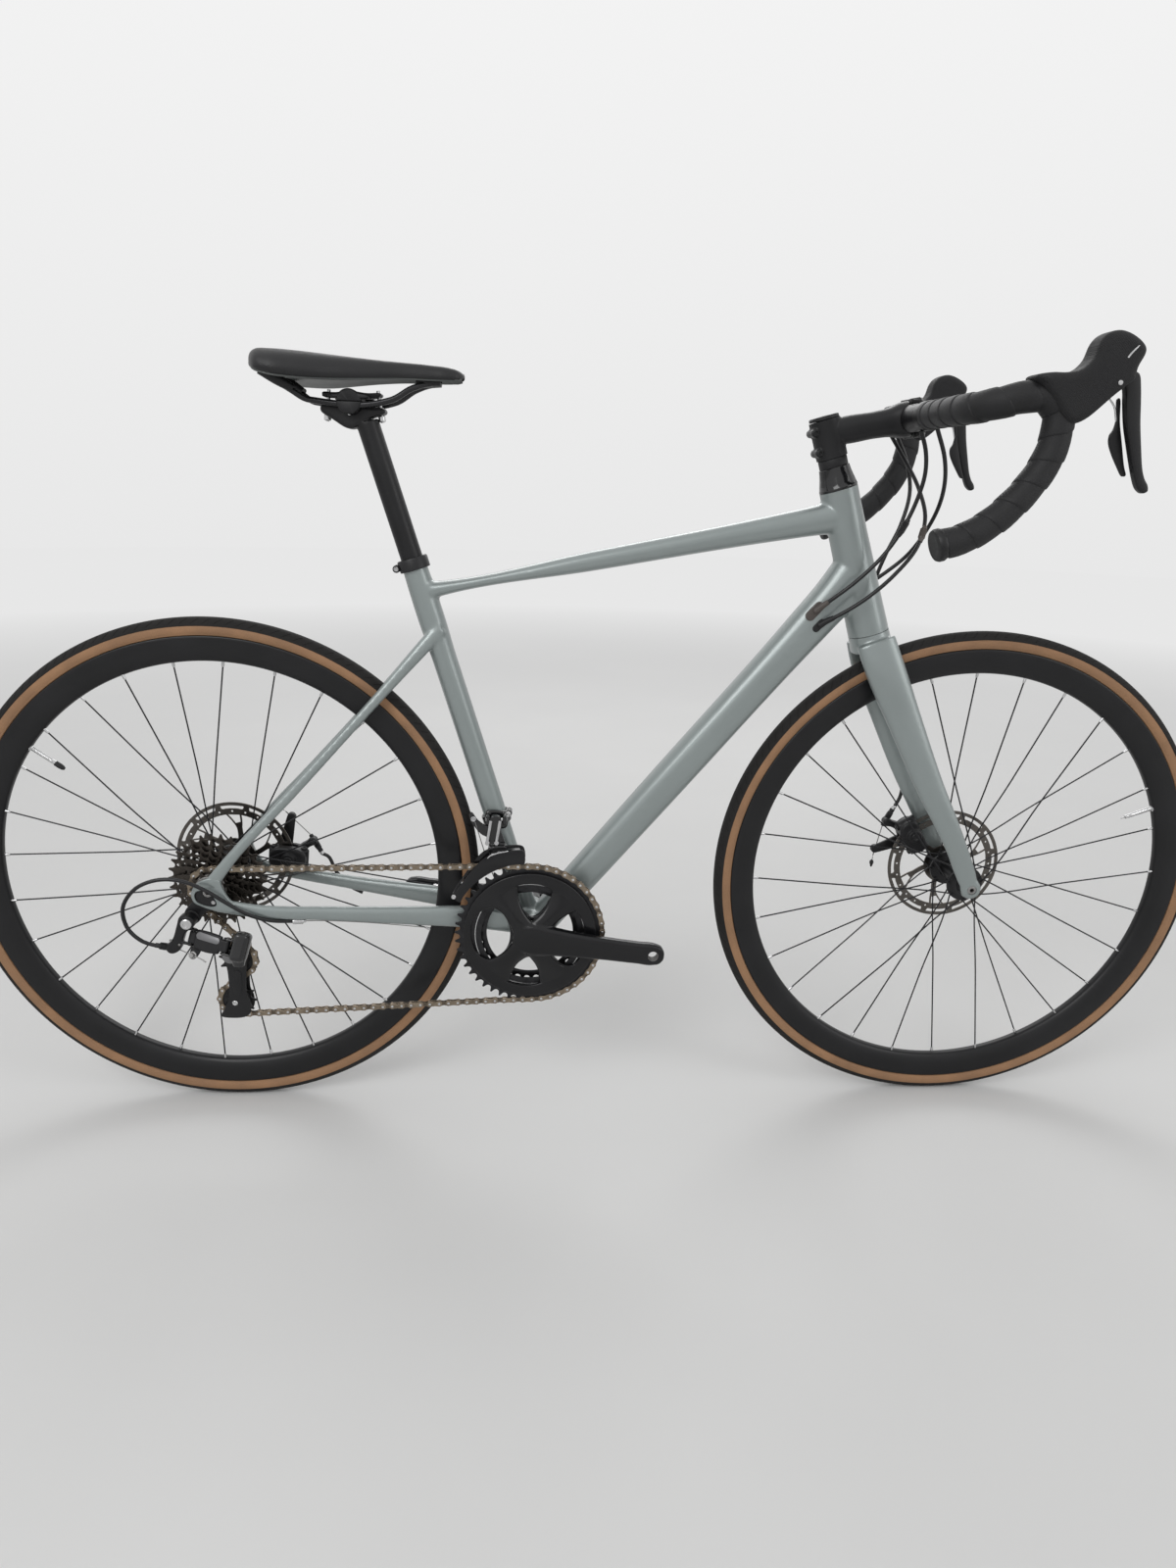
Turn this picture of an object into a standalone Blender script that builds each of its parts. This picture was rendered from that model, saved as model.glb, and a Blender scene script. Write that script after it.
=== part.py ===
# Road bike with drop bar, disc brakes and a two by eight drivetrain, at rest on level ground.
# Metres. +X points forwards, +Z up, and the chain is on the -Y side.
# The origin is on the ground, midway between the axles, in the middle plane.

import math

import bmesh
import bpy
from mathutils import Matrix, Vector
from mathutils.geometry import tessellate_polygon

# Driving dimensions: wheels and frame geometry
WHEELBASE = 1.000
TYRE_RADIUS = 0.339
TYRE_WIDTH = 0.028
RIM_INNER_RADIUS = 0.2837
RIM_OUTER_RADIUS = 0.3165
RIM_WIDTH = 0.023
BB_AHEAD_OF_REAR_AXLE = 0.4085
BB_DROP = 0.070
SEAT_ANGLE = math.radians(72.9)
SEAT_TUBE_LENGTH = 0.5074
HEAD_ANGLE = math.radians(72.1)
HEAD_TUBE_LENGTH = 0.184
FORK_LENGTH = 0.3675
FORK_RAKE = 0.0487
REAR_HUB_WIDTH = 0.142
FRONT_HUB_WIDTH = 0.100
BB_SHELL_WIDTH = 0.068

# Driving dimensions: tubes
SEAT_TUBE_DIAMETER = 0.0310
SEATPOST_DIAMETER = 0.0272
SEATPOST_LENGTH = 0.300
SEATPOST_EXPOSED = 0.160
HEAD_TUBE_TOP_DIAMETER = 0.047
HEAD_TUBE_BOTTOM_DIAMETER = 0.051
HEAD_BORE_DIAMETER = 0.041
STEERER_DIAMETER = 0.0286
STEERER_FOOT_RADIUS = 0.0175
SPACER_WALL = 0.0025
STEM_WALL = 0.0040
BB_SHELL_DIAMETER = 0.042
SPINDLE_DIAMETER = 0.024
AXLE_DIAMETER = 0.012
DROPOUT_THICKNESS = 0.006

# Driving dimensions: cockpit and saddle
STACK_ABOVE_HEAD_TUBE = 0.0385
STEM_CLAMP_HEIGHT = 0.045
STEM_LENGTH = 0.100
STEM_RISE = math.radians(-7.0)
BAR_CLAMP_DIAMETER = 0.0318
BAR_DIAMETER = 0.0238
TAPE_DIAMETER = 0.0324
BAR_HALF_WIDTH = 0.210
SADDLE_LENGTH = 0.241
SADDLE_WIDTH = 0.145
RAIL_DIAMETER = 0.007
RAIL_SPREAD = 0.044
RAIL_HEIGHT_ABOVE_POST = 0.0245
CLAMP_RADIUS = 0.0140
CLAMP_WIDTH = 0.056

# Driving dimensions: drivetrain and brakes
CHAIN_PITCH = 0.0127
CHAIN_HEIGHT = 0.0080
CHAIN_WIDTH = 0.0070
RING_TEETH = 48
INNER_RING_TEETH = 34
COG_TEETH = (11, 13, 15, 17, 20, 23, 26, 30)
COG_PITCH = 0.0048
CHAIN_COG = 1
PULLEY_TEETH = 11
CRANK_LENGTH = 0.165
CRANK_ANGLE = math.radians(-7.0)
ROTOR_RADIUS = 0.080
ROTOR_THICKNESS = 0.0018
CABLE_DIAMETER = 0.005

# Shares and clearances
GAP = 0.0003
ROUND = 16
WHEEL_SEGMENTS = 40
SPOKES_PER_FLANGE = 14
SPOKE_RADIUS = 0.0012
FRONT_SPOKE_PHASE = math.radians(1.2)
REAR_SPOKE_PHASE = math.radians(8.57)
FLANGE_RADIUS = 0.0245
CHAIN_LINE = 0.0470
RING_GAP = 0.0075
RING_THICKNESS = 0.0024

X_AXIS = Vector((1, 0, 0))
Y_AXIS = Vector((0, 1, 0))
DOWN = Vector((0, 0, -1))

# Anchor points that follow from the driving dimensions
REAR = Vector((-WHEELBASE / 2, 0, TYRE_RADIUS))
FRONT = Vector((WHEELBASE / 2, 0, TYRE_RADIUS))
BB = REAR + Vector((BB_AHEAD_OF_REAR_AXLE, 0, -BB_DROP))
STEER = Vector((-math.cos(HEAD_ANGLE), 0, math.sin(HEAD_ANGLE)))
STEER_AHEAD = Vector((math.sin(HEAD_ANGLE), 0, math.cos(HEAD_ANGLE)))
STEER_FOOT = FRONT - STEER_AHEAD * FORK_RAKE
SEAT = Vector((-math.cos(SEAT_ANGLE), 0, math.sin(SEAT_ANGLE)))
SEAT_AHEAD = Vector((math.sin(SEAT_ANGLE), 0, math.cos(SEAT_ANGLE)))
HEAD_TOP = FORK_LENGTH + HEAD_TUBE_LENGTH
STEM_BOTTOM = HEAD_TOP + STACK_ABOVE_HEAD_TUBE
STEM_TOP = STEM_BOTTOM + STEM_CLAMP_HEIGHT
STEM_AXIS_HEIGHT = STEM_TOP - 0.0155
STEM_DIRECTION = (Matrix.Rotation(-STEM_RISE, 3, "Y") @ STEER_AHEAD).normalized()
SEAT_TOP = SEAT_TUBE_LENGTH
POST_TOP = SEAT_TUBE_LENGTH + SEATPOST_EXPOSED


def on_steer(along, ahead=0.0, y=0.0):
    """A point by its height along the steering axis above the foot, and its distance ahead of it."""
    return STEER_FOOT + STEER * along + STEER_AHEAD * ahead + Y_AXIS * y


def on_seat(along, ahead=0.0, y=0.0):
    """A point by its distance up the seat tube from the bottom bracket."""
    return BB + SEAT * along + SEAT_AHEAD * ahead + Y_AXIS * y


def offset(anchor, x, z, y=0.0):
    return anchor + Vector((x, y, z))


BAR = on_steer(STEM_AXIS_HEIGHT) + STEM_DIRECTION * STEM_LENGTH
RAIL = on_seat(POST_TOP) + Vector((-0.0178, 0, RAIL_HEIGHT_ABOVE_POST))

COLOURS = {
    "frame_paint": ((0.33, 0.38, 0.39), 0.32, 0.35),
    "gloss_black": ((0.012, 0.012, 0.014), 0.12, 0.0),
    "satin_black": ((0.018, 0.018, 0.020), 0.42, 0.3),
    "bar_tape": ((0.020, 0.020, 0.021), 0.62, 0.0),
    "hood_rubber": ((0.022, 0.022, 0.024), 0.70, 0.0),
    "tread": ((0.035, 0.032, 0.030), 0.85, 0.0),
    "rim": ((0.014, 0.014, 0.016), 0.35, 0.4),
    "spoke": ((0.03, 0.03, 0.032), 0.35, 0.8),
    "rotor": ((0.34, 0.33, 0.32), 0.35, 1.0),
    "chain": ((0.24, 0.20, 0.16), 0.42, 1.0),
    "steel": ((0.45, 0.45, 0.46), 0.30, 1.0),
    "saddle": ((0.022, 0.022, 0.023), 0.55, 0.0),
    "housing": ((0.010, 0.010, 0.011), 0.35, 0.0),
}


def material(name):
    """The named material, made once."""
    found = bpy.data.materials.get(name)
    if found:
        return found
    colour, roughness, metallic = COLOURS[name]
    made = bpy.data.materials.new(name)
    made.use_nodes = True
    shader = made.node_tree.nodes["Principled BSDF"]
    shader.inputs["Base Color"].default_value = (*colour, 1.0)
    shader.inputs["Roughness"].default_value = roughness
    shader.inputs["Metallic"].default_value = metallic
    return made


# Shape helpers


def solid(name, shape, material_name, origin=None):
    """An object from a closed bmesh in world coordinates, with its own origin where one is given."""
    bmesh.ops.recalc_face_normals(shape, faces=shape.faces)
    origin = origin or Vector((0, 0, 0))
    bmesh.ops.translate(shape, verts=shape.verts, vec=-origin)
    mesh = bpy.data.meshes.new(name)
    shape.to_mesh(mesh)
    shape.free()
    mesh.shade_smooth()
    mesh.set_sharp_from_angle(angle=math.radians(38))
    mesh.materials.append(material(material_name))
    made = bpy.data.objects.new(name, mesh)
    made.location = origin
    bpy.context.scene.collection.objects.link(made)
    return made


def combine(base, others, operation="UNION"):
    """Booleans of the other shapes into the base; they stay in the file as hidden cutters."""
    for other in others:
        other.hide_render = True
        other.display_type = "WIRE"
        modifier = base.modifiers.new(other.name, "BOOLEAN")
        modifier.operation = operation
        modifier.solver = "EXACT"
        modifier.object = other
    return base


def bridge(shape, first, second, split=False):
    """Faces between two rings of vertices, either of which may be a single point."""
    count = max(len(first), len(second))
    for i in range(count):
        j = (i + 1) % count
        corners = (
            first[i % len(first)],
            first[j % len(first)],
            second[j % len(second)],
            second[i % len(second)],
        )
        corners = list(dict.fromkeys(corners))
        if split and len(corners) == 4:
            shape.faces.new(corners[:3])
            shape.faces.new((corners[0], *corners[2:]))
        elif len(corners) > 2:
            shape.faces.new(corners)


def loft(rings, closed=False, split=False):
    """A closed body through rings of points, capped at both ends or joined round to its start."""
    shape = bmesh.new()
    made = [[shape.verts.new(point) for point in ring] for ring in rings]
    for first, second in zip(made, made[1:]):
        bridge(shape, first, second, split)
    if closed:
        bridge(shape, made[-1], made[0], split)
    else:
        shape.faces.new(made[0])
        shape.faces.new(made[-1])
    return shape


def revolve(profile, centre, axis, segments=ROUND):
    """A turned body from (radius, distance along the axis) points: a ring, or solid from axis to axis."""
    axis = axis.normalized()
    start = (DOWN - axis * DOWN.dot(axis)).normalized()
    side = axis.cross(start)
    shape = bmesh.new()
    rings = []
    for radius, along in profile:
        middle = centre + axis * along
        if radius == 0:
            rings.append([shape.verts.new(middle)])
            continue
        angles = [2 * math.pi * i / segments for i in range(segments)]
        rings.append(
            [shape.verts.new(middle + (start * math.cos(a) + side * math.sin(a)) * radius) for a in angles]
        )
    for first, second in zip(rings, rings[1:]):
        bridge(shape, first, second)
    if all(radius > 0 for radius, along in profile):
        bridge(shape, rings[-1], rings[0])
    return shape


def rod(centre, axis, radius, start, end, segments=ROUND):
    """A plain round bar along an axis."""
    return revolve([(0, start), (radius, start), (radius, end), (0, end)], centre, axis, segments)


def sleeve(centre, axis, inner, outer, start, end, segments=ROUND):
    """A plain tube along an axis."""
    profile = [(inner, start), (outer, start), (outer, end), (inner, end)]
    return revolve(profile, centre, axis, segments)


def rounded(value, power):
    return math.copysign(abs(value) ** (2 / power), value)


def section(point, across, up, width, height, sides, power):
    """A ring with round corners: power 2 is an ellipse, and more is squarer."""
    ring = []
    for i in range(sides):
        angle = 2 * math.pi * (i + 0.5) / sides
        right = rounded(math.cos(angle), power) * width / 2
        above = rounded(math.sin(angle), power) * height / 2
        ring.append(point + across * right + up * above)
    return ring


def tube(stations, sides=12, power=2.0):
    """A tapered tube through (point, height, width) stations, with its width kept near the Y axis."""
    points = [station[0] for station in stations]
    rings = []
    for i, (point, height, width) in enumerate(stations):
        ahead = points[min(i + 1, len(points) - 1)] - points[max(i - 1, 0)]
        ahead.normalize()
        across = (Y_AXIS - ahead * ahead.y).normalized()
        rings.append(section(point, across, ahead.cross(across), width, height, sides, power))
    return loft(rings)


def smooth(points, step):
    """Points about one step apart on a smooth curve through the given points."""
    points = [Vector(point) for point in points]
    ends = [2 * points[0] - points[1], *points, 2 * points[-1] - points[-2]]
    result = []
    for before, first, second, after in zip(ends, ends[1:], ends[2:], ends[3:]):
        pieces = max(1, round((second - first).length / step))
        for i in range(pieces):
            t = i / pieces
            bend = 2 * before - 5 * first + 4 * second - after
            twist = 3 * first - before - 3 * second + after
            result.append(first + (second - before) * (t / 2) + bend * (t * t / 2) + twist * (t**3 / 2))
    result.append(points[-1])
    return result


def pipe_rings(points, radii, sides):
    """Rings round a path, turned as little as possible from one to the next."""
    rings = []
    across = None
    for i, point in enumerate(points):
        ahead = (points[min(i + 1, len(points) - 1)] - points[max(i - 1, 0)]).normalized()
        across = across or ahead.orthogonal()
        across = (across - ahead * across.dot(ahead)).normalized()
        rings.append(section(point, across, ahead.cross(across), 2 * radii[i], 2 * radii[i], sides, 2))
    return rings


def plate(loops, low, high, anchor):
    """A flat plate between two Y values: an outline, then any holes, as (x, z) from the anchor."""
    shape = bmesh.new()
    flat = [[Vector((anchor.x + x, anchor.z + z, 0)) for x, z in loop] for loop in loops]
    sides = []
    for y in (low, high):
        sides.append([[shape.verts.new((p.x, y, p.y)) for p in loop] for loop in flat])
    for side in sides:
        ordered = [vertex for loop in side for vertex in loop]
        for corners in tessellate_polygon(flat):
            shape.faces.new([ordered[i] for i in corners])
    for near, far in zip(*sides):
        bridge(shape, near, far)
    return shape


def inset(outline, distance):
    """The outline moved inwards by a distance on every side."""
    following = outline[1:] + outline[:1]
    area = sum(x0 * z1 - x1 * z0 for (x0, z0), (x1, z1) in zip(outline, following))
    side = math.copysign(1, area)
    normals = []
    for (x0, z0), (x1, z1) in zip(outline, following):
        length = math.hypot(x1 - x0, z1 - z0)
        normals.append((side * (z0 - z1) / length, side * (x1 - x0) / length))
    moved = []
    for i, (x, z) in enumerate(outline):
        (ax, az), (bx, bz) = normals[i - 1], normals[i]
        share = distance / (1 + ax * bx + az * bz)
        moved.append((x + (ax + bx) * share, z + (az + bz) * share))
    return moved


def pillow(outline, middle, half_width, anchor, steps=((1.0, 0.0012), (0.7, 0.0))):
    """A plate with rounded sides: each step is a share of the half width and how far the outline is inset."""
    levels = [(-share, depth) for share, depth in steps]
    levels += [(share, depth) for share, depth in reversed(steps)]
    rings = []
    for share, depth in levels:
        y = middle + share * half_width
        rings.append([Vector((anchor.x + x, y, anchor.z + z)) for x, z in inset(outline, depth)])
    return loft(rings)


def circle(radius, count, x=0.0, z=0.0):
    angles = [2 * math.pi * i / count for i in range(count)]
    return [(x + radius * math.cos(a), z + radius * math.sin(a)) for a in angles]


def pitch_radius(teeth):
    return CHAIN_PITCH / (2 * math.sin(math.pi / teeth))


def tooth_radius(teeth):
    """The tip of a tooth under the chain, which is a plain band here."""
    return pitch_radius(teeth) - CHAIN_HEIGHT / 2 - 2 * GAP


def toothed(teeth, depth=0.003):
    """An outline with one point for each tooth and each gap between teeth."""
    tip = tooth_radius(teeth)
    outline = []
    for i in range(2 * teeth):
        radius = tip if i % 2 == 0 else tip - depth
        angle = math.pi * i / teeth
        outline.append((radius * math.cos(angle), radius * math.sin(angle)))
    return outline


def capsule(x0, z0, r0, x1, z1, r1, count=6):
    """The outline round two circles, each given by its centre and radius."""
    angle = math.atan2(z1 - z0, x1 - x0)
    outline = []
    for x, z, radius, start in ((x1, z1, r1, angle - math.pi / 2), (x0, z0, r0, angle + math.pi / 2)):
        for i in range(count + 1):
            a = start + math.pi * i / count
            outline.append((x + radius * math.cos(a), z + radius * math.sin(a)))
    return outline


# Frame


def stay(path, side, name):
    """One stay from (dx, dz, y, height, width) stations measured from the rear axle."""
    stations = [(offset(REAR, dx, dz, side * y), high, wide) for dx, dz, y, high, wide in path]
    return solid(name, tube(stations, 10, 2.4), "frame_paint")


def make_frame():
    half_hub = REAR_HUB_WIDTH / 2
    bb = BB - REAR
    seat_radius = SEAT_TUBE_DIAMETER / 2
    seat_tube = rod(BB, SEAT, seat_radius, 0.0, SEAT_TOP)
    base = solid("frame", seat_tube, "frame_paint")
    top_rear = on_seat(0.4655)
    top_front = on_steer(HEAD_TOP - 0.0325)
    down_front = on_steer(FORK_LENGTH + 0.0783)
    down_rear = BB + Vector((0.0162, 0, 0))
    top_middle = top_rear.lerp(top_front, 0.84)
    down_middle = down_rear.lerp(down_front, 0.85)
    top_tube = [(top_rear, 0.0165, 0.029), (top_middle, 0.0325, 0.037), (top_front, 0.036, 0.037)]
    down_tube = [(down_rear, 0.043, 0.041), (down_middle, 0.051, 0.044), (down_front, 0.053, 0.044)]
    head = [
        (HEAD_TUBE_BOTTOM_DIAMETER / 2, FORK_LENGTH + GAP),
        (HEAD_TUBE_BOTTOM_DIAMETER / 2, FORK_LENGTH + 0.03),
        (HEAD_TUBE_TOP_DIAMETER / 2, HEAD_TOP - 0.03),
        (HEAD_TUBE_TOP_DIAMETER / 2, HEAD_TOP),
    ]
    head = [(0, head[0][1]), *head, (0, HEAD_TOP)]
    chainstay = [
        (bb.x - 0.010, bb.z + 0.006, 0.0215, 0.034, 0.020),
        (bb.x - 0.072, bb.z + 0.0150, 0.0258, 0.033, 0.0150),
        (bb.x - 0.150, bb.z + 0.0225, 0.0375, 0.027, 0.0155),
        (0.150, -0.0370, 0.0540, 0.0195, 0.0140),
        (0.060, -0.0270, half_hub - 0.0010, 0.0185, 0.0110),
        (0.016, -0.0180, half_hub + 0.0035, 0.0210, 0.0080),
    ]
    top_of_stay = on_seat(0.4090) - REAR
    seatstay = [
        (0.004, 0.0130, half_hub + 0.0035, 0.0190, 0.0080),
        (0.030, 0.0430, half_hub - 0.0015, 0.0150, 0.0100),
        (0.1128, 0.1320, 0.0500, 0.0135, 0.0120),
        (0.2240, 0.2540, 0.0250, 0.0140, 0.0130),
        (top_of_stay.x - 0.004, top_of_stay.z, 0.0125, 0.0160, 0.0140),
    ]
    pieces = [
        solid("cut_top_tube", tube(top_tube, 12, 2.5), "frame_paint"),
        solid("cut_down_tube", tube(down_tube, 12, 2.8), "frame_paint"),
        solid("cut_head_tube", revolve(head, STEER_FOOT, STEER), "frame_paint"),
        solid(
            "cut_bb_shell",
            rod(BB, Y_AXIS, BB_SHELL_DIAMETER / 2, -BB_SHELL_WIDTH / 2, BB_SHELL_WIDTH / 2),
            "frame_paint",
        ),
    ]
    dropout = [
        (-0.0200, -0.0010),
        (-0.0170, -0.0120),
        (-0.0060, -0.0190),
        (0.0180, -0.0265),
        (0.0360, -0.0250),
        (0.0240, -0.0080),
        (0.0160, 0.0180),
        (0.0020, 0.0190),
        (-0.0120, 0.0130),
    ]
    hanger = [
        (-0.0190, -0.0060),
        (-0.0330, -0.0300),
        (-0.0270, -0.0420),
        (-0.0130, -0.0420),
        (0.0020, -0.0180),
    ]
    for side in (-1, 1):
        tag = "right" if side < 0 else "left"
        low, high = sorted((side * half_hub, side * (half_hub + DROPOUT_THICKNESS)))
        pieces.append(stay(chainstay, side, "cut_chainstay_" + tag))
        pieces.append(stay(seatstay, side, "cut_seatstay_" + tag))
        pieces.append(solid("cut_dropout_" + tag, plate([dropout], low, high, REAR), "frame_paint"))
    low = -half_hub - DROPOUT_THICKNESS
    pieces.append(solid("cut_hanger", plate([hanger], low, low + 0.0045, REAR), "frame_paint"))
    combine(base, pieces)
    bore = HEAD_BORE_DIAMETER / 2
    post_bore = SEATPOST_DIAMETER / 2 + GAP
    bb_bore = BB_SHELL_DIAMETER / 2 - 0.0035
    axle_bore = AXLE_DIAMETER / 2 + GAP
    cuts = [
        rod(STEER_FOOT, STEER, bore, FORK_LENGTH - 0.01, HEAD_TOP + 0.01),
        rod(BB, SEAT, post_bore, SEAT_TOP - 0.235, SEAT_TOP + 0.01),
        rod(BB, Y_AXIS, bb_bore, -0.05, 0.05),
        rod(REAR, Y_AXIS, axle_bore, -0.10, 0.10),
    ]
    combine(base, [solid(f"bore_{i}", cut, "frame_paint") for i, cut in enumerate(cuts)], "DIFFERENCE")


def make_frame_fittings():
    tube_radius = SEAT_TUBE_DIAMETER / 2
    collar = [
        (tube_radius + GAP, SEAT_TOP - 0.013),
        (tube_radius + 0.0032, SEAT_TOP - 0.013),
        (tube_radius + 0.0032, SEAT_TOP + 0.0006),
        (SEATPOST_DIAMETER / 2 + GAP, SEAT_TOP + 0.0006),
        (SEATPOST_DIAMETER / 2 + GAP, SEAT_TOP + GAP),
        (tube_radius + GAP, SEAT_TOP + GAP),
    ]
    seat_collar = solid("seat_collar", revolve(collar, BB, SEAT), "satin_black")
    lug = rod(on_seat(SEAT_TOP - 0.0065, -tube_radius - 0.0045), Y_AXIS, 0.0040, -0.008, 0.008, 8)
    combine(seat_collar, [solid("cut_collar_lug", lug, "satin_black")])
    bore = HEAD_BORE_DIAMETER / 2 - GAP
    inside = STEERER_DIAMETER / 2 + 2 * GAP
    upper = sleeve(STEER_FOOT, STEER, inside, bore, HEAD_TOP - 0.008, HEAD_TOP - 0.0005)
    inside = STEERER_FOOT_RADIUS + 2 * GAP
    lower = sleeve(STEER_FOOT, STEER, inside, bore, FORK_LENGTH + 0.0006, FORK_LENGTH + 0.0080)
    solid("headset_bearing_upper", upper, "steel")
    solid("headset_bearing_lower", lower, "steel")
    half = BB_SHELL_WIDTH / 2
    inside = SPINDLE_DIAMETER / 2 + GAP
    outside = BB_SHELL_DIAMETER / 2 - 0.0035 - GAP
    cup = BB_SHELL_DIAMETER / 2 - 0.0005
    profile = [
        (inside, -half - 0.0028),
        (cup, -half - 0.0028),
        (cup, -half - GAP),
        (outside, -half - GAP),
        (outside, half + GAP),
        (cup, half + GAP),
        (cup, half + 0.0028),
        (inside, half + 0.0028),
    ]
    solid("bottom_bracket", revolve(profile, BB, Y_AXIS), "satin_black")
    end = REAR_HUB_WIDTH / 2 + DROPOUT_THICKNESS
    profile = [
        (0, -end + GAP),
        (AXLE_DIAMETER / 2, -end + GAP),
        (AXLE_DIAMETER / 2, end + GAP),
        (0.0095, end + GAP),
        (0.0085, end + 0.0030),
        (0, end + 0.0030),
    ]
    solid("rear_axle", revolve(profile, REAR, Y_AXIS), "satin_black")


# Fork and cockpit


def make_fork():
    steerer = [
        (0, FORK_LENGTH - 0.010),
        (STEERER_FOOT_RADIUS, FORK_LENGTH - 0.010),
        (STEERER_FOOT_RADIUS, FORK_LENGTH + 0.012),
        (STEERER_DIAMETER / 2, FORK_LENGTH + 0.045),
        (STEERER_DIAMETER / 2, STEM_TOP - 0.003),
        (0, STEM_TOP - 0.003),
    ]
    fork = solid("fork", revolve(steerer, STEER_FOOT, STEER), "frame_paint", on_steer(FORK_LENGTH))
    crown = [
        (on_steer(FORK_LENGTH - GAP), 0.0505, 0.0505),
        (on_steer(FORK_LENGTH - 0.012), 0.0520, 0.0560),
        (on_steer(FORK_LENGTH - 0.0215), 0.0525, 0.0620),
    ]
    parts = [solid("cut_crown", tube(crown, 16, 2.2), "frame_paint")]
    hub = FRONT_HUB_WIDTH / 2
    share = FORK_LENGTH / 0.3675
    blade = [
        (0.0010, 0.3555, 0.0250, 0.0515, 0.0200),
        (0.0025, 0.3280, 0.0290, 0.0510, 0.0215),
        (0.0120, 0.2500, 0.0375, 0.0440, 0.0185),
        (0.0240, 0.1600, 0.0460, 0.0365, 0.0160),
        (0.0400, 0.0700, hub + 0.0040, 0.0290, 0.0110),
        (0.0475, 0.0100, hub + 0.0052, 0.0250, 0.0080),
        (0.0500, -0.0130, hub + 0.0052, 0.0170, 0.0080),
    ]
    for side in (-1, 1):
        tag = "right" if side < 0 else "left"
        stations = []
        for ahead, along, y, chord, wide in blade:
            rake = ahead * FORK_RAKE / 0.0487
            stations.append((on_steer(along * share, rake, side * y), chord, wide))
        parts.append(solid("cut_blade_" + tag, tube(stations, 12, 2.2), "frame_paint"))
    combine(fork, parts)
    hole = rod(FRONT, Y_AXIS, AXLE_DIAMETER / 2 + GAP, -0.10, 0.10)
    combine(fork, [solid("bore_front_axle", hole, "frame_paint")], "DIFFERENCE")
    end = hub + 0.0092
    profile = [
        (0, -end - 0.0022),
        (0.0090, -end - 0.0022),
        (0.0090, -end - GAP),
        (AXLE_DIAMETER / 2, -end - GAP),
        (AXLE_DIAMETER / 2, end - 0.0005),
        (0, end - 0.0005),
    ]
    solid("front_axle", revolve(profile, FRONT, Y_AXIS), "satin_black")


def make_stem():
    bore = STEERER_DIAMETER / 2 + GAP
    spacer = STEERER_DIAMETER / 2 + SPACER_WALL
    stem_radius = STEERER_DIAMETER / 2 + STEM_WALL
    cone = [
        (bore, HEAD_TOP + GAP),
        (HEAD_TUBE_TOP_DIAMETER / 2, HEAD_TOP + GAP),
        (spacer + 0.0014, HEAD_TOP + 0.0220),
        (spacer, HEAD_TOP + 0.0260),
        (spacer, STEM_BOTTOM - GAP),
        (bore, STEM_BOTTOM - GAP),
    ]
    solid("headset_cone", revolve(cone, STEER_FOOT, STEER), "gloss_black")
    stem = solid("stem", rod(STEER_FOOT, STEER, stem_radius, STEM_BOTTOM, STEM_TOP), "satin_black")
    start = on_steer(STEM_AXIS_HEIGHT)
    clamp = BAR_CLAMP_DIAMETER / 2
    tube_stations = [
        (start + STEM_DIRECTION * 0.004, 0.0270, 0.0330),
        (start + STEM_DIRECTION * 0.020, 0.0335, 0.0330),
        (start + STEM_DIRECTION * (STEM_LENGTH - 0.030), 0.0330, 0.0350),
        (start + STEM_DIRECTION * (STEM_LENGTH - 0.014), 0.0400, 0.0420),
        (start + STEM_DIRECTION * (STEM_LENGTH - 0.0008), 0.0420, 0.0420),
    ]
    ears = [
        rod(on_steer(STEM_BOTTOM + height, 0.0013 - stem_radius), Y_AXIS, 0.0042, -0.013, 0.013, 8)
        for height in (0.009, 0.033)
    ]
    combine(stem, [solid("cut_stem_tube", tube(tube_stations, 14, 2.6), "satin_black")])
    combine(stem, [solid(f"cut_stem_ear_{i}", ear, "satin_black") for i, ear in enumerate(ears)])
    bores = [
        rod(STEER_FOOT, STEER, bore, STEM_BOTTOM - 0.01, STEM_TOP + 0.01),
        rod(BAR, Y_AXIS, clamp + 2 * GAP, -0.05, 0.05),
    ]
    combine(stem, [solid(f"bore_stem_{i}", cut, "satin_black") for i, cut in enumerate(bores)], "DIFFERENCE")
    along = math.atan2(STEM_DIRECTION.z, STEM_DIRECTION.x)
    inner = clamp + 2 * GAP
    outer = clamp + 0.0055
    half_turn = [along - math.pi / 2 + math.pi * i / 10 for i in range(11)]
    shift = Vector((STEM_DIRECTION.x, STEM_DIRECTION.z)) * 0.0010
    arc = [(shift.x + outer * math.cos(a), shift.y + outer * math.sin(a)) for a in half_turn]
    arc += [(shift.x + inner * math.cos(a), shift.y + inner * math.sin(a)) for a in reversed(half_turn)]
    solid("stem_faceplate", plate([arc], -0.021, 0.021, BAR), "satin_black")
    cap_radius = stem_radius - 0.0011
    cap = [
        (0, STEM_TOP + GAP),
        (cap_radius, STEM_TOP + GAP),
        (cap_radius, STEM_TOP + 0.0040),
        (0, STEM_TOP + 0.0050),
    ]
    solid("stem_top_cap", revolve(cap, STEER_FOOT, STEER), "satin_black")


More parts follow.
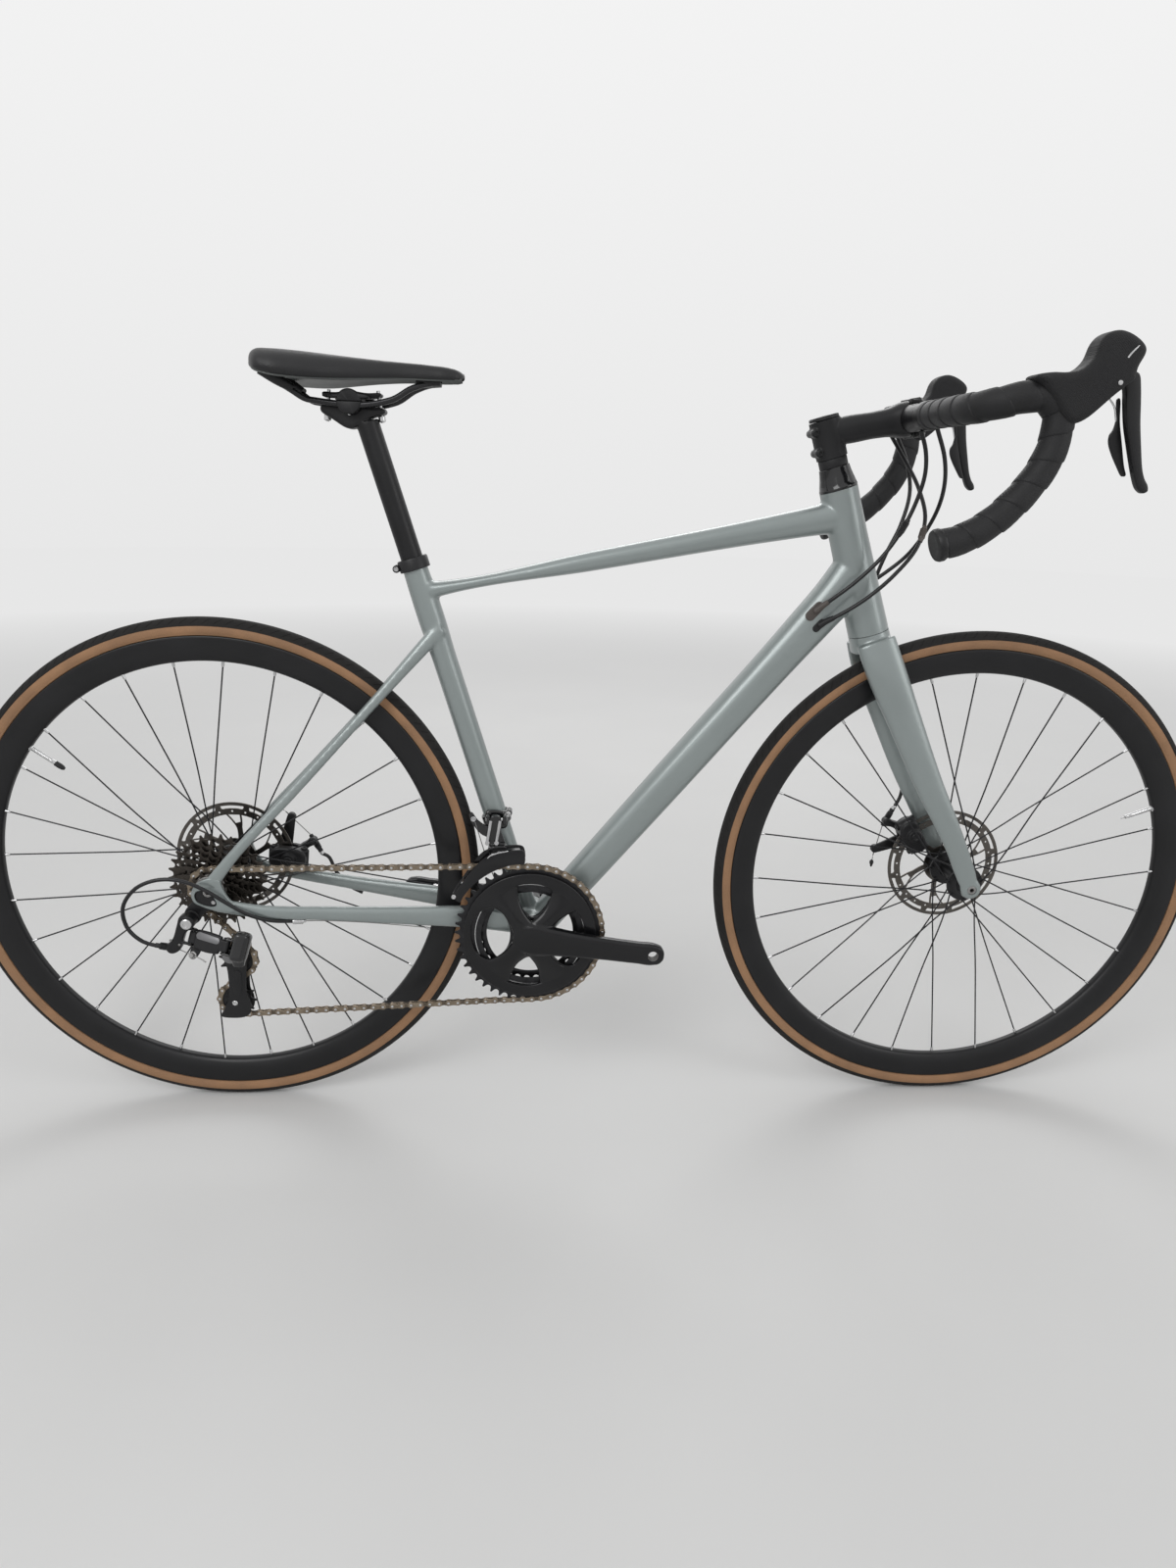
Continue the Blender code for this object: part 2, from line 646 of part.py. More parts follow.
def bar_points(side):
    """The bar's middle line on one side, from the stem to the end of the drop."""
    width = BAR_HALF_WIDTH
    route = [
        (0.0000, 0.0300, 0.0000),
        (0.0000, 0.0560, 0.0000),
        (0.0000, width - 0.050, 0.0000),
        (0.0040, width - 0.021, 0.0005),
        (0.0180, width - 0.004, 0.0040),
        (0.0419, width, 0.0098),
        (0.0620, width, 0.0110),
        (0.0770, width, -0.0010),
        (0.0797, width, -0.0218),
        (0.0755, width, -0.0460),
        (0.0630, width, -0.0705),
        (0.0437, width + 0.001, -0.0948),
        (0.0190, width + 0.002, -0.1165),
        (-0.0060, width + 0.003, -0.1305),
        (-0.0310, width + 0.004, -0.1375),
    ]
    return smooth([(BAR.x + x, side * y, BAR.z + z) for x, y, z in route], 0.024)


def bar_path():
    """The whole bar's middle line from left to right, with two points past each end for the plugs."""
    left = bar_points(1)
    right = bar_points(-1)
    for path in (left, right):
        ahead = (path[-1] - path[-2]).normalized()
        path += [path[-1] + ahead * 0.001, path[-1] + ahead * 0.004]
    return [*reversed(left), *right]


def bar_sleeve(side, radius, inboard):
    """Rings round one side of the bar, from a distance off the middle plane out to its end."""
    path = bar_path()
    rings = pipe_rings(path, [radius] * len(path), 10)
    return [ring for point, ring in zip(path, rings) if side * point.y > inboard]


def make_handlebar():
    path = bar_path()
    radii = [BAR_CLAMP_DIAMETER / 2 if abs(p.y) < 0.035 else BAR_DIAMETER / 2 for p in path]
    solid("handlebar", loft(pipe_rings(path, radii, 10)[2:-2], split=True), "satin_black", BAR)
    for side in (-1, 1):
        tag = "right" if side < 0 else "left"
        outer = bar_sleeve(side, TAPE_DIAMETER / 2, 0.055)
        inner = bar_sleeve(side, BAR_DIAMETER / 2 + GAP, 0.055)
        closed_end, open_end = (-1, 0) if side < 0 else (0, -1)
        del inner[closed_end]
        shape = bmesh.new()
        shells = [[[shape.verts.new(p) for p in ring] for ring in rings] for rings in (outer, inner)]
        for shell in shells:
            for first, second in zip(shell, shell[1:]):
                bridge(shape, first, second, split=True)
            shape.faces.new(shell[closed_end])
        bridge(shape, shells[0][open_end], shells[1][open_end])
        solid("bar_tape_" + tag, shape, "bar_tape", BAR)


HOOD = [
    (0.0760, 0.0335),
    (0.0900, 0.0370),
    (0.1000, 0.0470),
    (0.1035, 0.0620),
    (0.1110, 0.0708),
    (0.1250, 0.0738),
    (0.1400, 0.0690),
    (0.1510, 0.0610),
    (0.1530, 0.0530),
    (0.1450, 0.0395),
    (0.1453, 0.0282),
    (0.1390, 0.0232),
    (0.1254, 0.0116),
    (0.1042, -0.0083),
    (0.0900, -0.0130),
    (0.0760, -0.0100),
]
HOOD_ROUNDING = ((1.0, 0.0070), (0.84, 0.0025), (0.55, 0.0))
LEVER = [
    (0.1380, 0.0270),
    (0.1375, 0.0320),
    (0.1405, 0.0352),
    (0.1530, 0.0357),
    (0.1580, 0.0220),
    (0.1640, -0.0120),
    (0.1740, -0.0540),
    (0.1830, -0.0720),
    (0.1838, -0.0788),
    (0.1780, -0.0799),
    (0.1715, -0.0725),
    (0.1632, -0.0559),
    (0.1490, -0.0136),
    (0.1435, 0.0080),
    (0.1435, 0.0190),
]
PADDLE = [
    (0.1405, 0.0110),
    (0.1450, 0.0110),
    (0.1500, -0.0130),
    (0.1600, -0.0520),
    (0.1640, -0.0620),
    (0.1590, -0.0622),
    (0.1540, -0.0560),
    (0.1410, -0.0320),
    (0.1400, -0.0220),
    (0.1440, -0.0135),
]
LEVER_PIVOT = (0.1415, 0.0305)


def make_levers():
    for side in (-1, 1):
        tag = "right" if side < 0 else "left"
        y = side * (BAR_HALF_WIDTH + 0.001)
        hood = solid("hood_" + tag, pillow(HOOD, y, 0.0185, BAR, HOOD_ROUNDING), "hood_rubber", BAR)
        around = loft(bar_sleeve(side, TAPE_DIAMETER / 2 + GAP, 0.12), split=True)
        combine(hood, [solid("bore_hood_" + tag, around, "hood_rubber")], "DIFFERENCE")
        slot = [(0.1355, 0.0050), (0.1355, 0.0372), (0.1600, 0.0372), (0.1600, 0.0050)]
        low, high = y - 0.0058, y + 0.0058
        if side < 0:
            high += 0.0070
        else:
            low -= 0.0070
        cut = solid("slot_hood_" + tag, plate([slot], low, high, BAR), "hood_rubber")
        combine(hood, [cut], "DIFFERENCE")
        pivot = offset(BAR, *LEVER_PIVOT, y)
        solid("brake_lever_" + tag, pillow(LEVER, y, 0.0052, BAR), "satin_black", pivot)
        paddle_y = y - side * 0.0078
        hinge = offset(BAR, 0.1428, 0.0100, paddle_y)
        solid("shift_paddle_" + tag, pillow(PADDLE, paddle_y, 0.0020, BAR), "satin_black", hinge)


# Cables


def cable(name, points, diameter, material_name, step):
    """A cable held along its whole route, as a round curve through points chosen by hand."""
    curve = bpy.data.curves.new(name, "CURVE")
    curve.dimensions = "3D"
    route = smooth(points, step)
    spline = curve.splines.new("POLY")
    spline.points.add(len(route) - 1)
    for spot, point in zip(spline.points, route):
        spot.co = (*point, 1.0)
    curve.bevel_depth = diameter / 2
    curve.bevel_resolution = 2
    curve.use_fill_caps = True
    curve.materials.append(material(material_name))
    made = bpy.data.objects.new(name, curve)
    bpy.context.scene.collection.objects.link(made)
    return made


CABLE_ROUTES = {
    "rear_shift_cable": [
        (0.3562, -0.0620, 0.9160),
        (0.3650, -0.0590, 0.8960),
        (0.3715, -0.0500, 0.8700),
        (0.3670, -0.0450, 0.8380),
        (0.3550, -0.0430, 0.8060),
        (0.3360, -0.0410, 0.7740),
        (0.3070, -0.0380, 0.7420),
        (0.2790, -0.0310, 0.7170),
        (0.2650, -0.0241, 0.7045),
    ],
    "front_shift_cable": [
        (0.3654, 0.0620, 0.9154),
        (0.3800, 0.0480, 0.8880),
        (0.3920, 0.0180, 0.8520),
        (0.3930, -0.0120, 0.8160),
        (0.3800, -0.0310, 0.7840),
        (0.3520, -0.0400, 0.7500),
        (0.3150, -0.0395, 0.7165),
        (0.2860, -0.0320, 0.6960),
        (0.2720, -0.0246, 0.6870),
    ],
    "rear_brake_cable": [
        (0.3715, -0.0700, 0.9192),
        (0.3900, -0.0560, 0.8880),
        (0.4060, -0.0250, 0.8470),
        (0.4070, 0.0100, 0.8060),
        (0.3930, 0.0330, 0.7700),
        (0.3620, 0.0430, 0.7400),
        (0.3200, 0.0410, 0.7130),
        (0.2880, 0.0325, 0.6990),
        (0.2720, 0.0246, 0.6940),
    ],
    "front_brake_cable": [
        (0.3737, 0.0720, 0.9205),
        (0.3900, 0.0690, 0.8880),
        (0.3980, 0.0640, 0.8500),
        (0.3890, 0.0600, 0.8050),
        (0.3730, 0.0560, 0.7700),
        (0.3610, 0.0530, 0.7350),
        (0.3570, 0.0510, 0.6900),
        (0.3640, 0.0500, 0.6350),
        (0.3880, 0.0525, 0.5700),
        (0.4160, 0.0580, 0.5050),
        (0.4345, 0.0607, 0.4600),
        (0.4330, 0.0588, 0.4323),
        (0.4248, 0.0570, 0.4157),
    ],
    "derailleur_housing": [
        (-0.3960, -0.0620, 0.2945),
        (-0.4250, -0.0740, 0.3010),
        (-0.4480, -0.0815, 0.3120),
        (-0.4740, -0.0835, 0.3290),
        (-0.5000, -0.0840, 0.3470),
        (-0.5250, -0.0850, 0.3590),
        (-0.5520, -0.0865, 0.3620),
        (-0.5820, -0.0885, 0.3510),
        (-0.6000, -0.0900, 0.3250),
        (-0.5960, -0.0905, 0.2960),
        (-0.5800, -0.0900, 0.2790),
        (-0.5595, -0.0890, 0.2715),
    ],
}


def make_cables():
    for name, points in CABLE_ROUTES.items():
        cable(name, points, CABLE_DIAMETER, "housing", 0.020)


# Wheels


def spokes(name, centre, flange_y, rim_y, spin):
    """The spokes of one flange, laced over two others, as one body joined where they cross."""
    start_radius = FLANGE_RADIUS + 0.0015
    end_radius = RIM_INNER_RADIUS * math.cos(math.pi / WHEEL_SEGMENTS) - 0.0005
    step = 2 * math.pi / SPOKES_PER_FLANGE
    made = []
    for i in range(SPOKES_PER_FLANGE):
        lean = 1 if i % 2 == 0 else -1
        start_angle = spin + i * step + lean * 0.10
        end_angle = spin + i * step + lean * 2 * step
        ends = []
        for radius, angle, y in ((start_radius, start_angle, flange_y), (end_radius, end_angle, rim_y)):
            ends.append(centre + Vector((radius * math.cos(angle), y, radius * math.sin(angle))))
        ahead = (ends[1] - ends[0]).normalized()
        across = ahead.orthogonal().normalized()
        turned = Matrix.Rotation(0.35 * lean, 3, ahead) @ across
        thick = 2 * SPOKE_RADIUS
        rings = [section(end, turned, ahead.cross(turned), thick, thick, 3, 2) for end in ends]
        made.append(solid(name if i == 0 else f"cut_{name}_{i}", loft(rings), "spoke", centre))
    combine(made[0], made[1:])


def make_wheel(where, centre, left_flange, right_flange, hub_half, rotor_y, barrel, phase):
    """One wheel; barrel is the turned outline of its hub, and phase how far its spokes are turned."""
    half = TYRE_WIDTH / 2
    rim = RIM_OUTER_RADIUS
    rise = TYRE_RADIUS - rim
    tyre = [
        (rim - 0.0060, half * 0.62),
        (rim + GAP, half * 0.60),
        (rim + rise * 0.10, half * 0.90),
        (rim + rise * 0.42, half),
        (rim + rise * 0.76, half * 0.78),
        (TYRE_RADIUS, half * 0.26),
    ]
    inside = [(TYRE_RADIUS - 0.0042, 0), (rim + rise * 0.45, half * 0.80), (rim - 0.0060, half * 0.42)]
    mirrored = [(radius, -y) for radius, y in reversed(tyre)]
    inner = [(r, -y) for r, y in reversed(inside)] + inside[1:]
    solid("tyre_" + where, revolve(tyre + mirrored + inner, centre, Y_AXIS, WHEEL_SEGMENTS), "tread", centre)
    wide = RIM_WIDTH / 2
    bed = rim - 0.0072
    rim_side = [(RIM_INNER_RADIUS, 0.0040), (rim - 0.0200, wide), (rim, wide), (rim, wide - 0.0022)]
    rim_side.append((bed, wide - 0.0022))
    rim_profile = rim_side + [(radius, -y) for radius, y in reversed(rim_side)]
    solid("rim_" + where, revolve(rim_profile, centre, Y_AXIS, WHEEL_SEGMENTS), "rim", centre)
    spokes(f"spokes_{where}_right", centre, right_flange, -0.0022, phase)
    spokes(f"spokes_{where}_left", centre, left_flange, 0.0022, phase + math.pi / SPOKES_PER_FLANGE)
    bore = AXLE_DIAMETER / 2 + GAP
    thick = 0.0016
    profile = [(bore, -hub_half + GAP), (0.0095, -hub_half + GAP)]
    profile += barrel["right"]
    for flange in (right_flange, left_flange):
        inner_radius = barrel["shell"]
        profile += [
            (inner_radius, flange - thick - 0.002),
            (FLANGE_RADIUS, flange - thick),
            (FLANGE_RADIUS, flange + thick),
            (inner_radius, flange + thick + 0.002),
        ]
    profile += [
        (0.0172, rotor_y - ROTOR_THICKNESS / 2 - GAP - 0.003),
        (0.0215, rotor_y - ROTOR_THICKNESS / 2 - GAP - 0.001),
        (0.0215, rotor_y - ROTOR_THICKNESS / 2 - GAP),
        (0.0172, rotor_y - ROTOR_THICKNESS / 2 - GAP),
        (0.0172, rotor_y + 0.003),
        (0.0095, rotor_y + 0.004),
        (0.0095, hub_half - GAP),
        (bore, hub_half - GAP),
    ]
    solid("hub_" + where, revolve(profile, centre, Y_AXIS), "satin_black", centre)
    windows = []
    for i in range(6):
        middle = 2 * math.pi * (i + 0.5) / 6
        window = []
        for radius, spread in ((0.0335, 0.34), (0.0640, 0.40)):
            ends = (middle - spread, middle, middle + spread)
            if radius > 0.05:
                ends = reversed(ends)
            window += [(radius * math.cos(a), radius * math.sin(a)) for a in ends]
        windows.append(window)
    loops = [circle(ROTOR_RADIUS, 32), circle(0.0172 + 2 * GAP, ROUND), *windows]
    low, high = rotor_y - ROTOR_THICKNESS / 2, rotor_y + ROTOR_THICKNESS / 2
    solid("rotor_" + where, plate(loops, low, high, centre), "rotor", centre)


FRONT_ROTOR_Y = FRONT_HUB_WIDTH / 2 - 0.0105
REAR_ROTOR_Y = REAR_HUB_WIDTH / 2 - 0.0188
COG_OUTER_Y = -(REAR_HUB_WIDTH / 2 - 0.0075)


def make_wheels():
    half = FRONT_HUB_WIDTH / 2
    front = {"right": [(0.0095, -half + 0.010)], "shell": 0.0130}
    phase = FRONT_SPOKE_PHASE
    make_wheel("front", FRONT, 0.0240, -0.0345, half, FRONT_ROTOR_Y, front, phase)
    half = REAR_HUB_WIDTH / 2
    freehub = [(0.0095, -half + 0.0045), (0.0165, -half + 0.0045), (0.0165, -0.0255), (0.0150, -0.0250)]
    rear = {"right": freehub, "shell": 0.0150}
    make_wheel("rear", REAR, 0.0330, -0.0190, half, REAR_ROTOR_Y, rear, REAR_SPOKE_PHASE)


# Drivetrain


def cog_y(index):
    return COG_OUTER_Y + COG_PITCH * index


def make_cassette():
    thick = 0.0008
    profile = [(0.0165 + GAP, COG_OUTER_Y - 0.0030), (0.0185, COG_OUTER_Y - 0.0030)]
    profile.append((0.0185, COG_OUTER_Y - thick))
    for i, teeth in enumerate(COG_TEETH):
        radius = tooth_radius(teeth)
        if i > CHAIN_COG:
            radius = pitch_radius(teeth) + 0.0030
        profile.append((radius, cog_y(i) - thick))
        if i < len(COG_TEETH) - 1:
            profile.append((radius, cog_y(i + 1) - thick))
    profile.append((radius, cog_y(len(COG_TEETH) - 1) + thick))
    profile.append((0.0165 + GAP, cog_y(len(COG_TEETH) - 1) + thick))
    solid("cassette", revolve(profile, REAR, Y_AXIS, 24), "rotor", REAR)


GUIDE = offset(REAR, 0.0270, -0.1010)
TENSION = offset(REAR, 0.0210, -0.1590)
CAGE_PIVOT = offset(REAR, 0.0290, -0.0770)
CHAIN_Y = COG_OUTER_Y + COG_PITCH * CHAIN_COG


def belt(wheels):
    """Points along a closed belt round (centre, radius, turn, y) wheels in order; turn is the sense."""
    count = len(wheels)
    arrive = [0.0] * count
    leave = [0.0] * count
    for i, (centre, radius, turn, y) in enumerate(wheels):
        other, other_radius, other_turn, other_y = wheels[(i + 1) % count]
        away = Vector((other.x - centre.x, other.z - centre.z))
        lean = math.asin((turn * radius - other_turn * other_radius) / away.length)
        heading = math.atan2(away.y, away.x) + lean
        leave[i] = heading - turn * math.pi / 2
        arrive[(i + 1) % count] = heading - other_turn * math.pi / 2
    path = []
    for i, (centre, radius, turn, y) in enumerate(wheels):
        sweep = (leave[i] - arrive[i]) * turn % (2 * math.pi)
        largest = 2 * math.acos(1 - 0.0002 / (radius - CHAIN_HEIGHT / 2))
        pieces = math.ceil(sweep / largest)
        lead = 0.045 if radius > 0.025 else 0.004
        for k in range(pieces + 1):
            angle = arrive[i] + turn * sweep * k / pieces
            point = centre + Vector((radius * math.cos(angle), y, radius * math.sin(angle)))
            ahead = Vector((-math.sin(angle), 0, math.cos(angle))) * turn
            if k == 0:
                path.append(point - ahead * lead)
            path.append(point)
            if k == pieces:
                path.append(point + ahead * lead)
    return path


def chain_wheels():
    """The wheels that the chain runs round, seen with +X to the right, from the ring's top backwards."""
    return [
        (BB, pitch_radius(RING_TEETH), 1, -CHAIN_LINE),
        (REAR, pitch_radius(COG_TEETH[CHAIN_COG]), 1, CHAIN_Y),
        (GUIDE, pitch_radius(PULLEY_TEETH), -1, CHAIN_Y),
        (TENSION, pitch_radius(PULLEY_TEETH), 1, CHAIN_Y),
    ]


def make_chain():
    path = belt(chain_wheels())
    rings = []
    for i, point in enumerate(path):
        ahead = (path[(i + 1) % len(path)] - path[i - 1]).normalized()
        across = (Y_AXIS - ahead * ahead.y).normalized()
        up = ahead.cross(across)
        corners = ((1, 1), (-1, 1), (-1, -1), (1, -1))
        half_width = across * (CHAIN_WIDTH / 2)
        half_height = up * (CHAIN_HEIGHT / 2)
        rings.append([point + half_width * a + half_height * b for a, b in corners])
    solid("chain", loft(rings, closed=True), "chain")


def crank_arm(direction, side, stations):
    """One arm from (distance, middle y, thickness, height) stations, with bevelled edges."""
    along = Vector((direction.x, 0, direction.y))
    up = along.cross(Y_AXIS)
    rings = []
    for distance, y, thick, high in stations:
        middle = BB + along * distance + Y_AXIS * (side * y)
        bevel = thick * 0.22
        a, b = thick / 2, high / 2
        corners = ((a, b - bevel), (a - bevel, b), (bevel - a, b), (-a, b - bevel))
        corners += tuple((-x, -z) for x, z in corners)
        rings.append([middle + Y_AXIS * x + up * z for x, z in corners])
    return loft(rings)


def make_crank():
    arm = Vector((math.cos(CRANK_ANGLE), math.sin(CRANK_ANGLE)))
    bolt_circle = 0.055
    bolt_angles = [CRANK_ANGLE + math.radians(45 + 90 * i) for i in range(4)]
    bolts = [(bolt_circle * math.cos(a), bolt_circle * math.sin(a)) for a in bolt_angles]
    half = RING_THICKNESS / 2
    ring_y = -CHAIN_LINE
    inner_y = ring_y + RING_GAP
    rings = (("chainring_outer", ring_y, RING_TEETH), ("chainring_inner", inner_y, INNER_RING_TEETH))
    for name, y, teeth in rings:
        holes = [circle(0.0045 + GAP, 8, x, z) for x, z in bolts]
        loops = [toothed(teeth), circle(0.0450, 24), *holes]
        solid(name, plate(loops, y - half, y + half, BB), "satin_black", BB)
    spider_y = ring_y - half - GAP
    face_y = spider_y - 0.0090
    pedal = (arm.x * CRANK_LENGTH, arm.y * CRANK_LENGTH)
    boss = rod(BB, Y_AXIS, 0.0210, face_y - 0.0080, -BB_SHELL_WIDTH / 2 - 0.0035)
    crank = solid("crankset_right", boss, "gloss_black", BB)
    parts = [rod(BB, Y_AXIS, SPINDLE_DIAMETER / 2, -0.0500, BB_SHELL_WIDTH / 2 + 0.0290)]
    spider = []
    half_spider = ((10, 0.0535), (7, 0.0625))
    corners = [(-45, 0.0235), (-26, 0.0285)]
    corners += [(-turn, radius) for turn, radius in half_spider]
    corners += [*reversed(half_spider), (26, 0.0285)]
    for middle in bolt_angles:
        for turn, radius in corners:
            angle = middle + math.radians(turn)
            spider.append((radius * math.cos(angle), radius * math.sin(angle)))
    parts.append(plate([spider], face_y, spider_y, BB))
    for x, z in bolts:
        parts.append(rod(offset(BB, x, z), Y_AXIS, 0.0045, spider_y - 0.0030, inner_y + half + 0.0010, 8))
    long = CRANK_LENGTH
    profile = [
        (-0.0205, 0.0600, 0.0110, 0.0260),
        (0.0000, 0.0610, 0.0130, 0.0430),
        (0.0250, 0.0625, 0.0135, 0.0400),
        (0.0900, 0.0655, 0.0125, 0.0300),
        (long - 0.0200, 0.0670, 0.0120, 0.0270),
        (long + 0.0060, 0.0670, 0.0120, 0.0260),
        (long + 0.0135, 0.0670, 0.0120, 0.0150),
    ]
    parts.append(crank_arm(arm, -1, profile))
    combine(crank, [solid(f"cut_crank_{i}", part, "gloss_black") for i, part in enumerate(parts)])
    eye = rod(offset(BB, *pedal), Y_AXIS, 0.0070, -0.10, -0.05)
    combine(crank, [solid("bore_pedal_right", eye, "gloss_black")], "DIFFERENCE")
    left_face = BB_SHELL_WIDTH / 2 + 0.0035
    crank_left = solid("crank_left", crank_arm(-arm, 1, profile), "gloss_black", BB)
    boss = rod(BB, Y_AXIS, 0.0195, left_face, left_face + 0.0290)
    combine(crank_left, [solid("cut_boss_left", boss, "gloss_black")])
    cuts = [
        rod(BB, Y_AXIS, SPINDLE_DIAMETER / 2 + GAP, -0.05, 0.12),
        rod(offset(BB, -pedal[0], -pedal[1]), Y_AXIS, 0.0070, 0.04, 0.10),
    ]
    cutters = [solid(f"bore_crank_left_{i}", cut, "gloss_black") for i, cut in enumerate(cuts)]
    combine(crank_left, cutters, "DIFFERENCE")


# Derailleurs

SLANT = math.radians(20)
SHIFT_DIRECTION = Vector((0, math.cos(SLANT), -math.sin(SLANT)))
LINK_DROOP = math.radians(14)
LINK_LEVEL = Vector((math.cos(LINK_DROOP), 0, -math.sin(LINK_DROOP)))
LINK_AXIS = LINK_LEVEL.cross(SHIFT_DIRECTION).normalized()
LINK_LENGTH = 0.050
LINK_HALF_HEIGHT = 0.0075
LINK_REST = math.radians(-16)
HANGER_FACE = -(REAR_HUB_WIDTH / 2 + DROPOUT_THICKNESS)
B_BOLT = offset(REAR, -0.0225, -0.0335)
LINK_PIVOT = offset(REAR, -0.0200, -0.0555, HANGER_FACE - 0.0085)
LINK_FORWARD = SHIFT_DIRECTION.cross(LINK_AXIS)
LINK_ALONG = Matrix.Rotation(LINK_REST, 3, LINK_AXIS) @ LINK_FORWARD
LINK_END = LINK_PIVOT + LINK_ALONG * LINK_LENGTH


def lip(start, end, radius, low, high):
    """A flat piece with round ends square to the link's own axis."""
    along = end - start
    length = along.length
    along.normalize()
    across = LINK_AXIS.cross(along)
    outline = capsule(0, 0, radius, length, 0, radius, 5)
    return loft([[start + along * x + across * y + LINK_AXIS * h for x, y in outline] for h in (low, high)])


def make_rear_derailleur():
    outline = [
        (-0.0100, -0.0270),
        (-0.0150, -0.0225),
        (-0.0300, -0.0225),
        (-0.0360, -0.0300),
        (-0.0420, -0.0560),
        (-0.0545, -0.0640),
        (-0.0545, -0.0740),
        (-0.0400, -0.0760),
        (-0.0270, -0.0700),
        (-0.0260, -0.0440),
        (-0.0120, -0.0380),
    ]
    middle = HANGER_FACE - GAP - 0.0080
    knuckle = solid("derailleur_b_knuckle", pillow(outline, middle, 0.0080, REAR), "satin_black", B_BOLT)
    top = LINK_HALF_HEIGHT
    levels = ((-top - 0.0032, -top - 0.0004), (top + 0.0004, top + 0.0032))
    back = LINK_PIVOT - LINK_FORWARD * 0.0120
    lips = [lip(back, LINK_PIVOT, 0.0050, low, high) for low, high in levels]
    combine(knuckle, [solid(f"cut_b_lip_{i}", part, "satin_black") for i, part in enumerate(lips)])
    link = lip(LINK_PIVOT, LINK_END, 0.0042, -top, top)
    solid("derailleur_link", link, "satin_black", LINK_PIVOT)
    outer_low = CHAIN_Y - 0.0090
    thick = 0.0016
    barrel = rod(CAGE_PIVOT, Y_AXIS, 0.0115, LINK_END.y + 0.0100, outer_low - thick - GAP)
    lower = solid("derailleur_p_knuckle", barrel, "satin_black", CAGE_PIVOT)
    front = LINK_END + LINK_FORWARD * 0.0110
    lips = [lip(LINK_END, front, 0.0050, low, high) for low, high in levels]
    web_middle = front + LINK_FORWARD * 0.0005 + SHIFT_DIRECTION * 0.0045
    web = section(web_middle, LINK_FORWARD, SHIFT_DIRECTION, 0.0080, 0.0200, 8, 4)
    lips.append(loft([[p + LINK_AXIS * h for p in web] for h in (-top - 0.0110, top + 0.0030)]))
    combine(lower, [solid(f"cut_p_lip_{i}", part, "satin_black") for i, part in enumerate(lips)])
    guide = GUIDE - REAR
    tension = TENSION - REAR
    pivot = CAGE_PIVOT - REAR
    outline = [
        (pivot.x - 0.0110, pivot.z + 0.0040),
        (pivot.x, pivot.z + 0.0125),
        (pivot.x + 0.0130, pivot.z + 0.0040),
        (guide.x + 0.0110, guide.z - 0.0080),
        (tension.x + 0.0160, tension.z + 0.0080),
        (tension.x + 0.0170, tension.z - 0.0150),
        (tension.x + 0.0080, tension.z - 0.0230),
        (tension.x - 0.0160, tension.z - 0.0220),
        (tension.x - 0.0190, tension.z - 0.0140),
        (tension.x - 0.0080, tension.z + 0.0080),
        (guide.x - 0.0130, guide.z - 0.0080),
        (guide.x - 0.0150, guide.z + 0.0060),
    ]
    side = plate([outline], outer_low - thick, outer_low, REAR)
    cage = solid("derailleur_cage", side, "satin_black", CAGE_PIVOT)
    inner_low = CHAIN_Y + 0.0074
    parts = [plate([outline], inner_low, inner_low + thick, REAR)]
    for centre in (GUIDE, TENSION):
        parts.append(rod(centre, Y_AXIS, 0.0040, outer_low - thick / 2, inner_low + thick / 2, 8))
    combine(cage, [solid(f"cut_cage_{i}", part, "satin_black") for i, part in enumerate(parts)])
    for name, centre in (("guide_pulley", GUIDE), ("tension_pulley", TENSION)):
        loops = [toothed(PULLEY_TEETH, 0.0025), circle(0.0040 + 2 * GAP, 8)]
        place = offset(centre, 0, 0, CHAIN_Y)
        solid(name, plate(loops, CHAIN_Y - 0.0020, CHAIN_Y + 0.0020, centre), "satin_black", place)


FRONT_DERAILLEUR_HINGE = BB + Vector((-0.0440, -0.0300, 0.1560))


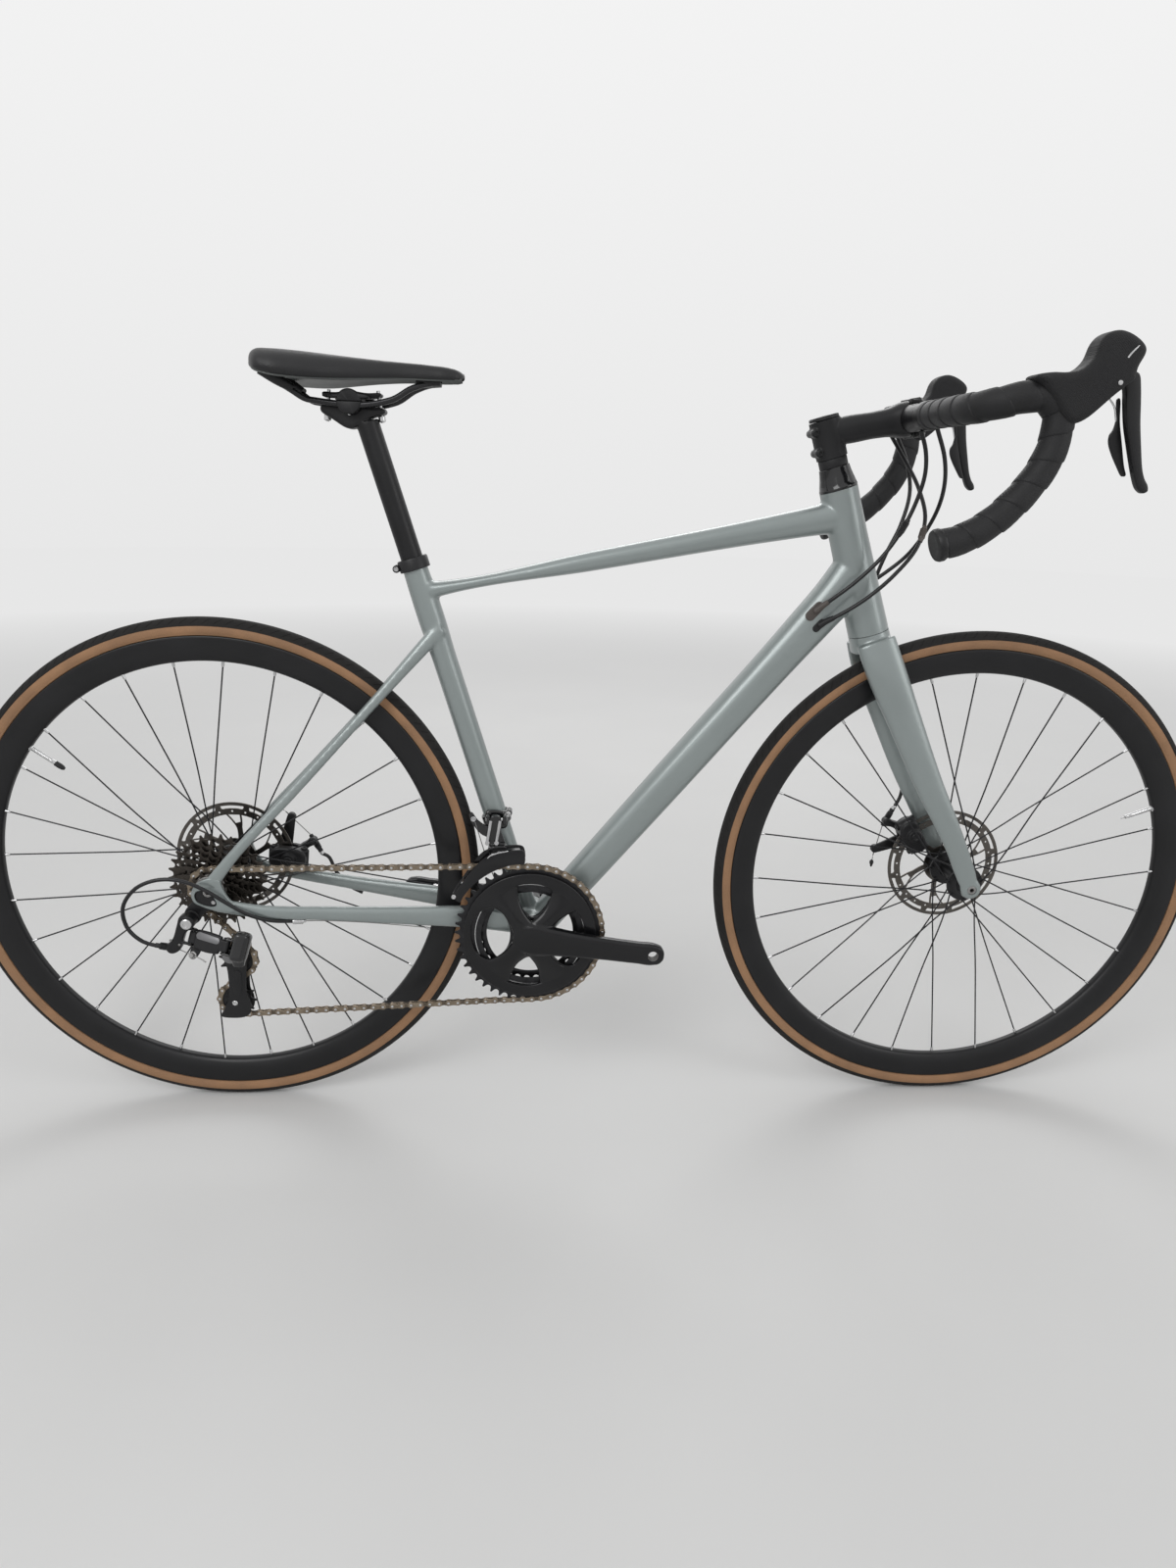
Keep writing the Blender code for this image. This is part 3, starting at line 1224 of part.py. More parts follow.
def make_front_derailleur():
    radius = SEAT_TUBE_DIAMETER / 2 + GAP
    ring = sleeve(BB, SEAT, radius, radius + 0.0030, 0.1480, 0.1640)
    band = solid("front_derailleur_clamp", ring, "gloss_black")
    block = [(-0.0580, 0.1400), (-0.0580, 0.1620), (-0.0320, 0.1620), (-0.0320, 0.1400)]
    parts = [
        plate([block], -0.0205, -0.0150, BB),
        rod(FRONT_DERAILLEUR_HINGE, X_AXIS, 0.0022, -0.0136, 0.0116, 8),
    ]
    ears = [(-0.0580, 0.1500), (-0.0580, 0.1600), (-0.0535, 0.1600), (-0.0535, 0.1500)]
    front_ears = [(x + 0.0215, z) for x, z in ears]
    parts.append(plate([ears], -0.0330, -0.0200, BB))
    parts.append(plate([front_ears], -0.0330, -0.0200, BB))
    combine(band, [solid(f"cut_band_{i}", part, "gloss_black") for i, part in enumerate(parts)])
    bore = rod(BB, SEAT, radius, 0.1300, 0.1800)
    combine(band, [solid("bore_band", bore, "gloss_black")], "DIFFERENCE")
    ring_edge = pitch_radius(RING_TEETH) + CHAIN_HEIGHT / 2
    bottom = []
    for i in range(6):
        angle = math.radians(94 + 46 * i / 5)
        bottom.append(((ring_edge + 0.0035) * math.cos(angle), (ring_edge + 0.0035) * math.sin(angle)))
    outline = [*bottom, (-0.0900, 0.0850), (-0.0640, 0.1120), (-0.0400, 0.1210), (-0.0080, 0.1230)]
    cage = solid(
        "front_derailleur_cage",
        plate([outline], -CHAIN_LINE - 0.0082, -CHAIN_LINE - 0.0070, BB),
        "steel",
        FRONT_DERAILLEUR_HINGE,
    )
    top_bridge = [(-0.0520, 0.1150), (-0.0520, 0.1200), (-0.0150, 0.1225), (-0.0150, 0.1180)]
    tail = circle(0.0022, 8, bottom[-1][0] + 0.002, bottom[-1][1] + 0.0045)
    arm = [(-0.0530, 0.1140), (-0.0530, 0.1610), (-0.0390, 0.1610), (-0.0340, 0.1180)]
    parts = [
        plate([outline], -CHAIN_LINE + 0.0070, -CHAIN_LINE + 0.0082, BB),
        plate([top_bridge], -CHAIN_LINE - 0.0076, -CHAIN_LINE + 0.0076, BB),
        plate([tail], -CHAIN_LINE - 0.0076, -CHAIN_LINE + 0.0076, BB),
        plate([arm], -0.0350, -0.0250, BB),
    ]
    combine(cage, [solid(f"cut_front_cage_{i}", part, "steel") for i, part in enumerate(parts)])
    joint = rod(FRONT_DERAILLEUR_HINGE, X_AXIS, 0.0022 + GAP, -0.03, 0.03, 8)
    link_foot = [(-0.0530, 0.1140), (-0.0530, 0.1210), (-0.0340, 0.1210), (-0.0340, 0.1140)]
    foot = solid("cut_front_cage_foot", plate([link_foot], -0.0420, -0.0280, BB), "steel")
    combine(cage, [foot])
    combine(cage, [solid("bore_front_cage", joint, "steel")], "DIFFERENCE")


# Brakes


def make_caliper(where, centre, long_axis, rotor_y):
    """A cable disc caliper with a slot for the rotor, a stop for the housing, and the arm that is pulled."""
    along = long_axis.normalized()
    up = along.cross(Y_AXIS)

    def at(ahead, above, y):
        return centre + along * ahead + up * above + Y_AXIS * (rotor_y + y)

    rings = []
    for y, half_long, half_high in (
        (-0.0150, 0.018, 0.010),
        (-0.0110, 0.025, 0.014),
        (0.0110, 0.025, 0.014),
        (0.0150, 0.018, 0.011),
    ):
        corners = ((1, 1), (-1, 1), (-1, -1), (1, -1))
        rings.append([at(a * half_long, b * half_high, y) for a, b in corners])
    body = solid(where + "_brake_caliper", loft(rings), "satin_black", centre)
    lug = [(0.0080, 0.0080), (0.0230, 0.0080), (0.0320, 0.0130), (0.0300, 0.0220), (0.0250, 0.0210)]
    lug_rings = [[at(a, b, y) for a, b in lug] for y in (0.0090, 0.0205)]
    near, far = at(0.0260, 0.0240, 0.0175), at(0.0400, 0.0030, 0.0175)
    barrel = rod(near, far - near, 0.0038, 0.0, (far - near).length, 8)
    parts = [solid("cut_lug_" + where, loft(lug_rings), "satin_black")]
    parts.append(solid("cut_barrel_" + where, barrel, "satin_black"))
    combine(body, parts)
    wheel = REAR if where == "rear" else FRONT
    slot = rod(wheel, Y_AXIS, ROTOR_RADIUS + 0.0012, rotor_y - 0.0014, rotor_y + 0.0014, 32)
    combine(body, [solid("slot_" + where, slot, "satin_black")], "DIFFERENCE")
    pivot = at(-0.0100, 0.0040, 0.0150 + GAP)
    tip = at(-0.0030, 0.0500, 0.0150 + GAP) - pivot
    outline = capsule(0, 0, 0.0070, tip.x, tip.z, 0.0042, 4)
    solid(where + "_caliper_arm", plate([outline], pivot.y, pivot.y + 0.0045, pivot), "satin_black", pivot)


def make_brakes():
    make_caliper("front", on_steer(0.0573, 0.0112), STEER - STEER_AHEAD * 0.217, FRONT_ROTOR_Y)
    make_caliper("rear", offset(REAR, 0.0730, 0.0035), Vector((1.0, 0, -0.10)), REAR_ROTOR_Y)


# Saddle and seatpost


def make_seat():
    radius = SEATPOST_DIAMETER / 2
    shaft = rod(BB, SEAT, radius, POST_TOP + 0.005 - SEATPOST_LENGTH, POST_TOP + 0.004)
    post = solid("seatpost", shaft, "satin_black", on_seat(SEAT_TOP))
    head = [
        (-0.0330, -0.0125),
        (-0.0330, -0.0020),
        (0.0350, -0.0050),
        (0.0380, -0.0130),
        (0.0110, -0.0235),
        (-0.0060, -0.0290),
    ]
    parts = [solid("cut_post_head", plate([head], -0.0130, 0.0130, RAIL), "satin_black")]
    combine(post, parts)
    seat = rod(RAIL, Y_AXIS, CLAMP_RADIUS + 2 * GAP, -0.05, 0.05)
    combine(post, [solid("bore_post_head", seat, "satin_black")], "DIFFERENCE")
    half = CLAMP_WIDTH / 2
    clamp = solid("saddle_clamp", rod(RAIL, Y_AXIS, CLAMP_RADIUS, -half, half), "satin_black", RAIL)
    holes = []
    for side in (-1, 1):
        centre = RAIL + Y_AXIS * (side * RAIL_SPREAD / 2)
        holes.append(rod(centre, X_AXIS, RAIL_DIAMETER / 2 + 2 * GAP, -0.03, 0.03, 8))
    cutters = [solid(f"bore_clamp_{i}", hole, "satin_black") for i, hole in enumerate(holes)]
    combine(clamp, cutters, "DIFFERENCE")
    rail = RAIL_SPREAD / 2
    route = [
        (-0.0830, rail + 0.0130, 0.0205),
        (-0.0640, rail + 0.0060, 0.0100),
        (-0.0480, rail, 0.0010),
        (-0.0400, rail, 0.0000),
        (0.0380, rail, 0.0000),
        (0.0500, rail - 0.001, 0.0035),
        (0.0720, rail - 0.006, 0.0165),
        (0.0900, rail - 0.012, 0.0215),
    ]
    one_side = [RAIL + Vector(point) for point in route]
    other_side = [Vector((p.x, -p.y, p.z)) for p in reversed(one_side)]
    nose = RAIL + Vector((0.1020, 0, 0.0220))
    points = [*one_side, nose, *other_side]
    points = [p for i, p in enumerate(points) if i == 0 or (p - points[i - 1]).length > 0.001]
    solid("saddle_rails", loft(pipe_rings(points, [RAIL_DIAMETER / 2] * len(points), 8)), "satin_black", RAIL)
    wide = SADDLE_WIDTH
    long = SADDLE_LENGTH
    outline = [
        (0.000, 0.52, 0.0480, 0.0370),
        (0.030, 0.80, 0.0525, 0.0290),
        (0.100, 1.00, 0.0530, 0.0225),
        (0.300, 0.86, 0.0505, 0.0225),
        (0.480, 0.56, 0.0475, 0.0245),
        (0.660, 0.36, 0.0455, 0.0265),
        (0.860, 0.29, 0.0425, 0.0265),
        (0.970, 0.25, 0.0385, 0.0265),
        (1.000, 0.16, 0.0345, 0.0275),
    ]
    rings = []
    for share, width, top, bottom in outline:
        middle = RAIL + Vector((-0.1090 + share * long, 0, (top + bottom) / 2))
        rings.append(section(middle, Y_AXIS, Vector((0, 0, 1)), wide * width, top - bottom, 12, 2.6))
    solid("saddle", loft(rings), "saddle", RAIL)


def main():
    for item in list(bpy.data.objects):
        bpy.data.objects.remove(item, do_unlink=True)
    make_frame()
    make_frame_fittings()
    make_fork()
    make_stem()
    make_handlebar()
    make_levers()
    make_cables()
    make_wheels()
    make_cassette()
    make_chain()
    make_crank()
    make_rear_derailleur()
    make_front_derailleur()
    make_brakes()
    make_seat()


main()
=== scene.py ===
"""Road bike: the looks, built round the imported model, on a pale floor."""

import math

import bmesh
import bpy
import numpy as np
from mathutils import Matrix, Vector


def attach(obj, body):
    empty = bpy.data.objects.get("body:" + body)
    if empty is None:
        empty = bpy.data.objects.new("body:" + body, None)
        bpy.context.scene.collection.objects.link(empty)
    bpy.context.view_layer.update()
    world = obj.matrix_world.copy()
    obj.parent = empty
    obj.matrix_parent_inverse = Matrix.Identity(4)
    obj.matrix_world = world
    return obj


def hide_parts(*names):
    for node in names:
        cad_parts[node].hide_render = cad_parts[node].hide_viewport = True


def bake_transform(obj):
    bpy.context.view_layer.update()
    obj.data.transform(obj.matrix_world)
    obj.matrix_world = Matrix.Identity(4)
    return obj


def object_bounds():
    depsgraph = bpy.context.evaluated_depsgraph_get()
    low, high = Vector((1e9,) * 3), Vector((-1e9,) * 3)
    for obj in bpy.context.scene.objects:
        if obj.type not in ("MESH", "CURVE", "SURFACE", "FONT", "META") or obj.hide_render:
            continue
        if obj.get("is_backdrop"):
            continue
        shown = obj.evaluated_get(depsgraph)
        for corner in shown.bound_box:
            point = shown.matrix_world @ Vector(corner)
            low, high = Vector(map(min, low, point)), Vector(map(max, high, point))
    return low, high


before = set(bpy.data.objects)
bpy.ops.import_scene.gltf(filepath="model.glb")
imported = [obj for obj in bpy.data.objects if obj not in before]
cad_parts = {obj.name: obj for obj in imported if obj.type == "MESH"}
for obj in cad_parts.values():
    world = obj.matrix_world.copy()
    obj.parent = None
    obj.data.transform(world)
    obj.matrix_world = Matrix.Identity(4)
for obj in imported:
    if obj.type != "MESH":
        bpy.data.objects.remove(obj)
cad_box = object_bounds()

# Places on the bike, in metres: +X forwards, +Z up, the chain on the -Y side
X, Y, Z = Vector((1, 0, 0)), Vector((0, 1, 0)), Vector((0, 0, 1))
GAP = 0.0003
WHEELBASE, AXLE_HEIGHT = 1.0, 0.339
BB_AHEAD, BB_DROP = 0.4085, 0.07  # the bottom bracket's place from the rear axle
HEAD_ANGLE = math.radians(72.1)
SEAT_ANGLE = math.radians(72.9)
STEM_TILT = math.radians(7)
FORK_OFFSET = 0.0487
REAR = Vector((-WHEELBASE / 2, 0, AXLE_HEIGHT))
FRONT = Vector((WHEELBASE / 2, 0, AXLE_HEIGHT))
BB = REAR + Vector((BB_AHEAD, 0, -BB_DROP))
STEER = Vector((-math.cos(HEAD_ANGLE), 0, math.sin(HEAD_ANGLE)))
STEER_AHEAD = Vector((math.sin(HEAD_ANGLE), 0, math.cos(HEAD_ANGLE)))
STEER_FOOT = FRONT - STEER_AHEAD * FORK_OFFSET
SEAT = Vector((-math.cos(SEAT_ANGLE), 0, math.sin(SEAT_ANGLE)))
SEAT_AHEAD = Vector((math.sin(SEAT_ANGLE), 0, math.cos(SEAT_ANGLE)))
FORK_LENGTH = 0.3675
HEAD_TOP = 0.5515
STEM_BOTTOM, STEM_MIDDLE, STEM_TOP = 0.59, 0.6195, 0.635
STEM_LENGTH = 0.1
STEM_DIRECTION = (Matrix.Rotation(STEM_TILT, 3, "Y") @ STEER_AHEAD).normalized()
STEM_UP = STEM_DIRECTION.cross(Y)
SEAT_TOP = 0.5074
POST_TOP = 0.6674
HOUSING_RADIUS = 0.0025
SIDES = ((-1, "right"), (1, "left"))


def on_steer(along, ahead=0.0, y=0.0):
    """A point by its height up the steering axis, and how far it is ahead of that axis."""
    return STEER_FOOT + STEER * along + STEER_AHEAD * ahead + Y * y


def on_seat(along, ahead=0.0, y=0.0):
    """A point by its distance up the seat tube from the bottom bracket."""
    return BB + SEAT * along + SEAT_AHEAD * ahead + Y * y


def near(anchor, x, z, y=0.0):
    """A point by its distances from another one, the sideways one last."""
    return anchor + Vector((x, y, z))


def spot(radius, angle):
    """A point of an outline by its distance from the middle and its angle."""
    return radius * math.cos(angle), radius * math.sin(angle)


def low_high(side, inner, outer):
    """Two distances from the middle of the bike as a lower and a higher y."""
    return sorted((side * inner, side * outer))


STEM_START = on_steer(STEM_MIDDLE)
BAR = STEM_START + STEM_DIRECTION * STEM_LENGTH
RAIL = on_seat(POST_TOP) + Vector((-0.0178, 0, 0.0245))

# Shape helpers: each gives points and faces


def grid(rings, joined=False, caps=True):
    """A skin through closed rings of points; joined runs the last ring on to the first."""
    count, rows = len(rings[0]), len(rings)
    faces = []
    for i in range(rows if joined else rows - 1):
        a, b = i * count, (i + 1) % rows * count
        for j in range(count):
            k = (j + 1) % count
            faces.append((a + j, a + k, b + k, b + j))
    if caps and not joined:
        faces.append(tuple(range(count)))
        faces.append(tuple((rows - 1) * count + j for j in range(count)))
    return [p for ring in rings for p in ring], faces


def eased(stations, step):
    """Rows of values on a smooth line through the stations, each a point and any other values."""
    rows = np.array([[*s[0], *s[1:]] for s in stations], float)
    gaps = np.linalg.norm(np.diff(rows[:, :3], axis=0), axis=1)
    slopes = np.diff(rows, axis=0) / gaps[:, None]
    share = (gaps[1:] / (gaps[:-1] + gaps[1:]))[:, None]
    tangents = np.vstack([slopes[:1], slopes[:-1] * share + slopes[1:] * (1 - share), slopes[-1:]])
    made = []
    for i, gap in enumerate(gaps):
        count = max(1, round(gap / step))
        for k in range(count):
            t = k / count
            a, b = rows[i], rows[i + 1]
            c, d = tangents[i] * gap, tangents[i + 1] * gap
            h = 3 * t * t - 2 * t**3
            made.append(a * (1 - h) + b * h + c * (t - 2 * t * t + t**3) + d * (t**3 - t * t))
    made.append(rows[-1])
    return np.array(made)


def section(point, across, up, width, height, sides, power=2.0):
    """A ring with round corners: power 2 is an ellipse, and more is squarer."""
    ring = []
    for i in range(sides):
        angle = 2 * math.pi * (i + 0.5) / sides
        c, s = math.cos(angle), math.sin(angle)
        right = math.copysign(abs(c) ** (2 / power), c) * width / 2
        above = math.copysign(abs(s) ** (2 / power), s) * height / 2
        ring.append(point + across * right + up * above)
    return ring


def directions(rows):
    """The rows' points, and the way ahead at each."""
    points = [Vector(row[:3]) for row in rows]
    last = len(points) - 1
    ways = []
    for i in range(last + 1):
        ways.append((points[min(i + 1, last)] - points[max(i - 1, 0)]).normalized())
    return points, ways


def tube(stations, sides=40, power=2.2, step=0.008):
    """A tapered tube through (point, height, width) stations, its width kept near the Y axis."""
    rows = eased(stations, step)
    rings = []
    for row, point, ahead in zip(rows, *directions(rows)):
        across = (Y - ahead * ahead.y).normalized()
        rings.append(section(point, across, ahead.cross(across), row[4], row[3], sides, power))
    return grid(rings)


def frames(rows):
    """Points with their way ahead and a side direction that turns as little as possible."""
    side = None
    for point, ahead in zip(*directions(rows)):
        side = side or ahead.orthogonal()
        side = (side - ahead * side.dot(ahead)).normalized()
        yield point, ahead, side


def pipe(points, radius, sides=14, step=0.006, joined=False):
    """A round rod along a smooth line; radius is one value, or one for each point."""
    radii = [radius] * len(points) if isinstance(radius, float) else radius
    rows = eased([(Vector(p), r) for p, r in zip(points, radii)], step)
    rings = []
    for row, (point, ahead, side) in zip(rows, frames(rows)):
        rings.append(section(point, side, ahead.cross(side), 2 * row[3], 2 * row[3], sides))
    return grid(rings, joined)


def turn(profile, centre, axis, segments=64):
    """A turned body from (radius, distance along the axis) points: a ring, or solid from axis to axis."""
    axis = axis.normalized()
    start = axis * axis.z - Z
    start = start.normalized() if start.length > 1e-6 else X
    side = axis.cross(start)
    points, rings, faces = [], [], []
    for radius, height in profile:
        rings.append(range(len(points), len(points) + (segments if radius else 1)))
        for i in rings[-1]:
            a = 2 * math.pi * (i - rings[-1][0]) / segments
            points.append(centre + axis * height + (start * math.cos(a) + side * math.sin(a)) * radius)
    pairs = list(zip(rings, rings[1:]))
    if all(radius > 0 for radius, height in profile):
        pairs.append((rings[-1], rings[0]))
    for first, second in pairs:
        for i in range(segments):
            j = (i + 1) % segments
            ends = (first[i % len(first)], first[j % len(first)], second[j % len(second)],
                    second[i % len(second)])
            faces.append(tuple(dict.fromkeys(ends)))
    return points, [face for face in faces if len(face) > 2]


def rod(centre, axis, radius, start, end, edge=0.0004, segments=32):
    """A round bar with its two edges taken off."""
    profile = [(0, start), (radius - edge, start), (radius, start + edge), (radius, end - edge)]
    return turn([*profile, (radius - edge, end), (0, end)], centre, axis, segments)


def sleeve(centre, axis, inner, outer, start, end, edge=0.0003, segments=48):
    """A tube with its outer edges taken off."""
    profile = [(inner, start), (outer - edge, start), (outer, start + edge), (outer, end - edge)]
    return turn([*profile, (outer - edge, end), (inner, end)], centre, axis, segments)


def plate(loops, low, high, anchor, edge=0.0003, rounds=0, axes=(X, Z, Y)):
    """A flat piece with its edges taken off: an outline and any holes as (u, v), between two heights."""
    curve = bpy.data.curves.new("outline", "CURVE")
    curve.dimensions = "2D"
    curve.fill_mode = "BOTH"
    for loop in loops:
        spline = curve.splines.new("POLY")
        spline.points.add(len(loop) - 1)
        for corner, (u, v) in zip(spline.points, loop):
            corner.co = (u, v, 0, 1)
        spline.use_cyclic_u = True
    curve.offset = -edge
    curve.bevel_depth = edge
    curve.bevel_resolution = rounds
    curve.extrude = (high - low) / 2 - edge
    holder = bpy.data.objects.new("outline", curve)
    mesh = bpy.data.meshes.new_from_object(holder)
    shape = bmesh.new()
    shape.from_mesh(mesh)
    bmesh.ops.remove_doubles(shape, verts=shape.verts, dist=2e-6)
    bmesh.ops.dissolve_degenerate(shape, edges=shape.edges, dist=1e-6)
    shape.verts.index_update()
    u, v, w = axes
    middle = (low + high) / 2
    points = [anchor + u * p.co.x + v * p.co.y + w * (p.co.z + middle) for p in shape.verts]
    faces = [tuple(corner.index for corner in face.verts) for face in shape.faces]
    shape.free()
    bpy.data.objects.remove(holder)
    bpy.data.curves.remove(curve)
    bpy.data.meshes.remove(mesh)
    return points, faces


def circle(radius, count=48, x=0.0, z=0.0, start=0.0):
    angles = [start + 2 * math.pi * i / count for i in range(count)]
    return [(x + radius * math.cos(a), z + radius * math.sin(a)) for a in angles]


def capsule(x0, z0, r0, x1, z1, r1, count=10):
    """The outline round two circles."""
    angle = math.atan2(z1 - z0, x1 - x0)
    outline = []
    for x, z, radius, start in ((x1, z1, r1, angle - math.pi / 2), (x0, z0, r0, angle + math.pi / 2)):
        for i in range(count + 1):
            a = start + math.pi * i / count
            outline.append((x + radius * math.cos(a), z + radius * math.sin(a)))
    return outline


def curved(outline, pieces=6):
    """A closed outline made smooth, each side cut into pieces."""
    loop = [Vector(p) for p in outline]
    made = []
    for i, point in enumerate(loop):
        before, following, after = loop[i - 1], loop[(i + 1) % len(loop)], loop[(i + 2) % len(loop)]
        for k in range(pieces):
            t = k / pieces
            bend = 2 * before - 5 * point + 4 * following - after
            twist = 3 * point - before - 3 * following + after
            place = point + (following - before) * (t / 2) + bend * (t * t / 2) + twist * (t**3 / 2)
            made.append(tuple(place))
    return made


class Skin:
    """Points and faces gathered for one piece, each face with the place of its look in a list."""

    def __init__(self, *parts):
        self.points, self.faces, self.kinds = [], [], []
        for part in parts:
            self.add(part)

    def add(self, part, kind=0):
        points, faces = part
        first = len(self.points)
        self.points += [tuple(p) for p in points]
        self.faces += [tuple(first + i for i in face) for face in faces]
        self.kinds += kind if isinstance(kind, list) else [kind] * len(faces)
        return self


def kidney(inner, outer, middle, half):
    """A window between two radii, with round corners."""
    arc = [(outer, half * k / 4) for k in range(-4, 5)]
    arc += [(inner, half * 0.92 * k / 3) for k in range(3, -4, -1)]
    return curved([spot(r, middle + a) for r, a in arc], 3)


def oblong(u0, u1, v0, v1):
    return [(u0, v0), (u1, v0), (u1, v1), (u0, v1)]


def mesh_object(name, skin):
    mesh = bpy.data.meshes.new(name)
    mesh.from_pydata(skin.points, [], skin.faces)
    mesh.polygons.foreach_set("material_index", skin.kinds)
    shape = bmesh.new()
    shape.from_mesh(mesh)
    bmesh.ops.recalc_face_normals(shape, faces=shape.faces)
    shape.to_mesh(mesh)
    shape.free()
    made = bpy.data.objects.new(name, mesh)
    bpy.context.scene.collection.objects.link(made)
    return made


def settle(made):
    """Makes an object's modifiers part of its mesh."""
    graph = bpy.context.evaluated_depsgraph_get()
    mesh = bpy.data.meshes.new_from_object(made.evaluated_get(graph))
    made.modifiers.clear()
    old, made.data = made.data, mesh
    bpy.data.meshes.remove(old)


def melt(made, voxel, passes):
    """Joins the overlapping shells of an object into one skin and softens its inner corners."""
    skin = made.modifiers.new("skin", "REMESH")
    skin.mode = "VOXEL"
    skin.voxel_size = voxel
    soften = made.modifiers.new("soften", "SMOOTH")
    soften.factor = 0.5
    soften.iterations = passes
    settle(made)


def combine(made, parts, operation):
    """Booleans of closed shapes with an object, made part of its mesh."""
    cutters = []
    for i, part in enumerate(parts):
        cutters.append(mesh_object(f"cutter_{i}", Skin(part)))
        modifier = made.modifiers.new(f"cutter_{i}", "BOOLEAN")
        modifier.operation = operation
        modifier.solver = "MANIFOLD"
        modifier.object = cutters[-1]
    settle(made)
    for cutter in cutters:
        bpy.data.objects.remove(cutter)


def bolt(skin, place, axis, radius=0.0026, height=0.0024, kind=1):
    """A bolt head with a six-sided socket, standing on a face."""
    axis = axis.normalized()
    side = axis.orthogonal().normalized()
    outline = [circle(radius, 24), circle(radius * 0.52, 6)]
    skin.add(plate(outline, 0.0, height, place, radius * 0.14, 0, (side, axis.cross(side), axis)), kind)
    skin.add(rod(place, axis, radius * 0.6, -0.001, height * 0.35, 0.0001, 12), kind)


def finish(made, body, looks, slot, replaces="", angle=35, bevel=0.0, subdivide=0):
    """Gives an object its looks, its smooth shading and the body that it moves with.

    body is a name, which the object is attached to, or two names with a point for each; such an object is
    attached to neither and does not bend.
    """
    names = looks.split()
    kinds = [min(face.material_index, len(names) - 1) for face in made.data.polygons]
    made.data.materials.clear()
    for look_name in names:
        made.data.materials.append(LOOKS[look_name])
    made.data.polygons.foreach_set("material_index", kinds)
    if bevel:
        edges = made.modifiers.new("edges", "BEVEL")
        edges.width = bevel
        edges.segments = 2
        edges.limit_method = "ANGLE"
        edges.angle_limit = math.radians(40)
        edges.use_clamp_overlap = True
        settle(made)
    if subdivide:
        finer = made.modifiers.new("finer", "SUBSURF")
        finer.levels = finer.render_levels = subdivide
        settle(made)
    made.data.shade_smooth()
    made.data.set_sharp_from_angle(angle=math.radians(angle))
    if isinstance(body, str):
        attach(made, body)
    else:
        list(body)
        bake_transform(made)
    if replaces:
        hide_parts(*replaces.split())
    return made


def piece(name, skin, body, looks, slot, replaces="", **settings):
    """A visible piece from points and faces, with one look for each kind of face."""
    if isinstance(skin, tuple):
        skin = Skin(skin)
    return finish(mesh_object(name, skin), body, looks, slot, replaces, **settings)


def melted_piece(name, shells, voxel, passes, cuts, body, looks, slot, replaces="", **settings):
    """A visible piece whose shells are melted into one skin, with shapes cut out of it."""
    made = mesh_object(name, shells)
    melt(made, voxel, passes)
    if cuts:
        combine(made, cuts, "DIFFERENCE")
    return finish(made, body, looks, slot, replaces, **settings)

# Looks


def node(tree, kind, **settings):
    """A shader node: names with a capital are input sockets, in0 to in9 are sockets by number."""
    made = tree.nodes.new("ShaderNode" + kind)
    for key, value in settings.items():
        if key[0].isupper():
            socket = made.inputs[key.replace("_", " ")]
        elif key[:2] == "in" and key[2:].isdigit():
            socket = made.inputs[int(key[2:])]
        else:
            setattr(made, key, value)
            continue
        if isinstance(value, bpy.types.NodeSocket):
            tree.links.new(value, socket)
        else:
            socket.default_value = value
    return made


def maths(tree, operation, a, b=0.0):
    """The output of one sum on two values or sockets."""
    return node(tree, "Math", operation=operation, in0=a, in1=b).outputs[0]


def noise(tree, coords, size, detail=3.0, stretch=None):
    """Soft noise with features about this wide, in metres."""
    if stretch:
        coords = node(tree, "Mapping", Vector=coords, Scale=stretch).outputs[0]
    return node(tree, "TexNoise", Vector=coords, Scale=1 / size, Detail=detail).outputs["Fac"]


def between(tree, value, low, high, start=0.3, end=0.7):
    """The value's middle range spread from low to high."""
    return node(tree, "MapRange", in0=value, in1=start, in2=end, in3=low, in4=high).outputs[0]


def ramp(tree, value, *stops):
    """A colour that runs through stops, each a place from 0 to 1 and a colour."""
    made = node(tree, "ValToRGB", Fac=value)
    elements = made.color_ramp.elements
    while len(elements) < len(stops):
        elements.new(0.5)
    for element, (place, colour) in zip(elements, stops):
        element.position = place
        element.color = (*colour, 1)
    return made.outputs[0]


ROUND_SCALE = 0.3  # an angle of 1 becomes this many metres along a wheel


def polar(tree, coords, centre):
    """Coordinates round a wheel's axis: the way along its circle, the radius, and y."""
    shifted = node(tree, "VectorMath", operation="SUBTRACT", in0=coords, in1=tuple(centre)).outputs[0]
    split = node(tree, "SeparateXYZ", Vector=shifted).outputs
    angle = maths(tree, "MULTIPLY", maths(tree, "ARCTAN2", split[2], split[0]), ROUND_SCALE)
    squares = [maths(tree, "POWER", maths(tree, "ABSOLUTE", split[i]), 2.0) for i in (0, 2)]
    radius = maths(tree, "POWER", maths(tree, "ADD", *squares), 0.5)
    return node(tree, "CombineXYZ", in0=angle, in1=radius, in2=split[1]).outputs[0]


LOOKS = {}
BROAD_SHARE, FINE_SHARE = 0.65, 0.35
NOISE_LOW, NOISE_HIGH = 0.36, 0.64  # where most of the mixed noise lies
EDGE_LOW, EDGE_HIGH = 0.53, 0.62  # how pointed an edge is where its lightening starts and where it is full: edge wear, and a painted highlight along edges
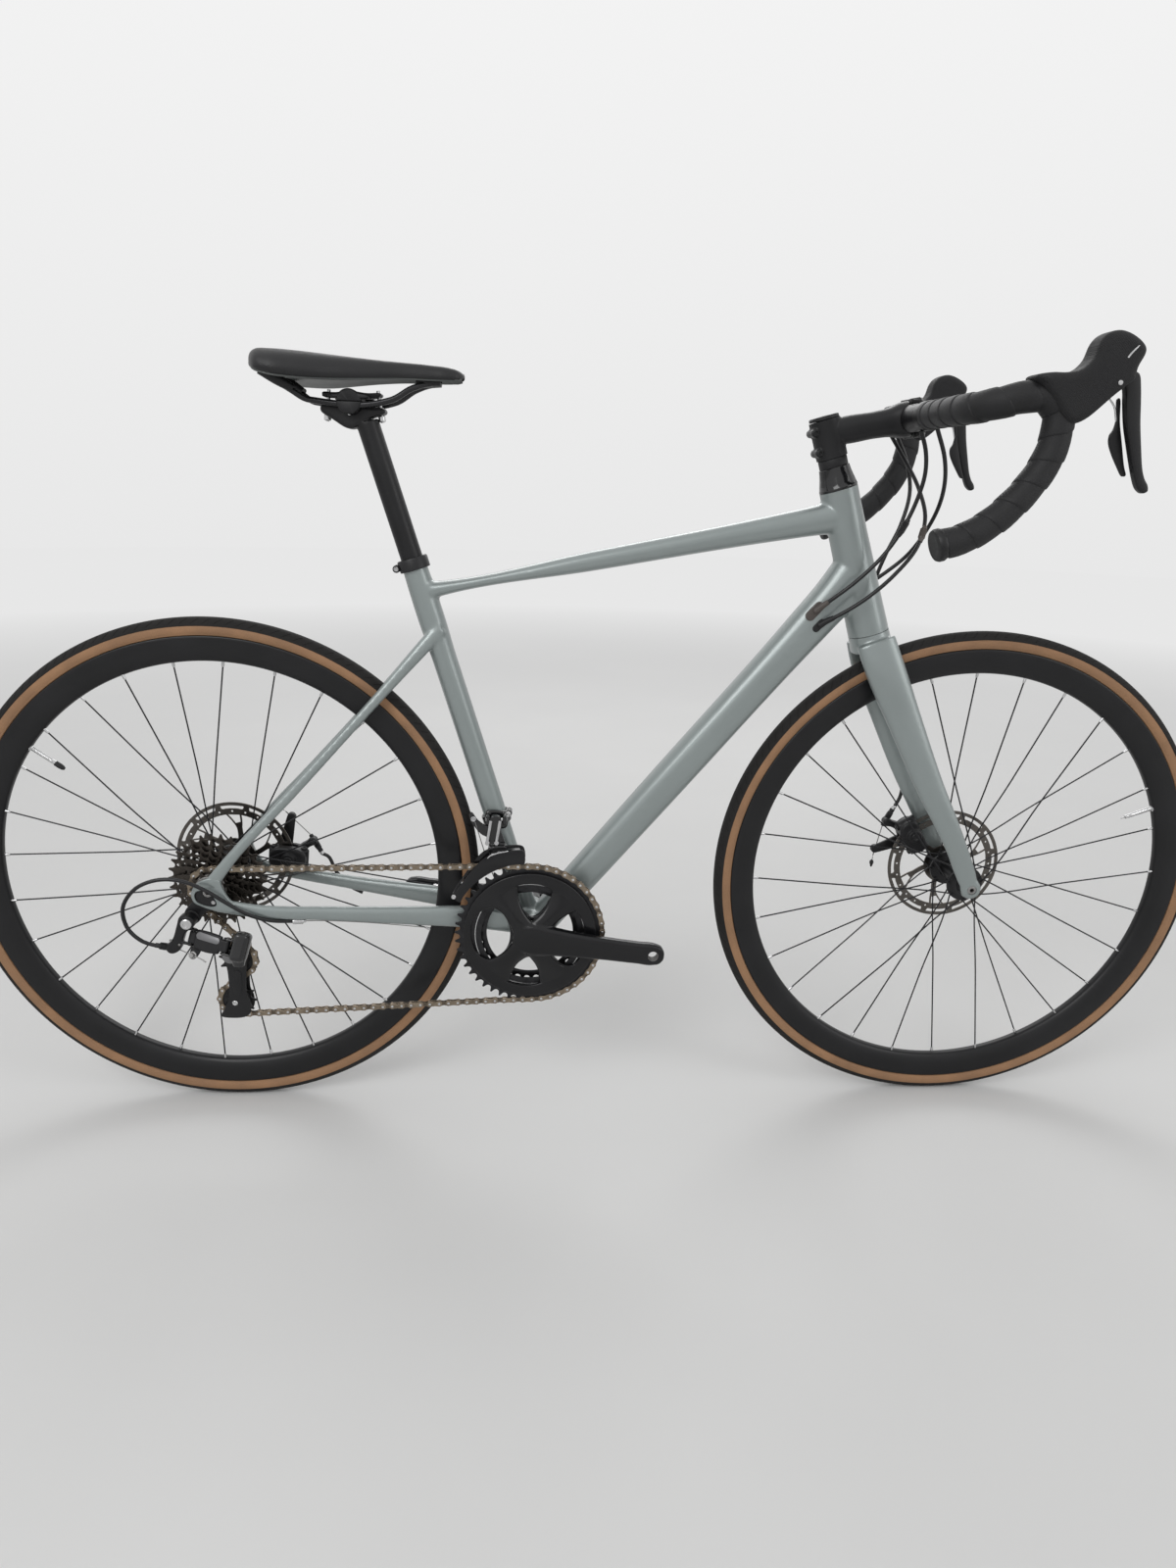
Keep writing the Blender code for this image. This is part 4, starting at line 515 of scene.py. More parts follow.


def look(name, colour, rough, metal=0.0, vary=0.12, wander=0.07, grain=0.00004, size=0.0012, broad=0.05,
         pattern=None, edge_wear_and_highlight=0.0, stretch=None, **extra):
    """A finish whose colour and roughness wander, with fine bumps `grain` deep and `size` wide.

    pattern(tree, coords) gives a height from 0 to 1 and its depth in metres; the edge setting makes
    pointed edges paler, as edge wear and as a painted highlight along them.
    """
    made = bpy.data.materials.new(name)
    made.use_nodes = True
    tree = made.node_tree
    shader = tree.nodes["Principled BSDF"]
    coords = node(tree, "TexCoord").outputs["Object"]
    patches = noise(tree, coords, broad, 5.0)
    fine = noise(tree, coords, size, 2.0, stretch)
    mixed = maths(tree, "ADD", maths(tree, "MULTIPLY", patches, BROAD_SHARE),
                  maths(tree, "MULTIPLY", fine, FINE_SHARE))
    dark = [c * (1 - vary) for c in colour]
    light = [min(1.0, c * (1 + vary)) for c in colour]
    tone = ramp(tree, mixed, (NOISE_LOW, dark), (NOISE_HIGH, light))
    # Paler pointed edges: partly edge wear, partly a painted highlight where edges would catch the light
    if edge_wear_and_highlight:
        rim = node(tree, "NewGeometry").outputs["Pointiness"]
        at_edges = between(tree, rim, 0.0, edge_wear_and_highlight, EDGE_LOW, EDGE_HIGH)
        worn_and_lit = maths(tree, "MULTIPLY", at_edges, between(tree, fine, 0.2, 1.0))
        worn_and_lit_tone = [min(1.0, c * 2.2 + 0.1) for c in colour]
        tone = node(tree, "Mix", data_type="RGBA", in0=worn_and_lit, in6=tone, in7=(*worn_and_lit_tone, 1)).outputs[2]
    tree.links.new(tone, shader.inputs["Base Color"])
    shader.inputs["Metallic"].default_value = metal
    least, most = max(0.03, rough - wander), min(1.0, rough + wander)
    tree.links.new(between(tree, mixed, least, most, NOISE_LOW, NOISE_HIGH), shader.inputs["Roughness"])
    bump = node(tree, "Bump", Height=fine, Distance=grain, Strength=1.0)
    if pattern:
        height, depth = pattern(tree, coords)
        bump = node(tree, "Bump", Height=height, Distance=depth, Strength=1.0, Normal=bump.outputs[0])
    tree.links.new(bump.outputs[0], shader.inputs["Normal"])
    for key, value in extra.items():
        shader.inputs[key.replace("_", " ")].default_value = value
    LOOKS[name] = made
    return made


def leather(tree, coords):
    """Small rounded cells with creases between them."""
    cell, depth = 0.0014, 0.00012
    cells = node(tree, "TexVoronoi", Vector=coords, Scale=1 / cell, feature="F1").outputs["Distance"]
    return between(tree, cells, 1.0, 0.0, 0.1, 0.7), depth


def rubber_grid(tree, coords):
    """Raised diamonds on grips."""
    waves_a_metre, depth = 1250.0, 0.00018
    split = node(tree, "SeparateXYZ", Vector=coords).outputs
    waves = []
    for sign in (1.0, -1.0):
        line = maths(tree, "ADD", split[0], maths(tree, "MULTIPLY", split[2], sign))
        wave = maths(tree, "SINE", maths(tree, "MULTIPLY", line, waves_a_metre))
        waves.append(maths(tree, "ABSOLUTE", wave))
    return between(tree, maths(tree, "MULTIPLY", *waves), 0.0, 1.0, 0.05, 0.45), depth


def casing(centre):
    """Slanting threads of a tyre's side."""
    waves_along, waves_out, depth = 3600.0, 5200.0, 0.00005

    def pattern(tree, coords):
        split = node(tree, "SeparateXYZ", Vector=polar(tree, coords, centre)).outputs
        line = maths(tree, "ADD", maths(tree, "MULTIPLY", split[0], waves_along),
                     maths(tree, "MULTIPLY", split[1], waves_out))
        return maths(tree, "SINE", line), depth

    return pattern


def turned(centre):
    """Fine rings left by a lathe."""
    lines, depth = 9000.0, 0.00001

    def pattern(tree, coords):
        split = node(tree, "SeparateXYZ", Vector=polar(tree, coords, centre)).outputs
        ring = maths(tree, "SINE", maths(tree, "MULTIPLY", split[1], lines))
        return maths(tree, "MULTIPLY", ring, noise(tree, coords, 0.004)), depth

    return pattern


look("frame_paint", (0.266, 0.3, 0.297), 0.34, 0.38, vary=0.045, wander=0.04, size=0.0005, grain=0.000006,
     broad=0.2, Coat_Weight=0.45, Coat_Roughness=0.16)
look("gloss_black", (0.006, 0.006, 0.007), 0.14, vary=0.3, wander=0.03, grain=0.000004, edge_wear_and_highlight=0.12,
     Coat_Weight=0.4, Coat_Roughness=0.08, Specular_IOR_Level=0.4)
look("crank_black", (0.007, 0.007, 0.008), 0.2, 0.15, vary=0.25, wander=0.05, grain=0.000006, edge_wear_and_highlight=0.25,
     Coat_Weight=0.2, Coat_Roughness=0.1, Specular_IOR_Level=0.3)
look("satin_black", (0.009, 0.009, 0.01), 0.4, 0.1, vary=0.25, grain=0.000012, size=0.0006, edge_wear_and_highlight=0.2,
     Specular_IOR_Level=0.35)
look("bar_tape", (0.01, 0.01, 0.011), 0.58, vary=0.35, wander=0.1, grain=0.00005, size=0.0008, broad=0.03,
     pattern=leather, Specular_IOR_Level=0.35, Sheen_Weight=0.03)
look("tape_band", (0.009, 0.009, 0.01), 0.42, vary=0.2, grain=0.00003, size=0.003, Specular_IOR_Level=0.35)
look("hood_rubber", (0.01, 0.01, 0.011), 0.66, vary=0.25, wander=0.08, grain=0.00003, size=0.0007,
     pattern=rubber_grid, Sheen_Weight=0.03, Specular_IOR_Level=0.3)
look("tread", (0.017, 0.016, 0.0155), 0.82, vary=0.35, Specular_IOR_Level=0.25, wander=0.08, grain=0.0001,
     size=0.001, broad=0.06)
for where, centre in (("front", FRONT), ("rear", REAR)):
    look("casing_" + where, (0.3, 0.165, 0.085), 0.68, vary=0.18, wander=0.08, grain=0.00004, broad=0.04,
         pattern=casing(centre))
    look("rotor_" + where, (0.125, 0.115, 0.105), 0.36, 1.0, vary=0.16, wander=0.08, broad=0.02,
         pattern=turned(centre), grain=0.000006, Anisotropic=0.4)
look("rim", (0.008, 0.008, 0.009), 0.36, 0.1, Specular_IOR_Level=0.35, vary=0.25, grain=0.00001,
     size=0.0007, broad=0.08)
look("spoke", (0.014, 0.014, 0.016), 0.34, 0.5, vary=0.3, grain=0.000008, size=0.0008)
look("silver", (0.56, 0.56, 0.565), 0.24, 1.0, vary=0.1, grain=0.000006, size=0.0006, broad=0.01)
look("dull_steel", (0.3, 0.295, 0.29), 0.42, 1.0, vary=0.15, grain=0.00001, size=0.0007, broad=0.012)
look("chain_plate", (0.25, 0.205, 0.155), 0.36, 1.0, vary=0.24, wander=0.12, grain=0.00001, size=0.0009,
     broad=0.008)
look("chain_inner", (0.14, 0.115, 0.09), 0.4, 1.0, vary=0.25, wander=0.12, grain=0.00001, size=0.0009,
     broad=0.008)
look("cassette", (0.06, 0.053, 0.047), 0.4, 1.0, vary=0.25, wander=0.12, grain=0.00001, size=0.0008,
     broad=0.01)
look("teeth", (0.03, 0.03, 0.032), 0.36, 0.8, vary=0.3, wander=0.1, grain=0.00001, broad=0.01)
look("saddle", (0.01, 0.01, 0.011), 0.46, Specular_IOR_Level=0.35, vary=0.25, wander=0.06, grain=0.00002,
     size=0.0006, broad=0.05, pattern=leather, Coat_Weight=0.1, Coat_Roughness=0.35)
look("housing", (0.008, 0.008, 0.009), 0.32, Specular_IOR_Level=0.4, vary=0.25, grain=0.00001, broad=0.02)
look("plastic", (0.011, 0.011, 0.012), 0.48, Specular_IOR_Level=0.35, vary=0.2, grain=0.00003, size=0.0006)
look("brown_plastic", (0.075, 0.062, 0.055), 0.45, vary=0.2, grain=0.00003, size=0.0008)
look("grey_knuckle", (0.2, 0.2, 0.205), 0.38, 0.6, vary=0.12, grain=0.00001, size=0.0006)
look("saddle_shell", (0.06, 0.066, 0.064), 0.42, vary=0.15, grain=0.00002, size=0.001)
look("rail_black", (0.03, 0.03, 0.032), 0.22, 0.6, vary=0.2, grain=0.000006, size=0.0006, edge_wear_and_highlight=0.4)
look("chrome", (0.5, 0.5, 0.51), 0.14, 1.0, vary=0.08, wander=0.04, grain=0.000005, size=0.0008,
     broad=0.01)

# Stage: camera, floor, light


def make_camera():
    """A camera where the photograph was taken from, as fitted to the outlines of both tyres."""
    place = Vector((-0.0924, -1.249, 0.8462))
    yaw, pitch, roll = -0.0611, -0.2954, 0.0269
    focal_pixels, photo_pixels, sensor = 1002.73, 1600, 36
    ahead = Vector((-math.sin(yaw) * math.cos(pitch), math.cos(yaw) * math.cos(pitch), math.sin(pitch)))
    right = Vector((math.cos(yaw), math.sin(yaw), 0))
    up = right.cross(ahead)
    c, s = math.cos(roll), math.sin(roll)
    turned_axes = Matrix((right * c + up * s, up * c - right * s, -ahead)).transposed().to_4x4()
    turned_axes.translation = place
    data = bpy.data.cameras.new("camera")
    data.sensor_fit = "VERTICAL"
    data.sensor_height = sensor
    data.lens = focal_pixels / photo_pixels * sensor
    camera = bpy.data.objects.new("camera", data)
    camera.matrix_world = turned_axes
    bpy.context.scene.collection.objects.link(camera)
    bpy.context.scene.camera = camera


def lamp(name, place, aim, size, power):
    """A soft rectangular light that points at a place."""
    data = bpy.data.lights.new(name, "AREA")
    data.shape = "RECTANGLE"
    data.size, data.size_y = size
    data.energy = power
    made = bpy.data.objects.new(name, data)
    made.location = place
    made.rotation_euler = (Vector(aim) - Vector(place)).to_track_quat("-Z", "Y").to_euler()
    bpy.context.scene.collection.objects.link(made)


def make_world():
    """A pale sky for what the camera sees and for reflections, with a weaker even light on the bike."""
    world = bpy.data.worlds.new("world")
    bpy.context.scene.world = world
    world.use_nodes = True
    tree = world.node_tree
    path = node(tree, "LightPath").outputs
    seen = maths(tree, "MAXIMUM", maths(tree, "MAXIMUM", path["Is Camera Ray"], path["Is Glossy Ray"]),
                 path["Is Transmission Ray"])
    height = node(tree, "SeparateXYZ", Vector=node(tree, "TexCoord").outputs["Generated"]).outputs[2]
    sky = ramp(tree, between(tree, height, 0.0, 1.0, -0.1, 0.9), (0.0, (0.8, 0.8, 0.8)),
               (1.0, (1.0, 1.0, 1.0)))
    lit = node(tree, "Background", Color=(1, 1, 1, 1), Strength=0.5)
    shown = node(tree, "Background", Color=sky, Strength=1.0)
    mixed = node(tree, "MixShader", in0=seen, in1=lit.outputs[0], in2=shown.outputs[0])
    tree.links.new(mixed.outputs[0], tree.nodes["World Output"].inputs["Surface"])


def make_floor():
    """A pale round floor that fades into the sky."""
    width, corners = 24, 96
    floor = mesh_object("floor", Skin((section(Vector((0, 0, 0)), X, Y, width, width, corners),
                                       [tuple(range(corners))])))
    made = bpy.data.materials.new("floor")
    made.use_nodes = True
    tree = made.node_tree
    shader = tree.nodes["Principled BSDF"]
    coords = node(tree, "TexCoord").outputs["Object"]
    cloudy = noise(tree, coords, 0.6, 4.0)
    tree.links.new(ramp(tree, cloudy, (0.3, (0.745, 0.745, 0.74)), (0.7, (0.775, 0.775, 0.77))),
                   shader.inputs["Base Color"])
    shader.inputs["Roughness"].default_value = 0.75
    far = node(tree, "VectorMath", operation="LENGTH", in0=coords).outputs["Value"]
    fade = maths(tree, "MULTIPLY", between(tree, far, 0.0, 1.0, 1.6, 6.0),
                 node(tree, "LightPath").outputs["Is Camera Ray"])
    glow = node(tree, "Emission", Color=(0.8, 0.8, 0.8, 1), Strength=1.0)
    mixed = node(tree, "MixShader", in0=fade, in1=shader.outputs[0], in2=glow.outputs[0])
    tree.links.new(mixed.outputs[0], tree.nodes["Material Output"].inputs["Surface"])
    floor.data.materials.append(made)
    floor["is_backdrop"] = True


bpy.context.scene.view_settings.view_transform = "Standard"
make_camera()
make_world()
lamp("key", (-1.6, -2.4, 2.6), (0, 0, 0.45), (1.8, 1.8), 42)
lamp("side", (2.6, -1.6, 1.8), (0, 0, 0.5), (1.2, 2.2), 15)
lamp("back", (0.4, 2.6, 2.4), (0, 0, 0.5), (2.4, 1.2), 24)
make_floor()

# Frame and fork


HEAD_BORE, POST_BORE, SHELL_BORE, AXLE_HOLE = 0.0205, 0.0139, 0.0175, 0.0063
SHELL_HALF = 0.034
HEAD_TRIM, POST_TRIM, SHELL_TRIM = 0.06, 0.028, 0.04  # radii of the cuts that end each tube
HANGER_FACE = -0.0752
B_BOLT_PLACE = (-0.0225, -0.0335)
DROPOUT_INNER, DROPOUT_OUTER = 0.071, 0.077
DROPOUT = [(-0.0195, 0.001), (-0.0175, -0.012), (-0.006, -0.019), (0.016, -0.0262), (0.03, -0.0265),
           (0.036, -0.02), (0.025, -0.006), (0.019, 0.008), (0.016, 0.018), (0.002, 0.02), (-0.012, 0.013)]
HANGER = [(-0.0165, -0.003), (-0.0195, -0.012), (-0.0285, -0.022), (-0.0325, -0.032), (-0.03, -0.041),
          (-0.0215, -0.0435), (-0.0135, -0.0395), (-0.007, -0.029), (0.002, -0.0235), (0.01, -0.0215),
          (0.014, -0.015), (0.011, -0.004), (0.004, 0.0055), (-0.008, 0.0075)]
LENS = [(-0.0158, -0.0055), (-0.0145, 0.0012), (-0.0092, 0.0042), (-0.0012, 0.003), (0.0068, -0.0035),
        (0.011, -0.0115), (0.0102, -0.0165), (0.0055, -0.0182), (-0.0035, -0.0166), (-0.0125, -0.0122)]


def tapered(start, end, *stations):
    """Stations of a tube from (share of the way, height, width)."""
    return [(start.lerp(end, share), high, wide) for share, high, wide in stations]


def frame_tubes():
    """The frame's tubes and stays as shells that run into each other."""
    bb, top_of_stay = BB - REAR, on_seat(0.409) - REAR
    top_rear, top_front = on_seat(0.4655), on_steer(HEAD_TOP - 0.0325)
    down_rear, down_front = near(BB, 0.0162, 0), on_steer(FORK_LENGTH + 0.0783)
    top_tube = tapered(top_rear, top_front, (0.0, 0.023, 0.029), (0.05, 0.018, 0.029),
                       (0.4, 0.024, 0.0325), (0.84, 0.0325, 0.037), (0.94, 0.037, 0.0385),
                       (1.0, 0.043, 0.04))
    down_tube = tapered(down_rear, down_front, (0.0, 0.043, 0.041), (0.4, 0.047, 0.043),
                        (0.85, 0.051, 0.044), (0.94, 0.055, 0.045), (1.0, 0.064, 0.045))
    # Each stay's stations: x and z from the rear axle, y, height, width
    chainstay = [
        (bb.x - 0.01, bb.z + 0.006, 0.0215, 0.034, 0.02),
        (bb.x - 0.072, bb.z + 0.015, 0.0258, 0.033, 0.015),
        (bb.x - 0.15, bb.z + 0.0225, 0.0375, 0.027, 0.0155),
        (0.15, -0.037, 0.054, 0.0195, 0.014),
        (0.06, -0.027, 0.07, 0.0185, 0.011),
        (0.01, -0.0165, 0.0745, 0.02, 0.007),
    ]
    seatstay = [
        (0.003, 0.009, 0.0745, 0.019, 0.007),
        (0.03, 0.043, 0.0695, 0.015, 0.01),
        (0.1128, 0.132, 0.05, 0.0135, 0.012),
        (0.224, 0.254, 0.025, 0.014, 0.013),
        (top_of_stay.x - 0.004, top_of_stay.z, 0.0125, 0.018, 0.0145),
        (top_of_stay.x + 0.006, top_of_stay.z + 0.011, 0.0095, 0.018, 0.0145),
    ]
    shells = Skin(
        tube(top_tube, power=2.4),
        tube(down_tube, power=2.6),
        rod(BB, SEAT, 0.0155, 0.004, SEAT_TOP + 0.006, 0, 64),
        tube([(on_seat(0.385), 0.0312, 0.0312), (on_seat(0.43), 0.0335, 0.0335),
              (on_seat(0.472), 0.0325, 0.0325), (on_seat(SEAT_TOP - 0.014), 0.0312, 0.0312)], power=2.0),
        rod(BB, Y, 0.021, -SHELL_HALF - 0.004, SHELL_HALF + 0.004, 0, 64),
        turn([(0, FORK_LENGTH - 0.006), (0.0256, FORK_LENGTH - 0.006), (0.0256, FORK_LENGTH + 0.012),
              (0.025, FORK_LENGTH + 0.035), (0.0237, HEAD_TOP - 0.06), (0.0234, HEAD_TOP - 0.02),
              (0.0237, HEAD_TOP + 0.006), (0, HEAD_TOP + 0.006)], STEER_FOOT, STEER),
    )
    for side, _ in SIDES:
        for path in (chainstay, seatstay):
            stations = [(near(REAR, x, z, side * y), high, wide) for x, z, y, high, wide in path]
            shells.add(tube(stations, 28, 2.4))
    shells.add(pipe([near(REAR, bb.x - 0.07, bb.z + 0.0145, y) for y in (-0.026, 0.026)], 0.0072))
    return shells


def make_frame():
    made = mesh_object("painted_frame", frame_tubes())
    melt(made, 0.0017, 16)
    dropouts = []
    for side, _ in SIDES:
        low, high = low_high(side, DROPOUT_INNER, DROPOUT_OUTER)
        dropouts.append(plate([curved(DROPOUT)], low, high, REAR, 0.0012, 1))
    combine(made, dropouts, "UNION")
    combine(
        made,
        [
            rod(STEER_FOOT, STEER, HEAD_BORE, FORK_LENGTH - 0.02, HEAD_TOP + 0.02, 0),
            rod(STEER_FOOT, STEER, HEAD_TRIM, FORK_LENGTH - 0.06, FORK_LENGTH + GAP, 0),
            rod(STEER_FOOT, STEER, HEAD_TRIM, HEAD_TOP, HEAD_TOP + 0.06, 0),
            rod(BB, SEAT, POST_BORE, SEAT_TOP - 0.235, SEAT_TOP + 0.02, 0),
            rod(BB, SEAT, POST_TRIM, SEAT_TOP, SEAT_TOP + 0.03, 0),
            rod(BB, Y, SHELL_BORE, -0.06, 0.06, 0),
            rod(BB, Y, SHELL_TRIM, -0.07, -SHELL_HALF, 0),
            rod(BB, Y, SHELL_TRIM, SHELL_HALF, 0.07, 0),
            rod(REAR, Y, AXLE_HOLE, HANGER_FACE, 0.1, 0),
            plate([curved(LENS, 4)], -0.079, -0.074, REAR),
            plate([curved(HANGER, 4)], HANGER_FACE, -0.069, REAR),
        ],
        "DIFFERENCE",
    )
    finish(made, "frame", "frame_paint", "frame_paint", "frame", angle=50)


def make_hanger():
    """The dark plate that the derailleur hangs on, a little smaller than its pocket in the frame."""
    outline = curved([(x * 0.985, z * 0.985) for x, z in HANGER], 4)
    skin = Skin(plate([outline, circle(0.0062, 40)], HANGER_FACE + 0.0002, -0.0712, REAR, 0.0004, 1))
    skin.add(rod(near(REAR, *B_BOLT_PLACE), Y, 0.0098, -0.0772, -0.074, 0.0006, 40))
    bolt(skin, near(REAR, 0.0066, -0.0128, HANGER_FACE + 0.0002), -Y, 0.0027, 0.0008, 1)
    piece("hanger", skin, "frame", "satin_black silver", "black_metal", "frame", angle=30)


def make_fork():
    crown = [
        (on_steer(FORK_LENGTH + 0.004), 0.0505, 0.0505),
        (on_steer(FORK_LENGTH - 0.012), 0.0515, 0.0545),
        (on_steer(FORK_LENGTH - 0.0215), 0.0525, 0.061),
    ]
    blade_y, boss_radius, steerer_hole = 0.0552, 0.0125, 0.013
    # A blade's stations: distance ahead of the steering axis and along it, y, chord, width
    blade = [
        (0.001, 0.358, 0.0225, 0.05, 0.02),
        (0.0025, 0.328, 0.029, 0.051, 0.0215),
        (0.012, 0.25, 0.0375, 0.044, 0.0185),
        (0.024, 0.16, 0.046, 0.0365, 0.016),
        (0.04, 0.07, 0.054, 0.029, 0.011),
        (0.0475, 0.01, blade_y, 0.025, 0.008),
        (0.05, -0.0105, blade_y, 0.018, 0.008),
        (0.0505, -0.013, blade_y, 0.009, 0.005),
    ]
    shells = Skin(tube(crown, 48))
    for side, _ in SIDES:
        stations = []
        for ahead, along, y, chord, wide in blade:
            stations.append((on_steer(along, ahead, side * y), chord, wide))
        shells.add(tube(stations, 36))
        shells.add(rod(FRONT, Y, boss_radius, side * blade_y - 0.004, side * blade_y + 0.004, 0.001))
    cuts = [
        rod(FRONT, Y, AXLE_HOLE, -0.1, 0.1, 0),
        rod(STEER_FOOT, STEER, HEAD_TRIM, FORK_LENGTH - GAP, FORK_LENGTH + 0.05, 0),
        rod(STEER_FOOT, STEER, steerer_hole, FORK_LENGTH - 0.05, FORK_LENGTH + 0.05, 0),
    ]
    melted_piece("painted_fork", shells, 0.0015, 14, cuts, "steering", "frame_paint", "frame_paint",
                 "fork", angle=50)
    steerer = [(0.0118, FORK_LENGTH - 0.03), (0.0129, FORK_LENGTH - 0.03), (0.0129, FORK_LENGTH - 0.001),
               (0.0174, FORK_LENGTH + 0.0005), (0.0174, FORK_LENGTH + 0.012),
               (0.0142, FORK_LENGTH + 0.045), (0.0142, STEM_TOP - 0.004), (0.0118, STEM_TOP - 0.004)]
    piece("steerer", turn(steerer, STEER_FOOT, STEER), "steering", "satin_black", "black_metal")


make_frame()
make_hanger()
make_fork()

# Wheels


RIM_INNER, ROTOR_RADIUS, SPOKES_A_SIDE = 0.2837, 0.08, 14
# The circle that a tyre's tube is bent round, its grooves, and the angle in degrees where its tread ends
TUBE_MIDDLE, GROOVES, GROOVE_DEPTH, TREAD_EDGE = 0.325, 150, 0.0007, 73.6


def make_tyre(where, centre):
    """A round tyre with shallow slanting grooves at the tread's shoulders and thread-faced sides."""
    # Half of the tube's section: the angle from its top in degrees and the radius there
    half = [(0, 0.0139), (9, 0.014), (18, 0.014), (24, 0.014), (29, 0.014), (36, 0.014), (44, 0.014),
            (52, 0.014), (58, 0.014), (64, 0.014), (69, 0.01395), (72.5, 0.0138), (73.5, 0.0134),
            (80, 0.0134), (88, 0.01345), (97, 0.01345), (106, 0.0134), (114, 0.0133), (120, 0.0131),
            (124, 0.0133), (128, 0.0127), (136, 0.0122)]
    outer = [(-a, r) for a, r in reversed(half[1:])] + half
    inner = [(a, 0.0112) for a in (132, 110, 80, 40, 0, -40, -80, -110, -132)]
    rows = outer + inner
    kinds = []
    for i, (angle, radius) in enumerate(rows):
        following = rows[(i + 1) % len(rows)]
        on_tread = max(abs(angle), abs(following[0])) < TREAD_EDGE
        kinds.append(0 if i >= len(outer) - 1 or on_tread else 1)
    groove_start, groove_end, lean_start, lean_range, lean_by = 28, 59, 20, 45, 0.75
    # Along one groove's share of the circle: how deep it is there
    marks = ((0.0, 0.0), (0.07, 1.0), (0.14, 1.0), (0.21, 0.0), (0.6, 0.0))
    rings = []
    for period in range(GROOVES):
        for share, deep in marks:
            ring = []
            for i, (angle, radius) in enumerate(rows):
                lean = min(max((abs(angle) - lean_start) / lean_range, 0), 1)
                other_side = 0.5 if angle < 0 else 0
                round_angle = 2 * math.pi * (period + share + lean_by * lean + other_side) / GROOVES
                if i < len(outer) and groove_start < abs(angle) < groove_end:
                    radius -= GROOVE_DEPTH * deep
                tilt = math.radians(angle)
                ring.append(near(centre, *spot(TUBE_MIDDLE + radius * math.cos(tilt), round_angle),
                                 radius * math.sin(tilt)))
            rings.append(ring)
    skin = Skin()
    skin.add(grid(rings, joined=True), kinds * len(rings))
    piece("rubber_" + where, skin, where + "_wheel", f"tread casing_{where}", "tyre", "tyre_" + where,
          angle=30)


def make_valve(where, centre, angle, tip, cap):
    """A threaded valve stem that stands inwards from the rim, with its head or with a cap."""
    out = -Vector((math.cos(angle), 0, math.sin(angle)))
    start = centre - out * (RIM_INNER + 0.0018)
    stem = [(0, 0), (0.0048, 0), (0.0048, 0.0016), (0.0031, 0.002)]
    for i in range(14):
        stem += [(0.0031, 0.0026 + 0.0021 * i), (0.0027, 0.0036 + 0.0021 * i)]
    stem = [(r, h) for r, h in stem if h < tip - 0.01]
    stem += [(0.003, tip - 0.01), (0.0026, tip - 0.0095), (0.0026, tip - 0.0055), (0.001, tip - 0.0045),
             (0.001, tip), (0, tip)]
    skin = Skin(turn(stem, start, out, 24))
    if cap:
        lid = [(0, tip - 0.0125), (0.0034, tip - 0.0125), (0.0036, tip - 0.006), (0.003, tip - 0.0015),
               (0.0016, tip + 0.0008), (0, tip + 0.0008)]
        skin.add(turn(lid, start, out, 24), 1)
    piece("valve_" + where, skin, where + "_wheel", "silver plastic", "steel", angle=40)


def make_rim(where, centre):
    side = [(RIM_INNER, 0.0), (0.28385, 0.0024), (0.2844, 0.0044), (0.2858, 0.0062), (0.2885, 0.008),
            (0.2925, 0.0096), (0.2968, 0.0108), (0.302, 0.01145), (0.3075, 0.0115), (0.313, 0.0115),
            (0.315, 0.0114), (0.316, 0.0111), (0.3165, 0.0105), (0.3163, 0.0097), (0.315, 0.0094),
            (0.3125, 0.0094), (0.3108, 0.009), (0.3096, 0.0078), (0.3093, 0.0058), (0.3082, 0.0042),
            (0.308, 0.0)]
    profile = side + [(radius, -y) for radius, y in reversed(side[1:-1])]
    piece("hoop_" + where, turn(profile, centre, Y, 200), where + "_wheel", "rim", "black_metal",
          "rim_" + where, angle=40)


def make_spokes(where, centre, flanges, first):
    """Spokes laced over two crossings, each with its bend and head at the flange and its nipple."""
    nipples = Skin()
    hole_radius, foot_radius, fan = 0.022, RIM_INNER + GAP, 0.1
    step = 2 * math.pi / SPOKES_A_SIDE
    for tag, flange, rim_y, spin in (("right", flanges[0], -0.0022, first),
                                     ("left", flanges[1], 0.0022, first + step / 2)):
        outward = math.copysign(1, flange)
        skin = Skin()
        for i in range(SPOKES_A_SIDE):
            lean = 1 if i % 2 == 0 else -1
            hole = near(centre, *spot(hole_radius, spin + i * step + lean * fan), flange)
            foot = near(centre, *spot(foot_radius, spin + i * step + lean * 2 * step), rim_y)
            face = Y * (outward * lean)
            ahead = (foot - hole).normalized()
            points = [hole - face * 0.003, hole + face * 0.0012, hole + face * 0.0024 + ahead * 0.0008,
                      hole + face * 0.0029 + ahead * 0.003, hole.lerp(foot, 0.5) + face * 0.0012, foot]
            skin.add(pipe(points, 0.001, 8, 0.02))
            head = [(0, -0.0036), (0.0019, -0.0033), (0.0019, -0.0028), (0, -0.0022)]
            skin.add(turn(head, hole, face, 12))
            nut = [(0, -0.0065), (0.0013, -0.0065), (0.0019, -0.0045), (0.0019, 0.001), (0, 0.001)]
            nipples.add(turn(nut, foot, ahead, 12))
        piece(f"laced_{where}_{tag}", skin, where + "_wheel", "spoke", "spoke", f"spokes_{where}_{tag}")
    piece("nipples_" + where, nipples, where + "_wheel", "silver", "steel")


